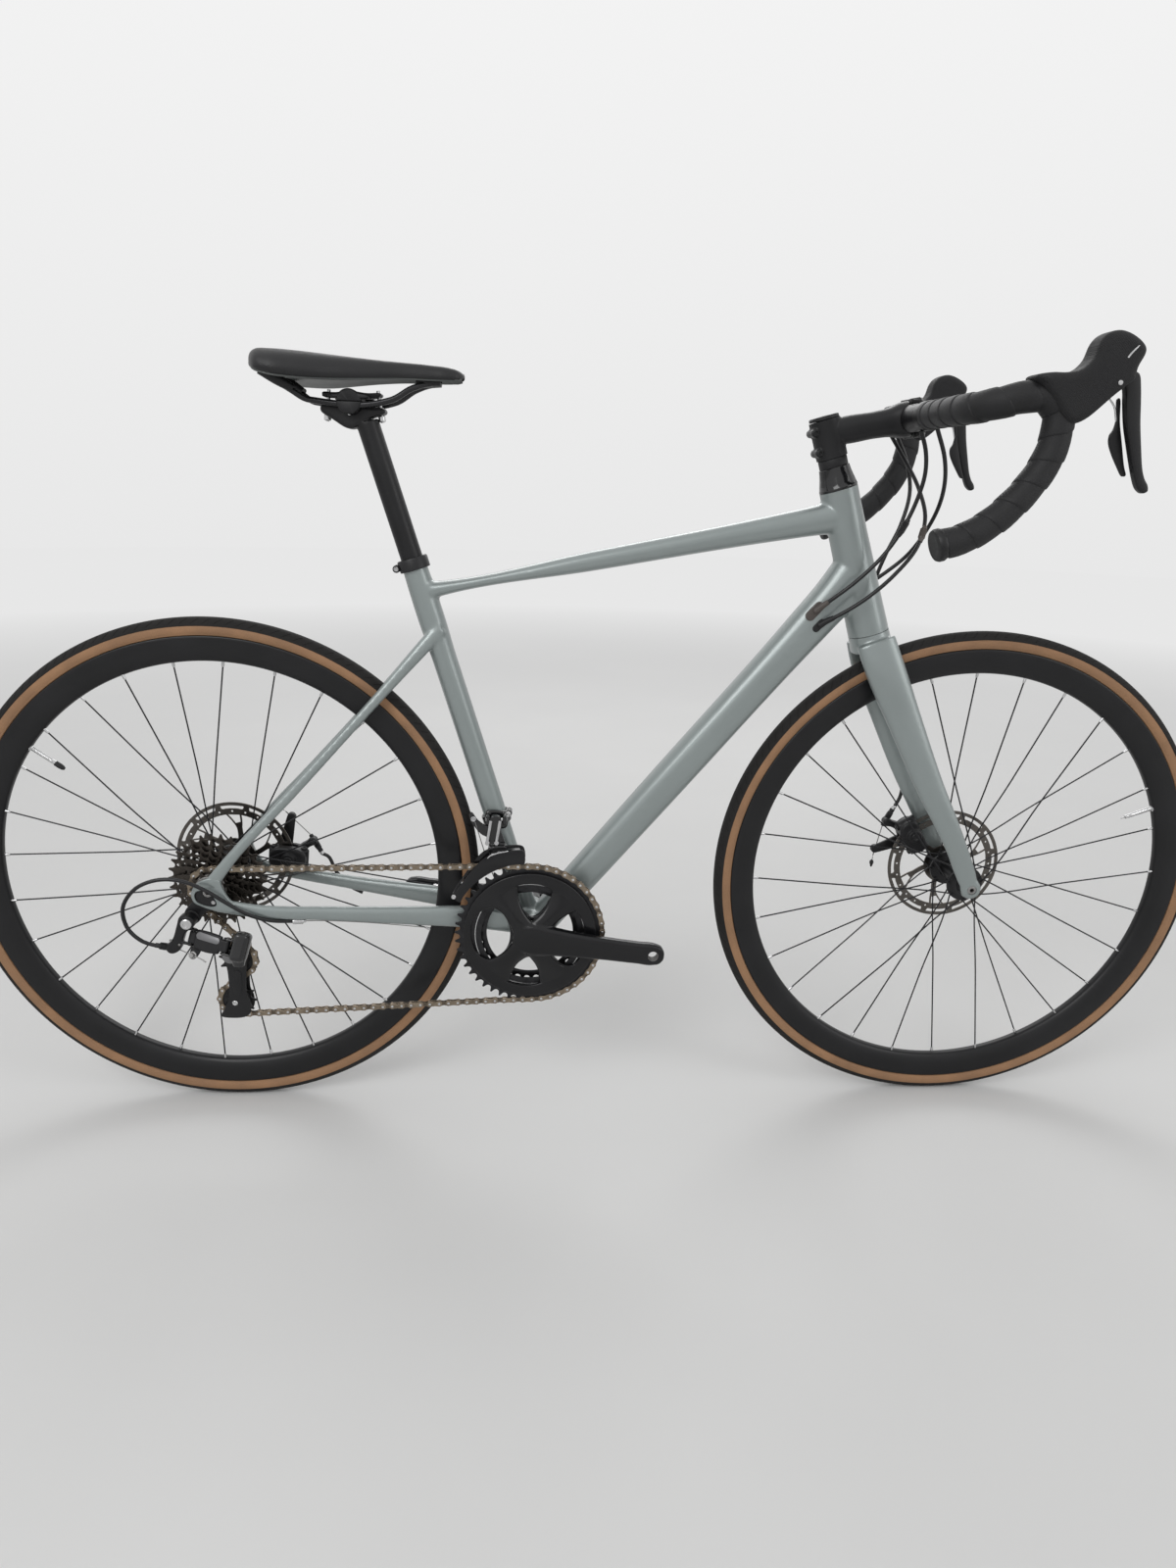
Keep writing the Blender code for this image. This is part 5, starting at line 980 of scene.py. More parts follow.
def make_hub(where, centre, right, left, rotor_y, half, shell, freehub):
    """A turned hub with two flanges, a waist and a seat for the rotor, and for the rear one a freehub."""
    profile = [(0.0063, -half + GAP), (0.009, -half + GAP), (0.0095, -half + 0.0009)]
    profile += freehub or [(0.0095, -0.043), (0.0118, -0.0418), (0.0128, -0.0396), (0.0132, -0.038)]
    for flange in (right, left):
        for away, radius in ((-0.0042, shell), (-0.0024, 0.0185), (-0.0017, 0.0236), (-0.001, 0.0245),
                             (0.001, 0.0245), (0.0017, 0.0236), (0.0024, 0.0185), (0.0042, shell)):
            profile.append((radius, flange + away))
        if flange == right:
            profile += [(shell - 0.0014, right + 0.014), (shell - 0.0018, (right + left) / 2),
                        (shell - 0.0014, left - 0.014)]
    profile += [(0.016, rotor_y - 0.0068), (0.0205, rotor_y - 0.005), (0.0213, rotor_y - 0.003),
                (0.0213, rotor_y - 0.0013), (0.0172, rotor_y - 0.0013), (0.0172, rotor_y + 0.0026),
                (0.012, rotor_y + 0.004), (0.0095, rotor_y + 0.0046), (0.0095, half - 0.0009),
                (0.009, half - GAP), (0.0063, half - GAP)]
    piece("turned_hub_" + where, turn(profile, centre, Y, 72), where + "_wheel", "satin_black",
          "black_metal", "hub_" + where, angle=30)
    notched = []
    for i in range(48):
        for radius in ((0.0207, 0.0207) if i % 4 == 0 else (0.0222, 0.0222)):
            notched.append((radius, 2 * math.pi * (i + 0.45 * (len(notched) % 2)) / 48))
    ring = plate([[spot(*p) for p in notched], circle(0.013, 48)], rotor_y + 0.0011, rotor_y + 0.003,
                 centre, 0.0003)
    piece("lockring_" + where, ring, where + "_wheel", "satin_black", "black_metal")


def make_rotor(where, centre, rotor_y):
    """A braking track with long slots and round holes, held by curved arms that fork at their ends."""
    seat = [spot(0.0178 if i % 4 < 2 else 0.0186, i * math.pi / 36) for i in range(72)]
    loops = [circle(ROTOR_RADIUS, 144), seat]
    window_start, window_end, fork_start, arm_rim = 0.028, 0.0627, 0.05, 0.0024
    half_arm, wide_from, widening = 0.0036, 0.044, 0.36
    straight_to, twist = 0.0275, 8.5
    slot_start, slot_end, hole_circle, hole_radius, half_thick = 0.0712, 0.0754, 0.0672, 0.0014, 0.0009

    def spread(radius):
        """Half of an arm's width as an angle; it widens towards the track."""
        return (half_arm + max(0, radius - wide_from) * widening) / radius

    def swing(radius):
        """The angle that an arm has curved round by at a radius."""
        return (radius - straight_to) * twist

    for i in range(6):
        middle = math.pi / 3 * i + 0.2
        steps = [window_start + (window_end - window_start) * k / 10 for k in range(11)]
        near_side = [(r, middle + swing(r) + spread(r)) for r in steps]
        far_side = [(r, middle + math.pi / 3 + swing(r) - spread(r)) for r in reversed(steps)]
        before, after = near_side[-1][1], far_side[0][1]
        outer = [(window_end, before + (after - before) * k / 6) for k in range(1, 6)]
        before, after = far_side[-1][1], near_side[0][1]
        inner = [(window_start, before + (after - before) * k / 5) for k in range(1, 5)]
        loops.append([spot(*p) for p in near_side + outer + far_side + inner])
        fork = [fork_start + (window_end - fork_start) * k / 5 for k in range(6)]
        ends = [(r, 1) for r in fork] + [(r, -1) for r in fork[:0:-1]]
        loops.append([spot(r, middle + swing(r) + way * (spread(r) - arm_rim / r)) for r, way in ends])
    for i in range(12):
        slot, hole = math.pi / 6 * i, math.pi / 6 * (i + 0.5)
        loops.append(kidney(slot_start, slot_end, slot, math.radians(12)))
        loops += [circle(hole_radius, 14, *spot(hole_circle, a)) for a in (slot, hole)]
    made = plate(loops, rotor_y - half_thick, rotor_y + half_thick, centre, 0.00015)
    piece("disc_" + where, made, where + "_wheel", "rotor_" + where, "rotor", "rotor_" + where)


def make_wheels():
    """Both wheels: flanges, rotor and axle end are given by their y, and first is a spoke's angle."""
    for where, centre, flanges, first, rotor_y, half, shell, freehub in (
        ("front", FRONT, (-0.0345, 0.024), math.radians(1.2), 0.0395, 0.05, 0.013, None),
        ("rear", REAR, (-0.019, 0.033), math.radians(8.57), 0.0522, 0.071, 0.015,
         [(0.0095, -0.0665), (0.0165, -0.0665), (0.0165, -0.0255), (0.0158, -0.025)]),
    ):
        make_tyre(where, centre)
        make_rim(where, centre)
        make_spokes(where, centre, flanges, first)
        make_hub(where, centre, *flanges, rotor_y, half, shell, freehub)
        make_rotor(where, centre, rotor_y)
    make_valve("rear", REAR, math.radians(143.7), 0.048, True)
    make_valve("front", FRONT, math.radians(20.3), 0.0445, False)


make_wheels()

# Cockpit


CLAMP_BORE, BAR_BORE = 0.0146, 0.0165
CLAMP_BOLT_AHEAD, CLAMP_BOLT_HEIGHTS = -0.0165, (0.01, 0.034)
BAR_AXES = (STEM_DIRECTION, STEM_UP, Y)
LEVER_Y = 0.211


def make_headset():
    """The cone on the head tube and the spacer under the stem, by height over the head tube."""
    stem = STEM_BOTTOM - HEAD_TOP
    cone = [(CLAMP_BORE, GAP), (0.0232, GAP), (0.0235, 0.0009), (0.0235, 0.003), (0.0231, 0.0036),
            (0.0222, 0.008), (0.0205, 0.015), (0.0193, 0.021), (0.0186, 0.0268), (0.0182, 0.0272),
            (CLAMP_BORE, 0.0272)]
    spacer = [(CLAMP_BORE, 0.0274), (0.0172, 0.0274), (0.0175, 0.028), (0.0175, stem - 0.0009),
              (0.0172, stem - GAP), (CLAMP_BORE, stem - GAP)]
    skin = Skin(turn(cone, on_steer(HEAD_TOP), STEER, 96))
    skin.add(turn(spacer, on_steer(HEAD_TOP), STEER, 96), 1)
    piece("cone_and_spacer", skin, "steering", "gloss_black satin_black", "gloss_black", "headset_cone",
          angle=30)


def make_stem():
    stations = ((0.002, 0.027, 0.033), (0.02, 0.032, 0.033), (0.06, 0.0315, 0.0335),
                (0.078, 0.0345, 0.037), (0.088, 0.0405, 0.0415), (0.104, 0.0415, 0.042))
    body = [(STEM_START + STEM_DIRECTION * along, high, wide) for along, high, wide in stations]
    clamp = rod(STEER_FOOT, STEER, 0.0188, STEM_BOTTOM - 0.004, STEM_TOP + 0.004)
    shells = Skin(tube(body, 48, 2.7, 0.004), clamp)
    bolts = Skin()
    for height in CLAMP_BOLT_HEIGHTS:
        shells.add(rod(on_steer(STEM_BOTTOM + height, CLAMP_BOLT_AHEAD), Y, 0.0052, -0.0135, 0.0135,
                       0.001))
        for end in (-1, 1):
            place = on_steer(STEM_BOTTOM + height, CLAMP_BOLT_AHEAD, end * 0.0128)
            bolt(bolts, place, Y * end, 0.0034, 0.0028, 0)
    cuts = [
        rod(STEER_FOOT, STEER, CLAMP_BORE, STEM_BOTTOM - 0.02, STEM_TOP + 0.02, 0),
        rod(STEER_FOOT, STEER, 0.05, STEM_BOTTOM - 0.02, STEM_BOTTOM, 0),
        rod(STEER_FOOT, STEER, 0.05, STEM_TOP, STEM_TOP + 0.02, 0),
        rod(BAR, Y, BAR_BORE, -0.05, 0.05, 0),
        plate([oblong(-0.04, -0.01, -0.05, 0.05)], -0.0007, 0.0007, on_steer(0.6125), 0.0001, 0,
              (STEER_AHEAD, STEER, Y)),
        plate([oblong(-0.001, 0.05, -0.05, 0.05)], -0.03, 0.03, BAR, 0.0001, 0, BAR_AXES),
    ]
    melted_piece("stem_body", shells, 0.0009, 8, cuts, "steering", "satin_black", "black_metal", "stem",
                 angle=40)
    piece("stem_bolts", bolts, "steering", "satin_black", "black_metal", angle=30)


def make_clamp_face():
    """The curved plate in front of the bar with its window and four bolts."""
    turns = [math.pi * (i / 20 - 0.5) for i in range(21)]
    arc = [spot(0.0215, a) for a in turns] + [spot(BAR_BORE, a) for a in reversed(turns)]
    arc = [(0.0008 + ahead, up) for ahead, up in arc]
    face = mesh_object("clamp_face", Skin(plate([arc], -0.0208, 0.0208, BAR, 0.0012, 1, BAR_AXES)))
    window = capsule(0, -0.006, 0.0075, 0, 0.006, 0.0075)
    combine(face, [plate([window], 0.01, 0.03, BAR, 0.0001, 0, (Y, STEM_UP, STEM_DIRECTION))],
            "DIFFERENCE")
    finish(face, "steering", "satin_black", "black_metal", "stem_faceplate", angle=35)
    heads = Skin()
    for up in (-1, 1):
        for side in (-1, 1):
            place = BAR + STEM_DIRECTION * 0.0065 + STEM_UP * (up * 0.0188) + Y * (side * 0.015)
            heads.add(rod(place, STEM_DIRECTION, 0.004, -0.008, 0.0045, 0.0006, 24))
            bolt(heads, place + STEM_DIRECTION * 0.0046, STEM_DIRECTION, 0.003, 0.0022)
    piece("clamp_bolts", heads, "steering", "satin_black dull_steel", "black_metal", angle=30)


def make_top_cap():
    tilt = (STEER + STEER_AHEAD * 0.03).normalized()
    top = on_steer(STEM_TOP + GAP)
    cap = Skin(turn([(0, 0), (0.0175, 0), (0.0181, 0.0008), (0.0179, 0.0034), (0.0168, 0.0044),
                     (0.006, 0.0047), (0.0052, 0.004), (0, 0.004)], top, tilt, 72))
    bolt(cap, top + tilt * 0.003, tilt, 0.0042, 0.0018)
    piece("top_cap", cap, "steering", "satin_black satin_black", "black_metal", "stem_top_cap", angle=30)


def bar_points(side):
    """The bar's middle line on one side, from the stem to the end of the drop."""
    route = [(0.0, 0.0, 0.0), (0.0, 0.03, 0.0), (0.0, 0.056, 0.0), (0.0, 0.16, 0.0),
             (0.004, 0.189, 0.0005), (0.018, 0.206, 0.004), (0.0419, 0.21, 0.0098), (0.062, 0.21, 0.011),
             (0.077, 0.21, -0.001), (0.0797, 0.21, -0.0218), (0.0755, 0.21, -0.046),
             (0.063, 0.21, -0.0705), (0.0437, 0.211, -0.0948), (0.019, 0.212, -0.1165),
             (-0.006, 0.213, -0.1305), (-0.031, 0.214, -0.1375)]
    return [(BAR.x + x, side * y, BAR.z + z) for x, y, z in route]


def make_bar():
    """The bent bar, thicker where the stem holds it."""
    points = [*reversed(bar_points(1)), *bar_points(-1)[1:]]
    radii = [0.0159 if abs(p[1]) < 0.031 else 0.0119 for p in points]
    piece("bent_bar", pipe(points, radii, 32, 0.006), "steering", "satin_black", "black_metal",
          "handlebar")
    middle = [(0.0117, -0.034), (0.015, -0.034), (0.0159, -0.03), (0.0159, 0.03), (0.015, 0.034),
              (0.0117, 0.034)]
    piece("bar_middle", turn(middle, BAR, Y, 72), "steering", "satin_black", "black_metal")


def make_tape(side, tag):
    """Padded tape wound in a spiral from the drop's end towards the stem, each turn lapping the last."""
    rows = eased([(Vector(p),) for p in bar_points(side)], 0.002)
    line = list(frames(rows))
    run = np.concatenate([[0], np.cumsum(np.linalg.norm(np.diff(rows, axis=0), axis=1))])
    first, last = 0.056, run[-1] - 0.0005
    lap, count = 0.0275, 40
    under_tape, over_tape = 0.0121, 0.0152
    marks = ((0.0, 0.0), (0.018, 0.00055), (0.045, 0.00085), (0.12, 0.00095), (0.35, 0.00085),
             (0.62, 0.0005), (0.85, 0.00014), (0.96, 0.0))
    turns = math.ceil((last - first) / lap) + 3
    points = []
    for period in range(-1, turns):
        for share, height in marks:
            for j in range(count):
                angle = side * 2 * math.pi * j / count
                s = last - (period + share + j / count) * lap
                inside = first < s < last
                s = min(max(s, first), last)
                k = min(int(np.searchsorted(run, s)), len(line) - 1)
                point, ahead, across = line[k]
                point = point + ahead * (s - run[k])
                swell = 0.00012 * math.sin(2.1 * angle + 3.0 * period) * math.sin(math.pi * share)
                radius = over_tape + height + swell if inside else under_tape
                out = across * math.cos(angle) + ahead.cross(across) * math.sin(angle)
                points.append(point + out * radius)
    total, step = len(points), len(marks) * count
    faces = []
    for n in range(total):
        j = n % count
        beside = n + 1 if j < count - 1 else n + 1 - count + step
        above, corner = n + count, beside + count
        if max(above, corner) < total:
            faces.append((n, beside, corner, above))
    made = mesh_object("tape_" + tag, Skin((points, faces)))
    shape = bmesh.new()
    shape.from_mesh(made.data)
    bmesh.ops.remove_doubles(shape, verts=shape.verts, dist=4e-5)
    bmesh.ops.holes_fill(shape, edges=[edge for edge in shape.edges if edge.is_boundary], sides=0)
    bmesh.ops.delete(shape, geom=[v for v in shape.verts if not v.link_faces], context="VERTS")
    bmesh.ops.recalc_face_normals(shape, faces=shape.faces)
    shape.to_mesh(made.data)
    shape.free()
    finish(made, "steering", "bar_tape", "bar_tape", "bar_tape_" + tag, angle=32)
    band = [(0.012, 0.05), (0.013, 0.05), (0.016, 0.056), (0.0166, 0.058), (0.01665, 0.07),
            (0.0163, 0.0716), (0.012, 0.0716)]
    piece("tape_band_" + tag, turn(band, BAR, Y * side, 64), "steering", "tape_band", "bar_tape", angle=25)
    end, ahead, _ = line[-1]
    plug = [(0, -0.006), (0.011, -0.006), (0.0166, -0.0045), (0.0173, -0.003), (0.0172, 0.001),
            (0.016, 0.0034), (0.012, 0.0046), (0.01, 0.0042), (0, 0.0042)]
    piece("plug_" + tag, turn(plug, end, ahead, 64), "steering", "plastic", "black_metal", angle=30)


HOOD = [(0.044, 0.029), (0.06, 0.033), (0.076, 0.0335), (0.09, 0.037), (0.1, 0.047), (0.1045, 0.062),
        (0.112, 0.0706), (0.125, 0.0738), (0.14, 0.069), (0.151, 0.061), (0.153, 0.053), (0.147, 0.04),
        (0.1453, 0.0282), (0.139, 0.0232), (0.1254, 0.0116), (0.1042, -0.0083), (0.09, -0.015),
        (0.079, -0.013), (0.064, 0.005), (0.052, 0.018)]
LEVER = [(0.1372, 0.029), (0.14, 0.035), (0.148, 0.0372), (0.1545, 0.034), (0.158, 0.022), (0.161, 0.006),
         (0.164, -0.012), (0.169, -0.034), (0.174, -0.054), (0.1785, -0.065), (0.1832, -0.0715),
         (0.1845, -0.0775), (0.18, -0.08), (0.175, -0.077), (0.1715, -0.0725), (0.1675, -0.064),
         (0.1632, -0.053), (0.156, -0.033), (0.1495, -0.0136), (0.145, 0.006), (0.1425, 0.019)]
PADDLE = [(0.1412, 0.01), (0.1446, 0.0105), (0.1478, -0.01), (0.153, -0.028), (0.16, -0.052),
          (0.164, -0.062), (0.16, -0.0632), (0.1545, -0.056), (0.146, -0.043), (0.1405, -0.032),
          (0.1398, -0.0235), (0.143, -0.017), (0.144, -0.006)]
HOOD_HALF, BLADE_HALF, LEAF_HALF, LEAF_INWARDS = 0.0183, 0.0052, 0.002, 0.0078
LEVER_PIVOT, HOOD_PIN = (0.1415, 0.0305), (0.1275, 0.0245)


def squeezed(mesh, y):
    """The hood's points, narrower over the knob and at the nose than where the hand lies."""
    points = np.empty(len(mesh.vertices) * 3)
    mesh.vertices.foreach_get("co", points)
    points = points.reshape(-1, 3)
    ahead, up = points[:, 0] - BAR.x, points[:, 2] - BAR.z
    knob_from, knob_rise, nose_from, nose_run = 0.04, 0.034, 0.135, 0.02
    knob_loss, nose_loss = 0.18, 0.14
    knob = np.clip((up - knob_from) / knob_rise, 0, 1)
    nose = np.clip((ahead - nose_from) / nose_run, 0, 1)
    points[:, 1] = y + (points[:, 1] - y) * (1 - knob_loss * knob**1.5 - nose_loss * nose)
    return points.reshape(-1)


def make_levers():
    """On each side the rubber hood, the brake lever, the shift paddle with its link, and the pins."""
    for side, tag in SIDES:
        y = side * LEVER_Y
        block = plate([curved(HOOD, 5)], y - HOOD_HALF, y + HOOD_HALF, BAR, 0.0085, 4)
        hood = mesh_object("grip_" + tag, Skin(block))
        hood.data.vertices.foreach_set("co", squeezed(hood.data, y))
        melt(hood, 0.001, 14)
        tape_hole = pipe(bar_points(side), 0.0158, 32, 0.004)
        low, high = low_high(side, LEVER_Y - 0.0128, LEVER_Y + 0.0068)
        slot = plate([oblong(0.134, 0.17, 0.002, 0.0385)], low, high, BAR, 0.0004)
        combine(hood, [tape_hole, slot], "DIFFERENCE")
        finish(hood, "steering", "hood_rubber", "hood_rubber", "hood_" + tag, angle=45)
        blade = plate([curved(LEVER, 4)], y - BLADE_HALF, y + BLADE_HALF, BAR, 0.0024, 3)
        piece("lever_blade_" + tag, blade, "brake_lever_" + tag, "satin_black", "black_metal",
              "brake_lever_" + tag, angle=50)
        head = [(0, 0.015), (0.0025, 0.015), (0.0025, 0.0184), (0.002, 0.019), (0, 0.019)]
        pin = Skin(*(turn(head, near(BAR, *HOOD_PIN, y), Y * end, 20) for end in (-1, 1)))
        piece("lever_pin_" + tag, pin, "steering", "silver", "steel")
        axle = rod(near(BAR, *LEVER_PIVOT, y), Y, 0.0022, -0.0056, 0.0056, 0.0003, 20)
        piece("lever_axle_" + tag, axle, "brake_lever_" + tag, "silver", "steel")
        paddle_y = y - side * LEAF_INWARDS
        leaf = plate([curved(PADDLE, 4)], paddle_y - LEAF_HALF, paddle_y + LEAF_HALF, BAR, 0.001, 2)
        piece("paddle_" + tag, leaf, "shift_paddle_" + tag, "satin_black", "black_metal",
              "shift_paddle_" + tag, angle=50)
        bends = ((0.12, 0.01), (0.13, 0.0128), (0.1385, 0.006), (0.1445, -0.01))
        link = [near(BAR, x, z, paddle_y) for x, z in bends]
        piece("paddle_link_" + tag, pipe(link, 0.001, 10, 0.002),
              ("steering", "brake_lever_" + tag, link[0], link[1]), "silver", "steel")
        accent = curved([(0.1262, 0.04), (0.1275, 0.0395), (0.134, 0.05), (0.1405, 0.0578),
                         (0.1398, 0.0588), (0.1325, 0.0512)], 4)
        low, high = low_high(side, LEVER_Y + 0.016, LEVER_Y + 0.0174)
        piece("accent_" + tag, plate([accent], low, high, BAR, 0.0003, 1), "steering", "silver", "steel")


# Cables

CABLES = {
    "rear_shift_cable": [
        (0.3562, -0.062, 0.916), (0.365, -0.059, 0.896), (0.3715, -0.05, 0.87), (0.367, -0.045, 0.838),
        (0.355, -0.043, 0.806), (0.336, -0.041, 0.774), (0.307, -0.038, 0.742), (0.279, -0.031, 0.717),
        (0.265, -0.0241, 0.7045)],
    "front_shift_cable": [
        (0.3654, 0.062, 0.9154), (0.38, 0.048, 0.888), (0.392, 0.018, 0.852), (0.393, -0.012, 0.816),
        (0.38, -0.031, 0.784), (0.352, -0.04, 0.75), (0.315, -0.0395, 0.7165), (0.286, -0.032, 0.696),
        (0.272, -0.0246, 0.687)],
    "rear_brake_cable": [
        (0.3715, -0.07, 0.9192), (0.39, -0.056, 0.888), (0.406, -0.025, 0.847), (0.407, 0.01, 0.806),
        (0.393, 0.033, 0.77), (0.362, 0.043, 0.74), (0.32, 0.041, 0.713), (0.288, 0.0325, 0.699),
        (0.272, 0.0246, 0.694)],
    "front_brake_cable": [
        (0.3737, 0.072, 0.9205), (0.39, 0.069, 0.888), (0.398, 0.064, 0.85), (0.389, 0.06, 0.805),
        (0.373, 0.056, 0.77), (0.361, 0.053, 0.735), (0.357, 0.051, 0.69), (0.364, 0.05, 0.635),
        (0.388, 0.0525, 0.57), (0.416, 0.058, 0.505), (0.4345, 0.0607, 0.46), (0.433, 0.0588, 0.4323),
        (0.4248, 0.057, 0.4157)],
    "derailleur_housing": [
        (-0.396, -0.062, 0.2945), (-0.425, -0.074, 0.301), (-0.448, -0.0815, 0.312),
        (-0.474, -0.0835, 0.329), (-0.5, -0.084, 0.347), (-0.525, -0.085, 0.359),
        (-0.552, -0.0865, 0.362), (-0.582, -0.0885, 0.351), (-0.6, -0.09, 0.325),
        (-0.596, -0.0905, 0.296), (-0.58, -0.09, 0.279), (-0.5595, -0.089, 0.2715)],
}


def bending(name, points):
    """The body that carries a housing, or the two bodies at its ends on its way into the frame, with its
    end points.
    """
    single = {"front_brake_cable": "steering", "derailleur_housing": "frame"}
    return single.get(name) or ("steering", "frame", points[0], points[-1])


def on_line(points, share):
    """The point and the way ahead at a share of a line's length."""
    rows = eased([(Vector(p),) for p in points], 0.002)
    k = min(int(share * (len(rows) - 1)), len(rows) - 2)
    return Vector(rows[k]), Vector(rows[k + 1] - rows[k]).normalized()


def make_housings():
    for name, points in CABLES.items():
        skin = pipe(points, HOUSING_RADIUS, 16, 0.005)
        new_name = name.replace("cable", "line").replace("housing", "loop")
        piece(new_name, skin, bending(name, points), "housing", "housing", name)


def make_adjusters():
    """The two ribbed barrels along the shift housings."""
    barrel = [(0, -0.0115), (0.0028, -0.0115), (0.0034, -0.008)]
    for i in range(8):
        barrel += [(0.0043, -0.0068 + 0.0016 * i), (0.0038, -0.006 + 0.0016 * i)]
    barrel += [(0.0034, 0.0072), (0.0028, 0.011), (0, 0.011)]
    for name, share, finish_name in (("front_shift_cable", 0.475, "brown_plastic"),
                                     ("rear_shift_cable", 0.455, "plastic")):
        place, ahead = on_line(CABLES[name], share)
        piece("adjuster_" + name.removesuffix("_cable"), turn(barrel, place, ahead, 32),
              bending(name, CABLES[name]), finish_name, "black_metal", angle=25)


def make_ports():
    """The grommets where three housings enter the down tube."""
    along = Vector((-0.66, 0, -0.75)).normalized()
    for name, colour, half, wide in (("rear_shift_cable", "brown_plastic", 0.0078, 0.0062),
                                     ("front_shift_cable", "plastic", 0.005, 0.0048),
                                     ("rear_brake_cable", "plastic", 0.005, 0.0048)):
        before, end = (Vector(p) for p in CABLES[name][-2:])
        ahead = (end - before).normalized()
        side = math.copysign(1, end.y)
        normal = (Y * side - STEER_AHEAD * 0.1).normalized()
        across = normal.cross(along).normalized()
        face = Vector((end.x, side * 0.0212, end.z)) + along * 0.004
        outline = capsule(-half, 0, wide, half, 0, wide)
        skin = Skin(plate([outline], -0.0022, 0.0016, face, 0.0008, 1, (along, across, normal)))
        neck = [end - ahead * 0.016, end - ahead * 0.006, end + along * 0.004 - Y * side * 0.001]
        skin.add(pipe(neck, [0.0032, 0.0038, 0.0042], 20, 0.002))
        piece("port_" + name.removesuffix("_cable"), skin, "frame", colour, "black_metal", angle=35)


make_headset()
make_stem()
make_clamp_face()
make_top_cap()
make_bar()
for side, tag in SIDES:
    make_tape(side, tag)
make_levers()
make_housings()
make_adjusters()
make_ports()

# Saddle and seatpost


SADDLE_REAR, SADDLE_LENGTH, SADDLE_HALF_WIDTH = -0.109, 0.241, 0.0725
POST_RADIUS, CRADLE_RADIUS, RAIL_RADIUS, RAIL_HALF_GAP = 0.0136, 0.0139, 0.0035, 0.022


def saddle_ring(row, kind):
    """A slice across the saddle, as a cover or as the base under it."""
    share, wide, top, low = row[0], row[3] * SADDLE_HALF_WIDTH, row[4], row[5]
    x = RAIL.x + SADDLE_REAR + share * SADDLE_LENGTH
    dish = 0.0016 * math.sin(math.pi * min(max((share - 0.12) / 0.75, 0), 1))
    deep = top - low
    if kind == "cover":
        shape = [(0.0, top - dish), (0.2, top - dish * 0.6), (0.45, top - 0.0006),
                 (0.66, top - deep * 0.06), (0.84, top - deep * 0.2), (0.955, top - deep * 0.46),
                 (1.0, top - deep * 0.72), (0.985, low + deep * 0.1), (0.95, low), (0.9, low + 0.0006),
                 (0.86, low + 0.0035), (0.6, low + 0.006), (0.3, low + 0.0068), (0.0, low + 0.007)]
    else:
        shape = [(0.0, low + 0.0072), (0.45, low + 0.0066), (0.8, low + 0.0045), (0.93, low + 0.0026),
                 (0.945, low - 0.0004), (0.92, low - 0.0014), (0.86, low - 0.0008), (0.7, low + 0.0016),
                 (0.4, low + 0.0032), (0.0, low + 0.0036)]
    right = [Vector((x, -wide * u, RAIL.z + z)) for u, z in shape]
    left = [Vector((x, wide * u, RAIL.z + z)) for u, z in reversed(shape[1:-1])]
    return right + left


def make_saddle():
    """A padded cover with a crowned top and pulled-in lower edge, over a hard base.

    The outline's rows: share of the length, share of the half width, height of the top and of its edge.
    """
    outline = [(0.0, 0.34, 0.0465, 0.0392), (0.012, 0.62, 0.05, 0.0345), (0.04, 0.84, 0.0525, 0.0295),
               (0.11, 1.0, 0.053, 0.0238), (0.22, 0.97, 0.052, 0.0212), (0.33, 0.83, 0.0505, 0.0208),
               (0.44, 0.63, 0.0488, 0.0224), (0.56, 0.46, 0.047, 0.0245), (0.7, 0.35, 0.0452, 0.0262),
               (0.84, 0.3, 0.0432, 0.0262), (0.94, 0.27, 0.0405, 0.0264), (0.985, 0.2, 0.037, 0.0274),
               (1.0, 0.09, 0.0335, 0.0292)]
    rows = eased([(Vector((share, 0, 0)), wide, top, low) for share, wide, top, low in outline], 0.02)
    cover = piece("saddle_cover", grid([saddle_ring(row, "cover") for row in rows]), "saddle", "saddle",
                  "saddle", "saddle", angle=60, subdivide=1)
    base = grid([saddle_ring(row, "base") for row in rows[1:-1]])
    piece("saddle_base", base, "saddle", "saddle_shell", "black_metal", angle=50)


def make_rails():
    """The rail, bent from its left rear end to its right one, and the base's sockets for it."""
    rail = RAIL_HALF_GAP
    route = [(-0.083, rail + 0.013, 0.0215), (-0.064, rail + 0.006, 0.01), (-0.048, rail, 0.001),
             (-0.04, rail, 0.0), (0.038, rail, 0.0), (0.05, rail - 0.001, 0.0035),
             (0.072, rail - 0.006, 0.0165), (0.09, rail - 0.012, 0.0225), (0.101, 0.0055, 0.0238)]
    route += [(x, -y, z) for x, y, z in reversed(route)]
    points = [RAIL + Vector(p) for p in route]
    piece("rails", pipe(points, RAIL_RADIUS, 20, 0.004), "saddle", "rail_black", "black_metal",
          "saddle_rails")
    nose = [(near(RAIL, 0.076, 0.024), 0.01, 0.026), (near(RAIL, 0.09, 0.0245), 0.011, 0.03),
            (near(RAIL, 0.104, 0.025), 0.01, 0.024)]
    sockets = Skin(tube(nose, 28, 3.0, 0.003))
    for side in (-1, 1):
        rear = [(near(RAIL, -0.096, 0.029, side * 0.04), 0.009, 0.015),
                (near(RAIL, -0.078, 0.0205, side * 0.0335), 0.0125, 0.015),
                (near(RAIL, -0.062, 0.0115, side * 0.028), 0.0095, 0.0105)]
        sockets.add(tube(rear, 24, 2.6, 0.003))
    piece("rail_sockets", sockets, "saddle", "plastic", "black_metal")


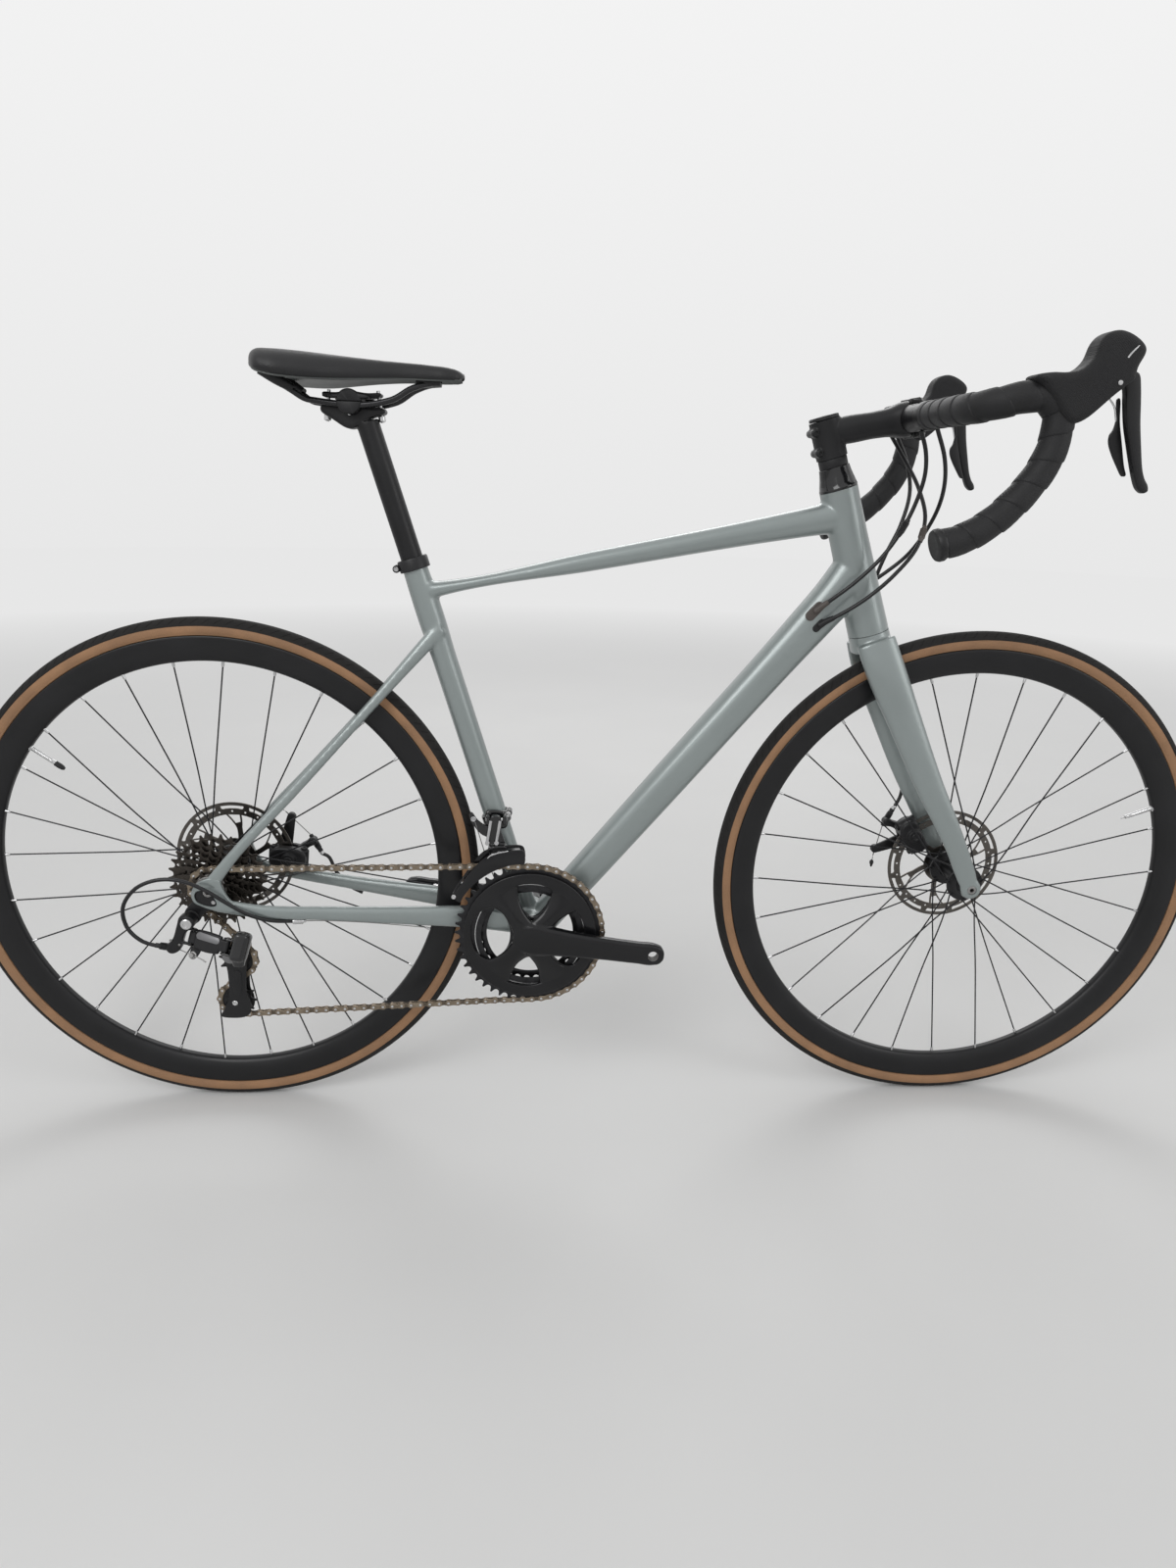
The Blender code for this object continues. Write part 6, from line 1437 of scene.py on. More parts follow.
def make_seatpost():
    base, length = on_seat(POST_TOP - 0.295), 0.299
    shaft = turn([(0, 0), (0.0128, 0), (POST_RADIUS, 0.001), (POST_RADIUS, length), (0, length)], base,
                 SEAT, 72)
    head = curved([(-0.0345, -0.0118), (-0.0352, -0.005), (-0.032, -0.001), (-0.02, -0.002),
                   (0.02, -0.004), (0.0355, -0.005), (0.0395, -0.0085), (0.037, -0.0125), (0.023, -0.0165),
                   (0.011, -0.0235), (0.002, -0.029), (-0.008, -0.028), (-0.022, -0.0195)], 4)
    shells = Skin(shaft, plate([head], -0.0128, 0.0128, RAIL, 0.003, 2))
    cuts = [rod(RAIL, Y, CRADLE_RADIUS + 0.0007, -0.05, 0.05, 0)]
    melted_piece("post", shells, 0.001, 8, cuts, "seatpost", "satin_black", "black_metal", "seatpost",
                 angle=45)
    bolts = Skin()
    for x, lean in ((-0.029, -0.1), (0.0335, 0.12)):
        axis = Vector((lean, 0, -1)).normalized()
        place = near(RAIL, x, -0.012)
        bolts.add(rod(place, axis, 0.0021, -0.026, 0.0095, 0.0002, 20))
        bolts.add(rod(place, axis, 0.0042, 0.002, 0.0085, 0.0008, 24))
    piece("clamp_screws", bolts, "seatpost", "silver", "steel", angle=30)


def make_saddle_clamp():
    """The round cradle that tilts in the post's head, and the yokes that hold the rails on it."""
    cradle = mesh_object("cradle", Skin(rod(RAIL, Y, CRADLE_RADIUS, -0.0279, 0.0279, 0.0012, 56)))
    grooves = []
    for side in (-1, 1):
        grooves.append(rod(RAIL + Y * (side * RAIL_HALF_GAP), X, RAIL_RADIUS + 0.0002, -0.03, 0.03, 0))
    combine(cradle, grooves, "DIFFERENCE")
    slit = oblong(-0.02, 0.02, -0.0006, 0.0006)
    slits = [plate([slit], y - 0.008, y + 0.008, RAIL, 0.0001) for y in (-0.024, 0.024)]
    combine(cradle, slits, "DIFFERENCE")
    finish(cradle, "saddle_clamp", "satin_black", "black_metal", "saddle_clamp", angle=35, bevel=0.0004)
    yokes = Skin()
    top = curved([(-0.033, 0.0075), (-0.03, 0.005), (-0.01, 0.0048), (0.01, 0.0048), (0.029, 0.0052),
                  (0.035, 0.008), (0.033, 0.011), (0.018, 0.0105), (0.0, 0.0125), (-0.018, 0.0105),
                  (-0.031, 0.0108)], 4)
    yokes.add(plate([top], -0.01, 0.01, RAIL, 0.0015, 1))
    wing = curved([(-0.02, 0.0036), (0.02, 0.0036), (0.019, 0.0072), (0.0, 0.0092), (-0.019, 0.0072)], 4)
    for side in (-1, 1):
        yokes.add(plate([wing], *low_high(side, 0.0165, 0.0275), RAIL, 0.0012, 1))
    piece("clamp_yokes", yokes, "saddle_clamp", "satin_black", "black_metal", angle=35)


def make_collar():
    """The clamp at the seat tube's top, by height over that top, with its slit and bolt behind."""
    ring = [(0.0158, -0.014), (0.0182, -0.014), (0.019, -0.0134), (0.019, -0.001), (0.0182, 0.0004),
            (0.014, 0.0006), (0.014, GAP), (0.0158, GAP)]
    middle, bolt_back, half = SEAT_TOP - 0.0068, -0.0215, 0.0088
    shells = Skin(turn(ring, on_seat(SEAT_TOP), SEAT, 80),
                  rod(on_seat(middle, bolt_back), Y, 0.0046, -half, half, 0.0008))
    made = mesh_object("collar", shells)
    slit = oblong(-0.03, -0.012, -0.02, 0.02)
    combine(made, [plate([slit], -0.0006, 0.0006, on_seat(middle), 0.0001, 0, (SEAT_AHEAD, SEAT, Y))],
            "DIFFERENCE")
    finish(made, "frame", "satin_black", "black_metal", "seat_collar", angle=35)
    heads = Skin()
    for end in (-1, 1):
        bolt(heads, on_seat(middle, bolt_back, end * (half + 0.0001)), Y * end, 0.003, 0.0016, 0)
    piece("collar_bolt", heads, "frame", "silver", "steel", angle=30)


make_saddle()
make_rails()
make_seatpost()
make_saddle_clamp()
make_collar()

# Chain and toothed wheels

CHAIN_PITCH, ROLLER_RADIUS = 0.0127, 0.004
COG_TEETH = (11, 13, 15, 17, 20, 23, 26, 30)
COG_OUTER_Y, COG_PITCH, COG_BORE = -0.0635, 0.0048, 0.0172
CHAIN_Y = COG_OUTER_Y + COG_PITCH
RING_TEETH, INNER_RING_TEETH, PULLEY_TEETH = 48, 34, 11
RING_Y, INNER_RING_Y, RING_HALF = -0.047, -0.0395, 0.001
RING_BOLT_RADIUS = 0.054
CRANK_ANGLE, CRANK_LENGTH = math.radians(-7.0), 0.165
CRANK_ALONG = Vector((math.cos(CRANK_ANGLE), 0, math.sin(CRANK_ANGLE)))
CRANK_ACROSS = Vector((-math.sin(CRANK_ANGLE), 0, math.cos(CRANK_ANGLE)))
EYE, OTHER_EYE = BB + CRANK_ALONG * CRANK_LENGTH, BB - CRANK_ALONG * CRANK_LENGTH
SPINDLE_RADIUS, EYE_RADIUS = 0.012, 0.007
ARMS = [CRANK_ANGLE + math.radians(a) for a in (55, 128, -123, -54)]
GUIDE, TENSION = near(REAR, 0.027, -0.101), near(REAR, 0.021, -0.159)
CAGE_PIVOT = near(REAR, 0.029, -0.077)
# The wheels that the chain runs on: middle, teeth, which way it bends, and y
WHEELS = ((BB, RING_TEETH, 1, RING_Y), (REAR, COG_TEETH[1], 1, CHAIN_Y),
          (GUIDE, PULLEY_TEETH, -1, CHAIN_Y), (TENSION, PULLEY_TEETH, 1, CHAIN_Y))


def pitch_radius(teeth):
    """The radius that the rollers' middles lie on."""
    return CHAIN_PITCH / 2 / math.sin(math.pi / teeth)


def chain_route():
    """For each wheel: where the chain meets it, how far it goes round, and the straight run after it."""
    meets, leaves = [0.0] * 4, [0.0] * 4
    for i, (centre, teeth, way, _) in enumerate(WHEELS):
        other, other_teeth, other_way, _ = WHEELS[(i + 1) % 4]
        away = Vector((other.x - centre.x, other.z - centre.z))
        lean = math.asin((way * pitch_radius(teeth) - other_way * pitch_radius(other_teeth)) / away.length)
        heading = math.atan2(away.y, away.x) + lean
        leaves[i] = heading - way * math.pi / 2
        meets[(i + 1) % 4] = heading - other_way * math.pi / 2
    made = []
    for i, (centre, teeth, way, y) in enumerate(WHEELS):
        other, other_teeth, _, other_y = WHEELS[(i + 1) % 4]
        sweep = (leaves[i] - meets[i]) * way % (2 * math.pi)
        start = near(centre, *spot(pitch_radius(teeth), leaves[i]), y)
        end = near(other, *spot(pitch_radius(other_teeth), meets[(i + 1) % 4]), other_y)
        made.append((meets[i], sweep, start, end))
    return made


ROUTE = chain_route()
ARC_LINKS = [WHEELS[i][1] * ROUTE[i][1] / (2 * math.pi) for i in range(4)]
RUNS = [math.hypot(end.x - start.x, end.z - start.z) for _, _, start, end in ROUTE]
LINKS = 2 * round((sum(ARC_LINKS) + sum(RUNS) / CHAIN_PITCH) / 2)
RUN_PITCH = sum(RUNS) / (LINKS - sum(ARC_LINKS))
LARGE_BEND, SMALL_BEND = 0.045, 0.004  # how much of a run stays in line with a large or a small wheel
MEETS_AT = [sum(ARC_LINKS[:i]) + sum(RUNS[:i]) / RUN_PITCH for i in range(4)]


def roller_at(t):
    """The chain's place after t links, its stretch (even on a wheel, odd between) and the share gone."""
    t %= LINKS
    i = max(k for k in range(4) if MEETS_AT[k] <= t + 1e-9)
    centre, teeth, way, y = WHEELS[i]
    past = t - MEETS_AT[i]
    if past <= ARC_LINKS[i]:
        angle = ROUTE[i][0] + way * past * 2 * math.pi / teeth
        return near(centre, *spot(pitch_radius(teeth), angle), y), 2 * i, 0.0
    _, _, start, end = ROUTE[i]
    gone = (past - ARC_LINKS[i]) * RUN_PITCH
    share = gone / RUNS[i]
    first, last = (LARGE_BEND if WHEELS[k % 4][1] > PULLEY_TEETH else SMALL_BEND for k in (i, i + 1))
    across = min(max((gone - first) / (RUNS[i] - first - last), 0), 1)
    point = start.lerp(end, share)
    point.y = start.y + (end.y - start.y) * across
    return point, 2 * i + 1, share


def phase(wheel):
    """The angle of a roller that lies on one of the chain's wheels."""
    _, teeth, way, _ = WHEELS[wheel]
    return ROUTE[wheel][0] + way * (math.ceil(MEETS_AT[wheel]) - MEETS_AT[wheel]) * 2 * math.pi / teeth


def toothed(teeth, start=0.0, tip=0.003, half_tip=0.001):
    """A sprocket's outline: round seats for the rollers, with short blunt teeth between."""
    radius = pitch_radius(teeth)
    outline = []
    for i in range(teeth):
        a = start + 2 * math.pi * i / teeth
        out, side = Vector((math.cos(a), math.sin(a))), Vector((-math.sin(a), math.cos(a)))
        for k in range(-3, 4):
            inwards, sideways = spot(ROLLER_RADIUS, math.radians(21 * k))
            outline.append(tuple(out * (radius - inwards) + side * sideways))
        a += math.pi / teeth
        out, side = Vector((math.cos(a), math.sin(a))), Vector((-math.sin(a), math.cos(a)))
        outline += [tuple(out * (radius + tip) + side * s) for s in (-half_tip, half_tip)]
    return outline


def make_cassette():
    """Eight sprockets with spacers between, the larger ones with windows, and the ring that locks them."""
    skin = Skin()
    half = 0.0008
    for i, teeth in enumerate(COG_TEETH):
        y = COG_OUTER_Y + COG_PITCH * i
        radius = pitch_radius(teeth)
        loops = [toothed(teeth, phase(1) if i == 1 else 0.13 * i), circle(COG_BORE, 40)]
        if teeth >= 17:
            wide = min(0.42, 0.0085 / (radius - 0.01) + 0.16)
            loops += [kidney(0.0215, radius - 0.0075, 1.05 * k + 0.2 * i, wide) for k in range(6)]
        skin.add(plate(loops, y - half, y + half, REAR, 0.00022))
        if i:
            skin.add(sleeve(REAR, Y, COG_BORE, 0.02, y - COG_PITCH + half, y - half, 0.0002, 40), 1)
    end = COG_OUTER_Y
    ring = [(COG_BORE, end - 0.0032), (0.0182, end - 0.0032), (0.0186, end - 0.0028),
            (0.0186, end - 0.001), (COG_BORE, end - half)]
    skin.add(turn(ring, REAR, Y, 48), 1)
    hole = [spot(0.0125 if k % 4 < 2 else 0.0137, 2 * math.pi * k / 48) for k in range(48)]
    skin.add(plate([circle(0.0178, 48), hole], end - 0.0034, end - 0.0006, REAR, 0.0003), 1)
    piece("cogs", skin, "cassette", "cassette dull_steel", "cassette", "cassette", angle=30)


def chain_plate_at(a, b, low, high, waist):
    """One side plate of the chain between two rollers, with pinched sides."""
    ahead = (b - a).normalized()
    across = (Y - ahead * ahead.y).normalized()
    up = ahead.cross(across)
    long = (b - a).length
    edge, end_radius, turn_step = 0.0002, 0.0041, 0.44
    rings = []
    for y, shrink in ((low, 0.00022), (low + edge, 0), (high - edge, 0), (high, 0.00022)):
        end = [spot(end_radius - shrink, k * turn_step) for k in range(-3, 4)]
        outline = [(long + u, v) for u, v in end]
        outline += [(long * 0.5, waist - shrink)]
        outline += [(-u, v) for u, v in reversed(end)]
        outline += [(long * 0.5, shrink - waist)]
        rings.append([a + ahead * u + up * v + across * y for u, v in outline])
    return grid(rings)


def make_chain():
    """Links with side plates, rollers and pins, in one piece for each stretch that moves on its own."""
    # The stretches that are cut in two, and where, as a share of their run
    split = {1: 0.125, 3: 0.5, 7: 0.5}
    on_cage = (4, 5, 6)  # both pulleys and the run between them
    skins = {}
    for k in range(LINKS):
        a, b = roller_at(k)[0], roller_at(k + 1)[0]
        _, stretch, share = roller_at(k + 0.5)
        part = (stretch, share > split.get(stretch, 1))
        if stretch in on_cage:
            part = (5, False)
        skin = skins.setdefault(part, Skin())
        low, high, kind = ((0.0012, 0.0019, 1), (0.00195, 0.0027, 0))[k % 2]
        for side in (-1, 1):
            first, last = sorted((side * low, side * high))
            skin.add(chain_plate_at(a, b, first, last, 0.003 - 0.0004 * kind), kind)
        roller = [(0, -0.00115), (0.00355, -0.00115), (0.00385, -0.0009), (0.00385, 0.0009),
                  (0.00355, 0.00115), (0, 0.00115)]
        skin.add(turn(roller, a, Y, 16), 1)
        pin = [(0, -0.0031), (0.0011, -0.0031), (0.00175, -0.0028), (0.00175, 0.0028), (0.0011, 0.0031),
               (0, 0.0031)]
        skin.add(turn(pin, a, Y, 12), 2)

    def on_run(i, share):
        return ROUTE[i][2].lerp(ROUTE[i][3], share)

    ring_end, cage_end, cog_end = on_run(0, 0.055), on_run(0, split[1]), on_run(0, 0.97)
    cog_start, rear_split, guide_end = on_run(1, 0.0), on_run(1, split[3]), on_run(1, 0.85)
    tension_end, low_split, ring_start = on_run(3, 0.04), on_run(3, split[7]), on_run(3, 0.91)
    # A part's name and its body, or the two bodies at its ends and the places where they hold it
    names = {
        (0, False): ("ring", "frame"),
        (1, False): ("upper_front", ("frame", "front_derailleur", ring_end, cage_end)),
        (1, True): ("upper_rear", ("frame", "front_derailleur", cog_end, cage_end)),
        (2, False): ("cog", "frame"),
        (3, False): ("down_front", ("frame", "rear_derailleur", cog_start, rear_split)),
        (3, True): ("down_rear", ("rear_derailleur", "derailleur_cage", rear_split, guide_end)),
        (5, False): ("pulleys", "derailleur_cage"),
        (7, False): ("lower_rear", ("rear_derailleur", "derailleur_cage", low_split, tension_end)),
        (7, True): ("lower_front", ("frame", "rear_derailleur", ring_start, low_split)),
    }
    for part, skin in skins.items():
        name, body = names[part]
        piece("chain_" + name, skin, body, "chain_plate chain_inner silver", "chain", "chain", angle=30)


# Crank


def tabbed(radius, deep):
    """A chainring's inner edge, with a tab reaching in at each of the crank's arms."""
    inside, half_tab = [], 0.13
    for k in range(144):
        a = 2 * math.pi * k / 144
        off = min(abs((a - arm + math.pi) % (2 * math.pi) - math.pi) for arm in ARMS)
        inside.append(spot(radius - deep * math.exp(-((off / half_tab) ** 4)), a))
    return inside


def make_rings():
    """The outer ring with its cover and silver inner edge, and the inner ring with its four bolts."""
    windows = [
        [(-0.0784, 0.0035), (-0.0755, 0.022), (-0.065, 0.0345), (-0.05, 0.04), (-0.037, 0.033),
         (-0.0285, 0.018), (-0.0262, 0.002), (-0.0285, -0.013), (-0.036, -0.026),
         (-0.048, -0.0345), (-0.062, -0.0325), (-0.074, -0.018)],
        [(-0.027, 0.065), (-0.0215, 0.056), (-0.01, 0.039), (0.003, 0.0275), (0.016, 0.037),
         (0.026, 0.054), (0.029, 0.064), (0.018, 0.0715), (0.002, 0.0742), (-0.015, 0.0722)],
        [(-0.001, -0.031), (-0.014, -0.0385), (-0.0245, -0.049), (-0.0335, -0.0635),
         (-0.024, -0.0703), (-0.009, -0.0735), (0.008, -0.0722), (0.019, -0.067),
         (0.018, -0.058), (0.0115, -0.048), (0.007, -0.039)],
        [(0.03, 0.004), (0.037, 0.019), (0.0465, 0.0315), (0.057, 0.038), (0.066, 0.029),
         (0.0722, 0.013), (0.0735, -0.008), (0.07, -0.027), (0.0615, -0.041), (0.05, -0.0435),
         (0.038, -0.037), (0.029, -0.022)],
    ]
    windows = [curved(window, 5) for window in windows]
    skin = Skin(plate([toothed(RING_TEETH, phase(0)), tabbed(0.0645, 0.016)], RING_Y - RING_HALF,
                      RING_Y + RING_HALF, BB))
    skin.add(plate([circle(0.0888, 144), *windows], RING_Y - 0.0066, RING_Y - 0.0004, BB, 0.0013, 2), 1)
    skin.add(sleeve(BB, Y, 0.0722, 0.0735, RING_Y - 0.0022, RING_Y - 0.0008, 0.0003, 144), 2)
    piece("big_ring", skin, "crank", "teeth crank_black silver", "black_metal", "chainring_outer",
          angle=40)
    low, high = INNER_RING_Y - RING_HALF, INNER_RING_Y + RING_HALF
    holes = [circle(0.004, 20, *spot(RING_BOLT_RADIUS, a)) for a in ARMS]
    small = Skin(plate([toothed(INNER_RING_TEETH, 0.04), tabbed(0.0578, 0.01), *holes], low, high, BB,
                       0.0004, 1))
    for a in ARMS:
        place = near(BB, *spot(RING_BOLT_RADIUS, a))
        small.add(rod(place, Y, 0.0055, RING_Y - RING_HALF, low, 0.0004, 24), 1)
        bolt(small, place + Y * high, Y, 0.0052, 0.0012, 2)
    piece("small_ring", small, "crank", "teeth satin_black silver", "black_metal", "chainring_inner",
          angle=35)


# By distance from the spindle: the y of the middle, the thickness, and the height
CRANK_STATIONS = [
    (-0.0225, 0.06, 0.008, 0.021), (-0.013, 0.0605, 0.012, 0.036), (0.0, 0.0612, 0.014, 0.043),
    (0.025, 0.0625, 0.0145, 0.04), (0.06, 0.0643, 0.0138, 0.0345), (0.1, 0.0658, 0.013, 0.0312),
    (0.145, 0.067, 0.0125, 0.03), (0.168, 0.067, 0.0125, 0.029), (0.1765, 0.067, 0.0122, 0.0215),
    (0.18, 0.067, 0.011, 0.011),
]
# The same for each of the four ribs, with the thickness before the width
RIB_STATIONS = [
    (0.004, -0.0598, 0.015, 0.036), (0.024, -0.058, 0.014, 0.028), (0.04, -0.0558, 0.0115, 0.026),
    (0.056, -0.0532, 0.0085, 0.033), (0.068, -0.0516, 0.0058, 0.044), (0.078, -0.0506, 0.0034, 0.05),
]


def crank_arm(along, side):
    """A crank arm: a slightly crowned outer face, a wide bevel along its edges and a flat inner face."""
    shape = curved([(-1.0, -0.62), (-0.72, -0.93), (0.25, -1.0), (1.0, -0.86), (1.0, 0.0), (1.0, 0.86),
                    (0.25, 1.0), (-0.72, 0.93), (-1.0, 0.62), (-1.04, 0.0)], 4)
    up = along.cross(Y)
    rows = eased([(Vector((r, 0, 0)), y, thick, high) for r, y, thick, high in CRANK_STATIONS], 0.003)
    rings = []
    for row in rows:
        middle = BB + along * row[0] + Y * (side * row[3])
        rings.append([middle - Y * (side * u * row[4] / 2) + up * (v * row[5] / 2) for u, v in shape])
    return grid(rings)


def make_right_crank():
    """The arm with its four ribs to the rings, and the spindle."""
    shells = Skin(crank_arm(CRANK_ALONG, -1), rod(BB, Y, 0.0215, -0.065, -0.0378, 0.001, 64))
    for a in ARMS:
        out = Vector((math.cos(a), 0, math.sin(a)))
        rib = [(BB + out * r + Y * y, wide, thick) for r, y, thick, wide in RIB_STATIONS]
        shells.add(tube(rib, 32, 2.2, 0.003))
    cuts = [rod(EYE, Y, EYE_RADIUS, -0.1, -0.05, 0)]
    melted_piece("crank_right", shells, 0.0011, 9, cuts, "crank", "crank_black", "gloss_black",
                 "crankset_right", angle=50)
    spindle = rod(BB, Y, SPINDLE_RADIUS, -0.05, 0.063, 0.0006, 48)
    piece("crank_spindle", spindle, "crank", "dull_steel", "steel")


def make_left_crank():
    """The arm with the slot that clamps it on the spindle, its end cap and its two bolts."""
    shells = Skin(crank_arm(-CRANK_ALONG, 1), rod(BB, Y, 0.02, 0.0376, 0.0665, 0.0014, 56))
    slot = oblong(0.01, 0.04, -0.0009, 0.0009)
    cuts = [rod(BB, Y, SPINDLE_RADIUS + GAP, -0.05, 0.12, 0), rod(OTHER_EYE, Y, EYE_RADIUS, 0.04, 0.1, 0),
            plate([slot], 0.03, 0.062, BB, 0.0001, 0, (CRANK_ALONG, CRANK_ACROSS, Y))]
    melted_piece("crank_other", shells, 0.0011, 6, cuts, "crank", "crank_black", "gloss_black",
                 "crank_left", angle=50)
    cap = Skin(turn([(0, 0.0655), (0.0105, 0.0655), (0.0118, 0.0662), (0.0118, 0.0672), (0.01, 0.068),
                     (0.0064, 0.068), (0.006, 0.0662), (0, 0.0662)], BB, Y, 48))
    for y in (0.043, 0.0545):
        for end in (-1, 1):
            place = BB + CRANK_ALONG * 0.0155 + Y * y + CRANK_ACROSS * (end * 0.0125)
            bolt(cap, place, CRANK_ACROSS * end, 0.0032, 0.004, 1)
    piece("crank_cap", cap, "crank", "plastic satin_black", "black_metal", angle=30)


def make_threads():
    """The threaded holes for the pedals, which are not fitted."""
    skin = Skin()
    start, length, steps = 0.0605, 0.013, 16
    for place, side in ((EYE, -1), (OTHER_EYE, 1)):
        zigzag = [(0.00705, start + length), (0.00705, start)]
        zigzag += [(0.0064 if i % 2 else 0.0068, start + length * i / steps) for i in range(steps + 1)]
        skin.add(turn(zigzag, place, Y * side, 40))
    piece("pedal_threads", skin, "crank", "dull_steel", "steel", angle=20)


def make_bearing_cups():
    cups = Skin()
    for side in (-1, 1):
        ring = [(0.0124, 0.0343), (0.019, 0.0343), (0.0205, 0.0347), (0.0205, 0.0362), (0.0197, 0.0369),
                (0.0124, 0.0369)]
        cups.add(turn(ring, BB, Y * side, 64))
        for k in range(16):
            place = near(BB, *spot(0.0196, 2 * math.pi * k / 16))
            cups.add(rod(place, Y * side, 0.001, 0.0345, 0.0366, 0.0002, 8))
    cups.add(sleeve(BB, Y, 0.0124, 0.0168, -0.0343, 0.0343), 1)
    piece("bearing_cups", cups, "frame", "satin_black dull_steel", "black_metal", "bottom_bracket",
          angle=30)


make_cassette()
make_chain()
make_rings()
make_right_crank()
make_left_crank()
make_threads()
make_bearing_cups()

# Derailleurs

# The rear one's link turns about LINK_AXIS and moves the lower knuckle along SHIFT
SHIFT_SLOPE, REACH_SLOPE, LINK_TURN = math.radians(20), math.radians(14), math.radians(-16)
SHIFT = Vector((0, math.cos(SHIFT_SLOPE), -math.sin(SHIFT_SLOPE)))
LINK_AXIS = Vector((math.cos(REACH_SLOPE), 0, -math.sin(REACH_SLOPE))).cross(SHIFT).normalized()
LINK_FORWARD = SHIFT.cross(LINK_AXIS)
LINK_ALONG = Matrix.Rotation(LINK_TURN, 3, LINK_AXIS) @ LINK_FORWARD
LINK_OUT = LINK_ALONG.cross(LINK_AXIS)
LINK_AXES = (LINK_ALONG, LINK_AXIS, LINK_OUT)
B_BOLT = near(REAR, *B_BOLT_PLACE)
LINK_PIVOT = near(REAR, -0.02, -0.0555, -0.0855)
LINK_LENGTH = 0.05
LINK_END = LINK_PIVOT + LINK_ALONG * LINK_LENGTH
LIP_BOTTOMS, PIN_RADIUS = (-0.0109, 0.0079), 0.002
STOP_OUT = Vector((-1, 0, 0.16)).normalized()
CAGE_OUTER, CAGE_INNER, SHEET = CHAIN_Y - 0.009, CHAIN_Y + 0.009, 0.0016


def lip(start, end, radius, low, high, edge=0.0005):
    """A flat piece with round ends, square to the link's own axis."""
    along = (end - start).normalized()
    outline = [capsule(0, 0, radius, (end - start).length, 0, radius)]
    return plate(outline, low, high, start, edge, 1, (along, LINK_AXIS.cross(along), LINK_AXIS))


def make_upper_knuckle():
    """The knuckle on the hanger with its bolt, the lips for the link and the housing's fluted stop."""
    face = -0.0773
    knuckle = curved([(-0.015, -0.029), (-0.022, -0.0235), (-0.032, -0.026), (-0.0365, -0.038),
                      (-0.0425, -0.055), (-0.05, -0.065), (-0.051, -0.074), (-0.044, -0.0768),
                      (-0.035, -0.0715), (-0.031, -0.06), (-0.026, -0.048), (-0.017, -0.04)], 5)
    back = LINK_PIVOT - LINK_FORWARD * 0.0125
    shells = Skin(plate([knuckle], -0.0925, face - 0.001, REAR, 0.0026, 2),
                  rod(B_BOLT, Y, 0.0092, -0.0935, face, 0.0008, 48))
    for bottom in LIP_BOTTOMS:
        shells.add(lip(back, LINK_PIVOT, 0.005, bottom, bottom + 0.003))
    shells.add(rod(near(REAR, -0.047, -0.07, -0.086), STOP_OUT, 0.0052, -0.004, 0.006, 0.0008))
    melted_piece("upper_knuckle", shells, 0.0009, 7, [], "frame", "satin_black", "black_metal",
                 "derailleur_b_knuckle", angle=50)
    head = Skin(turn([(0, -0.0968), (0.0034, -0.0968), (0.0034, -0.0975), (0.0058, -0.0975),
                      (0.0068, -0.0968), (0.007, -0.0935), (0, -0.0935)], B_BOLT, Y, 48))
    for lean in (-1, 1):
        place = near(REAR, -0.0395 + 0.0052 * lean, -0.06 - 0.003 * lean, -0.0924)
        head.add(rod(place, Y, 0.0016, -0.0012, 0.0006, 0.0002, 16), 1)
    piece("hanger_bolt", head, "frame", "silver dull_steel", "steel", angle=30)
    foot = near(REAR, -0.052, -0.0692, -0.086)
    fluted = [(0, 0.0), (0.0034, 0.0), (0.0046, 0.001)]
    for k in range(5):
        fluted += [(0.0048, 0.0016 + 0.0014 * k), (0.0043, 0.0022 + 0.0014 * k)]
    fluted += [(0.0046, 0.0088), (0.0032, 0.01), (0.0028, 0.011), (0.0031, 0.0112), (0.0031, 0.015),
               (0, 0.015)]
    piece("rear_adjuster", turn(fluted, foot, STOP_OUT, 32), "frame", "plastic", "black_metal", angle=25)


def make_link():
    """The outer link with its cover and its tab for the wire, and the pins at both its ends."""
    cover = curved([(0.0072, -0.0098), (0.0072, 0.0095), (0.0105, 0.0118), (0.025, 0.0122), (0.04, 0.0112),
                    (0.043, 0.009), (0.0428, -0.0095), (0.039, -0.0122), (0.025, -0.0136),
                    (0.011, -0.0122)], 4)
    tab = curved([(0.005, -0.01), (0.003, -0.019), (0.005, -0.025), (0.0105, -0.026), (0.015, -0.021),
                  (0.017, -0.011)], 4)
    shells = Skin(lip(LINK_PIVOT, LINK_END, 0.0042, -0.0074, 0.0074),
                  plate([cover], -0.001, 0.0052, LINK_PIVOT, 0.0016, 2, LINK_AXES),
                  plate([tab], -0.001, 0.002, LINK_PIVOT, 0.0008, 1, LINK_AXES))
    cuts = [rod(end, LINK_AXIS, PIN_RADIUS + 0.0002, -0.02, 0.02, 0) for end in (LINK_PIVOT, LINK_END)]
    melted_piece("outer_link", shells, 0.0008, 5, cuts, "rear_derailleur_link", "satin_black",
                 "black_metal", "derailleur_link", angle=50)
    # A grey metal strip on the link's cover: a painted highlight band
    strip = capsule(0.013, 0.005, 0.0046, 0.038, 0.0044, 0.0042)
    highlight_strip = plate([strip], 0.0046, 0.0058, LINK_PIVOT, 0.0005, 1, LINK_AXES)
    piece("link_trim", highlight_strip, "rear_derailleur_link", "grey_knuckle", "steel", angle=30)
    for name, place, body in (("upper", LINK_PIVOT, "frame"), ("lower", LINK_END, "rear_derailleur_link")):
        pin = [(0, -0.0116), (0.0026, -0.0116), (0.0029, -0.0112), (PIN_RADIUS, -0.0108),
               (PIN_RADIUS, 0.0108), (0.0029, 0.0112), (0.0026, 0.0116), (0, 0.0116)]
        piece("link_pin_" + name, turn(pin, place, LINK_AXIS, 24), body, "dull_steel", "steel")


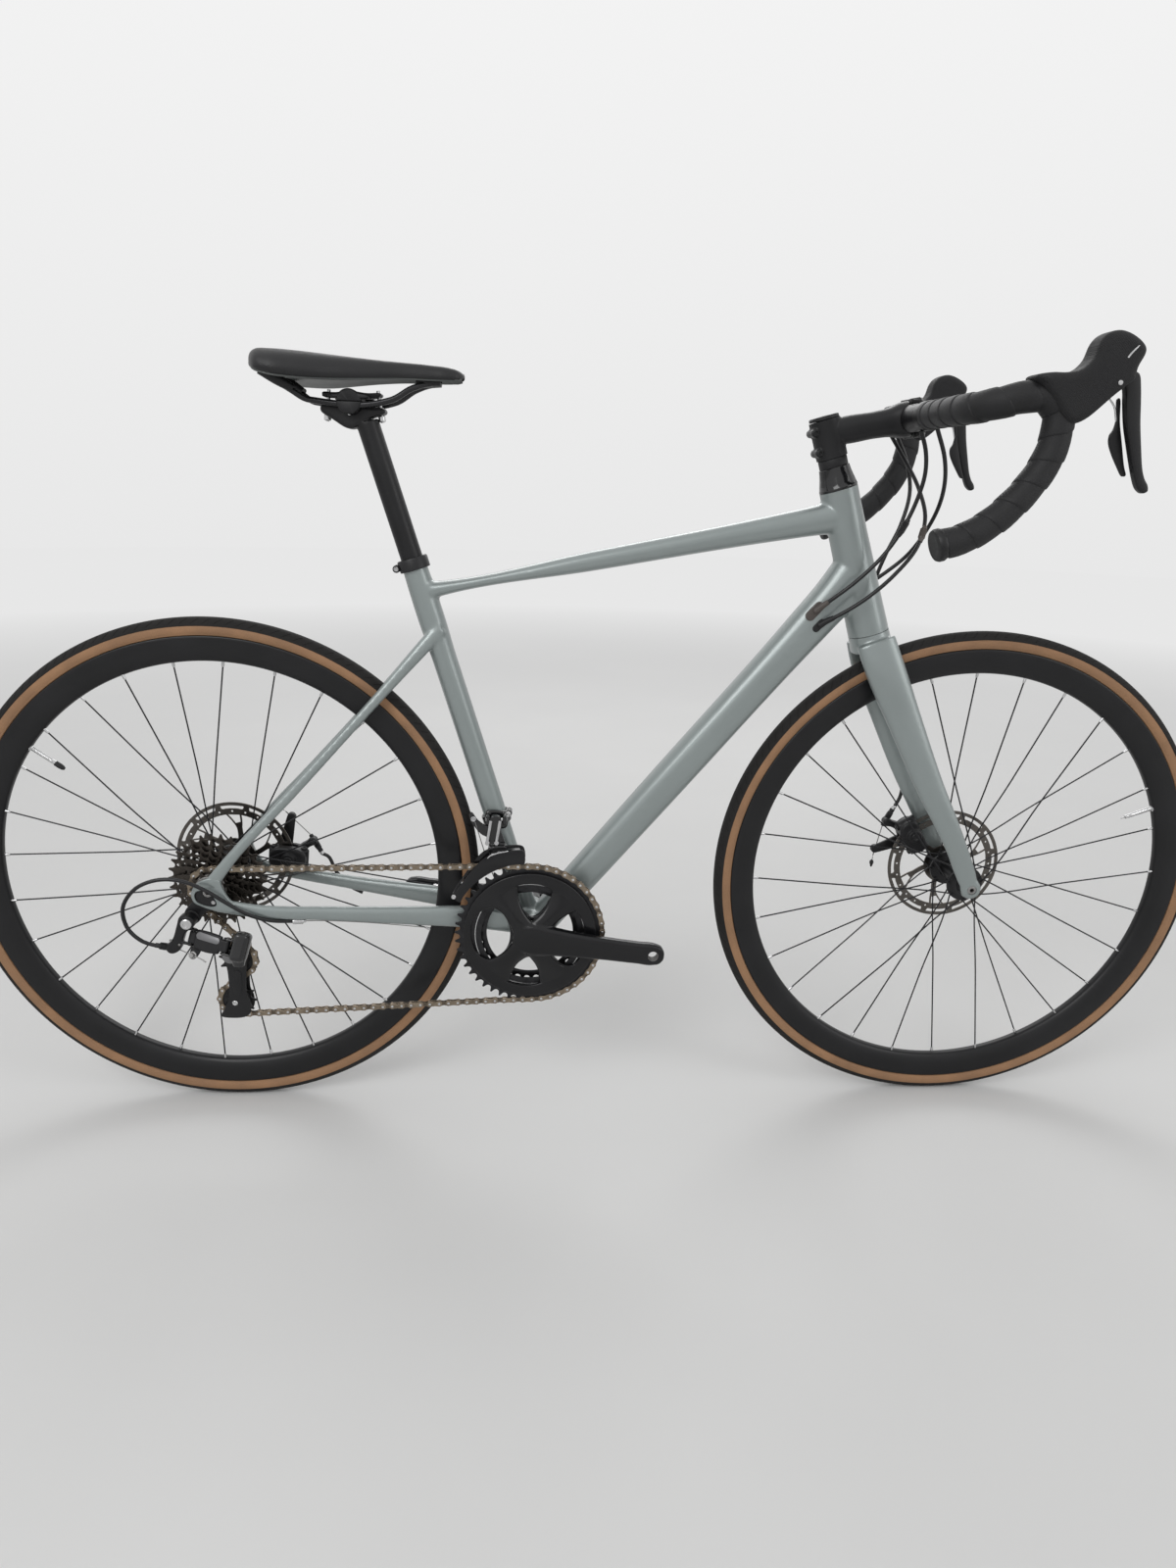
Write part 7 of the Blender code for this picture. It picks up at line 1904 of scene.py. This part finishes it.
def make_rear_wire():
    """The bolt on the link's tab, the wire from the stop to it, and the wire's end behind it."""
    clamp = LINK_PIVOT + LINK_ALONG * 0.0092 - LINK_AXIS * 0.0215 + LINK_OUT * 0.002
    anchor = Skin(turn([(0, 0), (0.0046, 0), (0.0048, 0.0004), (0.0048, 0.0012), (0.0036, 0.0014),
                        (0.0036, 0.0046), (0.003, 0.0052), (0, 0.0052)], clamp, LINK_OUT, 6),
                  rod(clamp, LINK_OUT, 0.0052, 0.0, 0.0012, 0.0002, 32))
    piece("anchor_bolt", anchor, "rear_derailleur_link", "dull_steel", "steel", angle=25)
    held = clamp + LINK_OUT * 0.0014
    start = near(REAR, -0.042, -0.0706, -0.086)
    piece("rear_wire", pipe([start, start.lerp(held, 0.5), held], 0.0006, 8, 0.004),
          ("frame", "rear_derailleur_link", start, held), "dull_steel", "steel")
    tail = [held, held + LINK_ALONG * 0.01 - LINK_AXIS * 0.001,
            held + LINK_ALONG * 0.0205 - LINK_AXIS * 0.0034]
    piece("rear_wire_tail", pipe(tail, [0.0007, 0.0007, 0.001], 8, 0.003), "rear_derailleur_link",
          "dull_steel", "steel")


def make_lower_knuckle():
    """The knuckle that moves in and out with the cage's pivot, and its grey cap."""
    front = LINK_END + LINK_FORWARD * 0.0125
    barrel = rod(CAGE_PIVOT, Y, 0.0122, LINK_END.y + 0.006, CAGE_OUTER - 0.002, 0.0012, 56)
    web = front + LINK_FORWARD * 0.003 + SHIFT * 0.003
    block = curved([(-0.0072, -0.011), (0.004, -0.0125), (0.01, -0.008), (0.0118, 0.001), (0.0095, 0.01),
                    (0.002, 0.014), (-0.0072, 0.013)], 3)
    shells = Skin(barrel, plate([block], -0.015, 0.0215, web, 0.005, 4, (LINK_FORWARD, SHIFT, LINK_AXIS)))
    slope = []
    for up, inwards, ahead, high, wide in (
        (-0.02, 0.004, 0.004, 0.014, 0.012),
        (-0.006, -0.002, 0.002, 0.0185, 0.016),
        (0.01, 0.001, 0.001, 0.0165, 0.015),
    ):
        slope.append((web + LINK_AXIS * up + SHIFT * inwards + LINK_FORWARD * ahead, high, wide))
    shells.add(tube(slope, 28, 3.0, 0.003))
    for bottom in LIP_BOTTOMS:
        shells.add(lip(LINK_END, front, 0.0056, bottom, bottom + 0.0032))
    melted_piece("lower_knuckle", shells, 0.0009, 7, [], "rear_derailleur", "gloss_black", "black_metal",
                 "derailleur_p_knuckle", angle=50)
    cap = [(0, -0.1003), (0.006, -0.1003), (0.0088, -0.0998), (0.0094, -0.0985), (0.0094, -0.09),
           (0, -0.09)]
    piece("knuckle_cap", turn(cap, CAGE_PIVOT, Y, 48), "rear_derailleur", "grey_knuckle", "steel",
          angle=30)


def around(*corners):
    """Corners of an outline round the rear axle, each given by the pulley or pivot that it lies beside."""
    return [(centre.x - REAR.x + x, centre.z - REAR.z + z) for centre, x, z in corners]


def make_pulley_cage():
    """Two plates on both sides of the chain, a ridge on the outer one, and the rods between."""
    outline = curved(around((CAGE_PIVOT, -0.0115, 0.0035), (CAGE_PIVOT, -0.002, 0.0125),
                            (CAGE_PIVOT, 0.011, 0.0085), (CAGE_PIVOT, 0.0135, -0.006),
                            (GUIDE, 0.0115, -0.012), (TENSION, 0.0155, 0.015), (TENSION, 0.0195, 0.002),
                            (TENSION, 0.019, -0.014), (TENSION, 0.01, -0.0215), (TENSION, -0.009, -0.0225),
                            (TENSION, -0.0195, -0.0195), (TENSION, -0.015, -0.009),
                            (TENSION, -0.007, 0.009), (GUIDE, -0.0125, -0.012), (GUIDE, -0.015, 0.005)), 5)
    ridge = around((GUIDE, -0.0045, -0.014), (GUIDE, 0.005, -0.014), (TENSION, 0.0095, 0.0155),
                   (TENSION, -0.0005, 0.0155))
    skin = Skin(plate([outline], CAGE_OUTER - SHEET - 0.0001, CAGE_OUTER, REAR, 0.0005, 1),
                plate([outline], CAGE_INNER - SHEET, CAGE_INNER, REAR, 0.0005, 1),
                plate([curved(ridge, 5)], CAGE_OUTER - 0.0025, CAGE_OUTER - 0.0012, REAR, 0.0006, 1))
    for centre in (GUIDE, TENSION):
        skin.add(rod(centre, Y, 0.004, CAGE_OUTER - 0.0005, CAGE_INNER - 0.001, 0.0002, 24))
    piece("pulley_cage", skin, "derailleur_cage", "satin_black", "black_metal", "derailleur_cage",
          angle=30)


def make_pulleys():
    """The two toothed pulleys with five windows each, and the bolts they turn on."""
    hub, shaft = 0.0066, 0.0043
    for tag, centre, wheel, colour in (("guide", GUIDE, 2, "satin_black"),
                                       ("tension", TENSION, 3, "silver")):
        head = Skin()
        bolt(head, centre + Y * (CAGE_OUTER - 0.0016), -Y, 0.0036, 0.0016, 0)
        piece(tag + "_bolt", head, "derailleur_cage", colour, "steel", angle=30)
        loops = [toothed(PULLEY_TEETH, phase(wheel), 0.003, 0.0009), circle(0.01, 40)]
        skin = Skin(plate(loops, CHAIN_Y - 0.001, CHAIN_Y + 0.001, centre))
        holes = [kidney(0.009, 0.0146, 2 * math.pi * k / 5 + phase(wheel), 0.38) for k in range(5)]
        skin.add(plate([circle(0.0168, 48), *holes, circle(hub, 32)], CHAIN_Y - 0.0019, CHAIN_Y + 0.0019,
                       centre, 0.0004))
        skin.add(sleeve(centre, Y, shaft, hub, CHAIN_Y - 0.0018, CHAIN_Y + 0.0018, 0.0003, 32), 1)
        piece(tag + "_wheel", skin, tag + "_pulley", "plastic dull_steel", "black_metal", tag + "_pulley",
              angle=30)


HINGE = near(BB, -0.044, 0.156, -0.03)


def make_band():
    """The band round the seat tube with the body that carries the hinge, and the hinge's pin."""
    tube_radius = 0.0158
    ring = [(tube_radius, 0.148), (0.0176, 0.148), (0.0187, 0.149), (0.0189, 0.1515), (0.0189, 0.1605),
            (0.0187, 0.163), (0.0176, 0.164), (tube_radius, 0.164)]
    boss = rod(on_seat(0.156, 0.0175, 0.008), Y, 0.0042, -0.008, 0.008, 0.001)
    shells = Skin(turn(ring, BB, SEAT, 80), boss)
    body = curved([(-0.059, 0.143), (-0.06, 0.16), (-0.056, 0.165), (-0.04, 0.1645), (-0.031, 0.162),
                   (-0.031, 0.143), (-0.042, 0.1395)], 4)
    shells.add(plate([body], -0.0215, -0.015, BB, 0.0018, 2))
    for x in (-0.058, -0.0365):
        ear = curved([(x, 0.15), (x, 0.161), (x + 0.0046, 0.161), (x + 0.0046, 0.15)], 3)
        shells.add(plate([ear], -0.0335, -0.019, BB, 0.0008, 1))
    cuts = [rod(BB, SEAT, tube_radius, 0.13, 0.18, 0, 80)]
    melted_piece("band", shells, 0.0008, 4, cuts, "frame", "gloss_black", "gloss_black",
                 "front_derailleur_clamp", angle=50)
    pin = Skin(rod(HINGE, X, 0.0022, -0.015, 0.0128, 0.0003, 20),
               rod(HINGE, X, 0.0034, -0.015, -0.0136, 0.0004, 20))
    bolt(pin, near(BB, -0.03, 0.16, -0.02), -Y, 0.0036, 0.0022, 0)
    piece("hinge_pin", pin, "frame", "silver", "steel", angle=30)


def make_shift_cage():
    """The two guide plates on both sides of the chain, their lower edge following the large ring."""
    over_teeth, half_cage = 0.0035, 0.0078
    edge = pitch_radius(RING_TEETH) + ROLLER_RADIUS + over_teeth
    low = [spot(edge, math.radians(94 + 58 * i / 11)) for i in range(12)]
    outer = curved([*low, (-0.101, 0.056), (-0.1, 0.06), (-0.083, 0.085), (-0.066, 0.106), (-0.054, 0.115),
                    (-0.04, 0.1195), (-0.018, 0.123), (-0.0085, 0.1205)], 3)
    inner = curved([*low, (-0.101, 0.056), (-0.1, 0.061), (-0.083, 0.088), (-0.066, 0.111),
                    (-0.054, 0.119), (-0.04, 0.1225), (-0.018, 0.1245), (-0.0085, 0.1205)], 3)
    skin = Skin(plate([outer], RING_Y - 0.0083, RING_Y - 0.007, BB, 0.0004, 1),
                plate([inner], RING_Y + 0.007, RING_Y + 0.0083, BB, 0.0004, 1))
    top = curved([(-0.054, 0.113), (-0.05, 0.1165), (-0.03, 0.1212), (-0.015, 0.1225), (-0.015, 0.12),
                  (-0.03, 0.1188), (-0.05, 0.1138)], 3)
    skin.add(plate([top], RING_Y - half_cage, RING_Y + half_cage, BB, 0.0004, 1))
    for x, z in ((-0.1, 0.0572), (-0.088, 0.0762)):
        skin.add(rod(near(BB, x, z), Y, 0.002, RING_Y - half_cage, RING_Y + half_cage, 0.0002, 20), 1)
    bolt(skin, near(BB, -0.1, 0.0572, RING_Y - 0.0082), -Y, 0.003, 0.0014, 1)
    # A silver strip over the top edge of the outer plate: a painted highlight along that edge
    rim = [(-0.056, 0.112), (-0.052, 0.116), (-0.04, 0.12), (-0.03, 0.1216), (-0.0305, 0.1204),
           (-0.04, 0.1186), (-0.0515, 0.1144), (-0.055, 0.1112)]
    skin.add(plate([curved(rim, 3)], RING_Y - 0.009, RING_Y - 0.006, BB, 0.0003, 1), 1)
    piece("shift_cage", skin, "front_derailleur", "crank_black silver", "steel", "front_derailleur_cage",
          angle=35)


def make_shift_arm():
    """The arm that swings on the hinge and carries the cage, with its bright links."""
    arm = curved([(-0.053, 0.115), (-0.0545, 0.14), (-0.053, 0.159), (-0.046, 0.162), (-0.039, 0.159),
                  (-0.0385, 0.14), (-0.033, 0.119)], 4)
    foot = curved([(-0.0545, 0.115), (-0.053, 0.1215), (-0.034, 0.123), (-0.033, 0.119)], 3)
    shells = Skin(plate([arm], -0.0345, -0.0255, BB, 0.0014, 2),
                  plate([foot], -0.042, -0.028, BB, 0.001, 1))
    cuts = [rod(HINGE, X, 0.0025, -0.03, 0.03, 0, 24)]
    melted_piece("shift_arm", shells, 0.0008, 4, cuts, "front_derailleur", "gloss_black", "steel",
                 angle=45)
    links = Skin()
    top, lean = 0.156, 0.16
    for x in (-0.052, -0.04):
        side = [(-0.0352, top), (-0.0358, 0.14), (-0.0366, 0.124)]
        bar = [(near(BB, x - lean * (top - z), z, y), 0.0042, 0.0026) for y, z in side]
        links.add(tube(bar, 20, 2.6, 0.003))
        links.add(rod(near(BB, x - 0.0046, 0.126, -0.0372), -Y, 0.003, 0.0, 0.0016, 0.0003, 20))
    piece("shift_links", links, "front_derailleur", "chrome", "steel", angle=35)


def make_pull_lever():
    """The lever that the front wire pulls, and that wire from the frame."""
    lever = curved([(-0.052, 0.146), (-0.06, 0.149), (-0.069, 0.156), (-0.076, 0.166), (-0.08, 0.165),
                    (-0.079, 0.156), (-0.072, 0.145), (-0.064, 0.136), (-0.054, 0.133)], 4)
    clamp = Skin(plate([lever], -0.034, -0.03, BB, 0.001, 1))
    bolt(clamp, near(BB, -0.0745, 0.158, -0.0338), -Y, 0.0036, 0.0026, 1)
    piece("pull_lever", clamp, "front_derailleur", "gloss_black chrome", "steel", angle=35)
    wire = [near(BB, -0.029, 0.02, -0.015), near(BB, -0.056, 0.095, -0.028),
            near(BB, -0.0725, 0.154, -0.0345)]
    piece("front_wire", pipe(wire, 0.0006, 8, 0.004), ("frame", "front_derailleur", wire[0], wire[-1]),
          "dull_steel", "steel")


make_upper_knuckle()
make_link()
make_rear_wire()
make_lower_knuckle()
make_pulley_cage()
make_pulleys()
make_band()
make_shift_cage()
make_shift_arm()
make_pull_lever()

# Brakes

# Where the arm turns and where it holds the wire, from the caliper's middle along its own axes
ARM_PIVOT, ARM_TIP = (-0.01, 0.004, 0.0153), (-0.003, 0.05, 0.0153)


def stepped(place, axes, *steps):
    """The point that many metres from the place along each axis."""
    for axis, step in zip(axes, steps):
        place = place + axis * step
    return place


def make_caliper(where, middle, axes, rotor_y, wheel, body):
    """The body with its slot round the rotor and its window, and its screws, strip and pins."""
    along, up, _ = axes
    block = curved([(-0.025, -0.006), (-0.021, -0.0135), (-0.01, -0.0145), (0.012, -0.0145),
                    (0.021, -0.013), (0.025, -0.005), (0.0235, 0.006), (0.016, 0.013), (0.0, 0.015),
                    (-0.016, 0.0135), (-0.0235, 0.006)], 4)
    lug = curved([(0.0085, 0.004), (0.018, 0.004), (0.026, 0.011), (0.0345, 0.016), (0.033, 0.0235),
                  (0.0255, 0.0245), (0.0205, 0.018), (0.011, 0.011)], 4)
    shells = Skin(plate([block], -0.015, 0.0128, middle, 0.0034, 3, axes),
                  plate([lug], 0.008, 0.0212, middle, 0.002, 2, axes),
                  rod(stepped(middle, axes, *ARM_PIVOT), Y, 0.0128, -0.008, -0.0004, 0.0008, 48))
    bolt_places = [stepped(middle, axes, 0.0205 * end, -0.001, -0.002) for end in (-1, 1)]
    for place in bolt_places:
        shells.add(rod(place, up, 0.0068, -0.015, 0.012, 0.0012, 32))
    shells.add(rod(stepped(middle, axes, 0.002, -0.002, -0.019), Y, 0.01, 0.0, 0.006, 0.001, 40))
    half_slot, window = 0.0014, capsule(-0.0065, 0, 0.0045, 0.008, 0, 0.0045)
    cuts = [rod(wheel, Y, ROTOR_RADIUS + 0.0012, rotor_y - half_slot, rotor_y + half_slot, 0, 160),
            plate([window], -0.004, 0.03, middle, 0.0001, 0, (along, Y, up))]
    melted_piece(where + "_caliper_body", shells, 0.001, 6, cuts, body, "satin_black", "black_metal",
                 where + "_brake_caliper", angle=50)
    small = Skin()
    for place in bolt_places:
        bolt(small, place + up * 0.0118, up, 0.0044, 0.003, 0)
    strip = capsule(-0.0205, -0.0072, 0.003, -0.0115, -0.0094, 0.003)
    small.add(plate([strip], 0.0118, 0.0136, middle, 0.0006, 1, axes), 1)
    bolt(small, stepped(middle, axes, 0.002, -0.002, -0.0188), -Y, 0.0056, 0.0016, 0)
    for ahead in (-0.0035, 0.0055):
        small.add(rod(stepped(middle, axes, ahead, 0.007), Y, 0.0011, -0.0135, 0.0118, 0.0002, 12), 1)
    piece(where + "_caliper_screws", small, body, "satin_black silver", "black_metal", angle=30)


def make_pull_arm(where, middle, axes):
    """The arm that the wire pulls, hollowed along its middle, with its bolt and the wire's round clamp."""
    body = where + "_caliper_arm"
    pivot, tip = stepped(middle, axes, *ARM_PIVOT), stepped(middle, axes, *ARM_TIP)
    way = Vector((0.007, 0.046))
    blade = capsule(0, 0, 0.01, way.x, way.y, 0.0058, 14)
    root = capsule(0, 0, 0.0092, way.x * 0.25, way.y * 0.25, 0.0076, 12)
    hollow = capsule(way.x * 0.36, way.y * 0.36, 0.0046, way.x * 0.76, way.y * 0.76, 0.0028, 10)
    arm = Skin(plate([blade], 0.0, 0.0046, pivot, 0.0012, 2, axes),
               plate([root], 0.003, 0.0072, pivot, 0.0014, 2, axes))
    made = mesh_object(where + "_pull_arm", arm)
    combine(made, [plate([hollow], 0.0034, 0.01, pivot, 0.0002, 0, axes)], "DIFFERENCE")
    finish(made, body, "satin_black", "black_metal", where + "_caliper_arm", angle=35)
    washer = [(0, 0.003), (0.0052, 0.003), (0.0058, 0.004), (0.0058, 0.0068), (0.0048, 0.0078),
              (0.0028, 0.0078), (0.0024, 0.0066), (0, 0.0066)]
    clamp = Skin(turn(washer, tip, Y, 40))
    bolt(clamp, pivot + Y * 0.007, Y, 0.0048, 0.0014, 0)
    strip = capsule(way.x * 0.38 - 0.004, way.y * 0.38, 0.0009, way.x * 0.8 - 0.0032, way.y * 0.8, 0.0009)
    clamp.add(plate([strip], 0.004, 0.0052, pivot, 0.0003, 1, axes), 1)
    piece(where + "_wire_clamp", clamp, body, "satin_black silver", "black_metal", angle=30)


def make_brake_cable(where, middle, axes, body, housing_end):
    """The fluted barrel, the bare wire from it to the arm and past it, and any housing behind it."""
    arm_body = where + "_caliper_arm"
    pivot, tip = stepped(middle, axes, *ARM_PIVOT), stepped(middle, axes, *ARM_TIP)
    near_end = stepped(middle, axes, 0.026, 0.024, 0.0175)
    far_end = stepped(middle, axes, 0.04, 0.003, 0.0175)
    run = far_end - near_end
    ahead, long = run.normalized(), run.length
    ridge = 0.0015
    barrel = [(0, -0.003), (0.0022, -0.003), (0.003, -0.002), (0.003, 0.003), (0.0042, 0.004)]
    for k in range(9):
        barrel += [(0.0046, 0.0046 + ridge * k), (0.004, 0.0053 + ridge * k)]
    barrel += [(0.0042, long - 0.006), (0.0034, long - 0.0048), (0.0034, long), (0, long)]
    ferrule = [(0, 0), (0.0032, 0), (0.0032, 0.005), (0.0028, 0.0058), (0, 0.0058)]
    skin = Skin(turn(barrel, near_end, ahead, 32))
    skin.add(turn(ferrule, far_end - ahead * 0.0006, ahead, 28), 1)
    piece(where + "_barrel", skin, body, "plastic silver", "black_metal", angle=25)
    held = tip + Y * 0.003 + (pivot - tip).normalized() * 0.0005
    start = near_end - ahead * 0.0026
    wire = pipe([start, start.lerp(held, 0.5), held], 0.0007, 8, 0.004)
    piece(where + "_wire", wire, (body, arm_body, start, held), "dull_steel", "steel")
    off, up = (held - start).normalized(), axes[1]
    tail = [held, held + off * 0.01, held + off * 0.018 - up * 0.001, held + off * 0.0185 - up * 0.001,
            held + off * 0.03 - up * 0.003]
    piece(where + "_wire_tail", pipe(tail, [0.0007, 0.0007, 0.0007, 0.0013, 0.0013], 8, 0.002), arm_body,
          "plastic", "steel")
    if housing_end:
        points = [far_end + ahead * 0.0045, *housing_end]
        piece(where + "_brake_loop", pipe(points, HOUSING_RADIUS, 16, 0.005), body, "housing", "housing")


def make_brake(where, centre, long_axis, rotor_y, wheel, body, housing_end):
    """A cable-pulled caliper round its rotor, with the arm that is pulled and the cable that pulls it."""
    along = long_axis.normalized()
    axes = (along, along.cross(Y), Y)
    middle = centre + Y * rotor_y
    make_caliper(where, middle, axes, rotor_y, wheel, body)
    make_pull_arm(where, middle, axes)
    make_brake_cable(where, middle, axes, body, housing_end)


def make_axles():
    for name, centre, low, half, body in (("front", FRONT, -0.0596, 0.0592, "steering"),
                                          ("rear", REAR, -0.0746, 0.077, "frame")):
        hexagon = circle(0.003, 6)
        skin = Skin(plate([circle(0.006, 48), hexagon], low, half + 0.0002, centre, 0.0005, 1))
        skin.add(plate([circle(0.0092, 56), hexagon], half + 0.0003, half + 0.0022, centre, 0.0006, 1), 1)
        piece(name + "_through_axle", skin, body, "dull_steel satin_black", "black_metal", name + "_axle",
              angle=30)


def make_stay_wire():
    """The bare wire along the chainstay, and the stop where the derailleur's housing begins."""
    wire = [(-0.396, -0.062, 0.2945), (-0.37, -0.056, 0.2925), (-0.31, -0.047, 0.286),
            (-0.23, -0.037, 0.274)]
    piece("stay_wire", pipe(wire, 0.0006, 8, 0.006), "frame", "dull_steel", "steel")
    start, after = Vector(wire[0]), Vector(wire[1])
    stop = [(0, -0.003), (0.0036, -0.003), (0.0039, -0.0022), (0.0039, 0.0095), (0.0034, 0.0104),
            (0.0022, 0.0108), (0.0019, 0.014), (0, 0.014)]
    piece("stay_ferrule", turn(stop, start, (after - start).normalized(), 28), "frame", "silver", "steel",
          angle=30)


make_brake("front", on_steer(0.0573, 0.0112), STEER - STEER_AHEAD * 0.217, 0.0395, FRONT, "steering", [])
REAR_HOUSING = [(-0.378, 0.067, 0.3358), (-0.3664, 0.064, 0.3136), (-0.348, 0.059, 0.2937),
                (-0.3288, 0.055, 0.2847)]
make_brake("rear", near(REAR, 0.073, 0.0035), Vector((1.0, 0, -0.1)), 0.0522, REAR, "frame", REAR_HOUSING)
make_axles()
make_stay_wire()

# Nodes that no piece stands for are seen themselves, with a plain look
for name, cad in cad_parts.items():
    if not cad.hide_render:
        cad.data.materials.clear()
        cad.data.materials.append(LOOKS["dull_steel" if "bearing" in name else "satin_black"])

[[list(map(float, corner)) for corner in box] for box in (cad_box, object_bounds())]
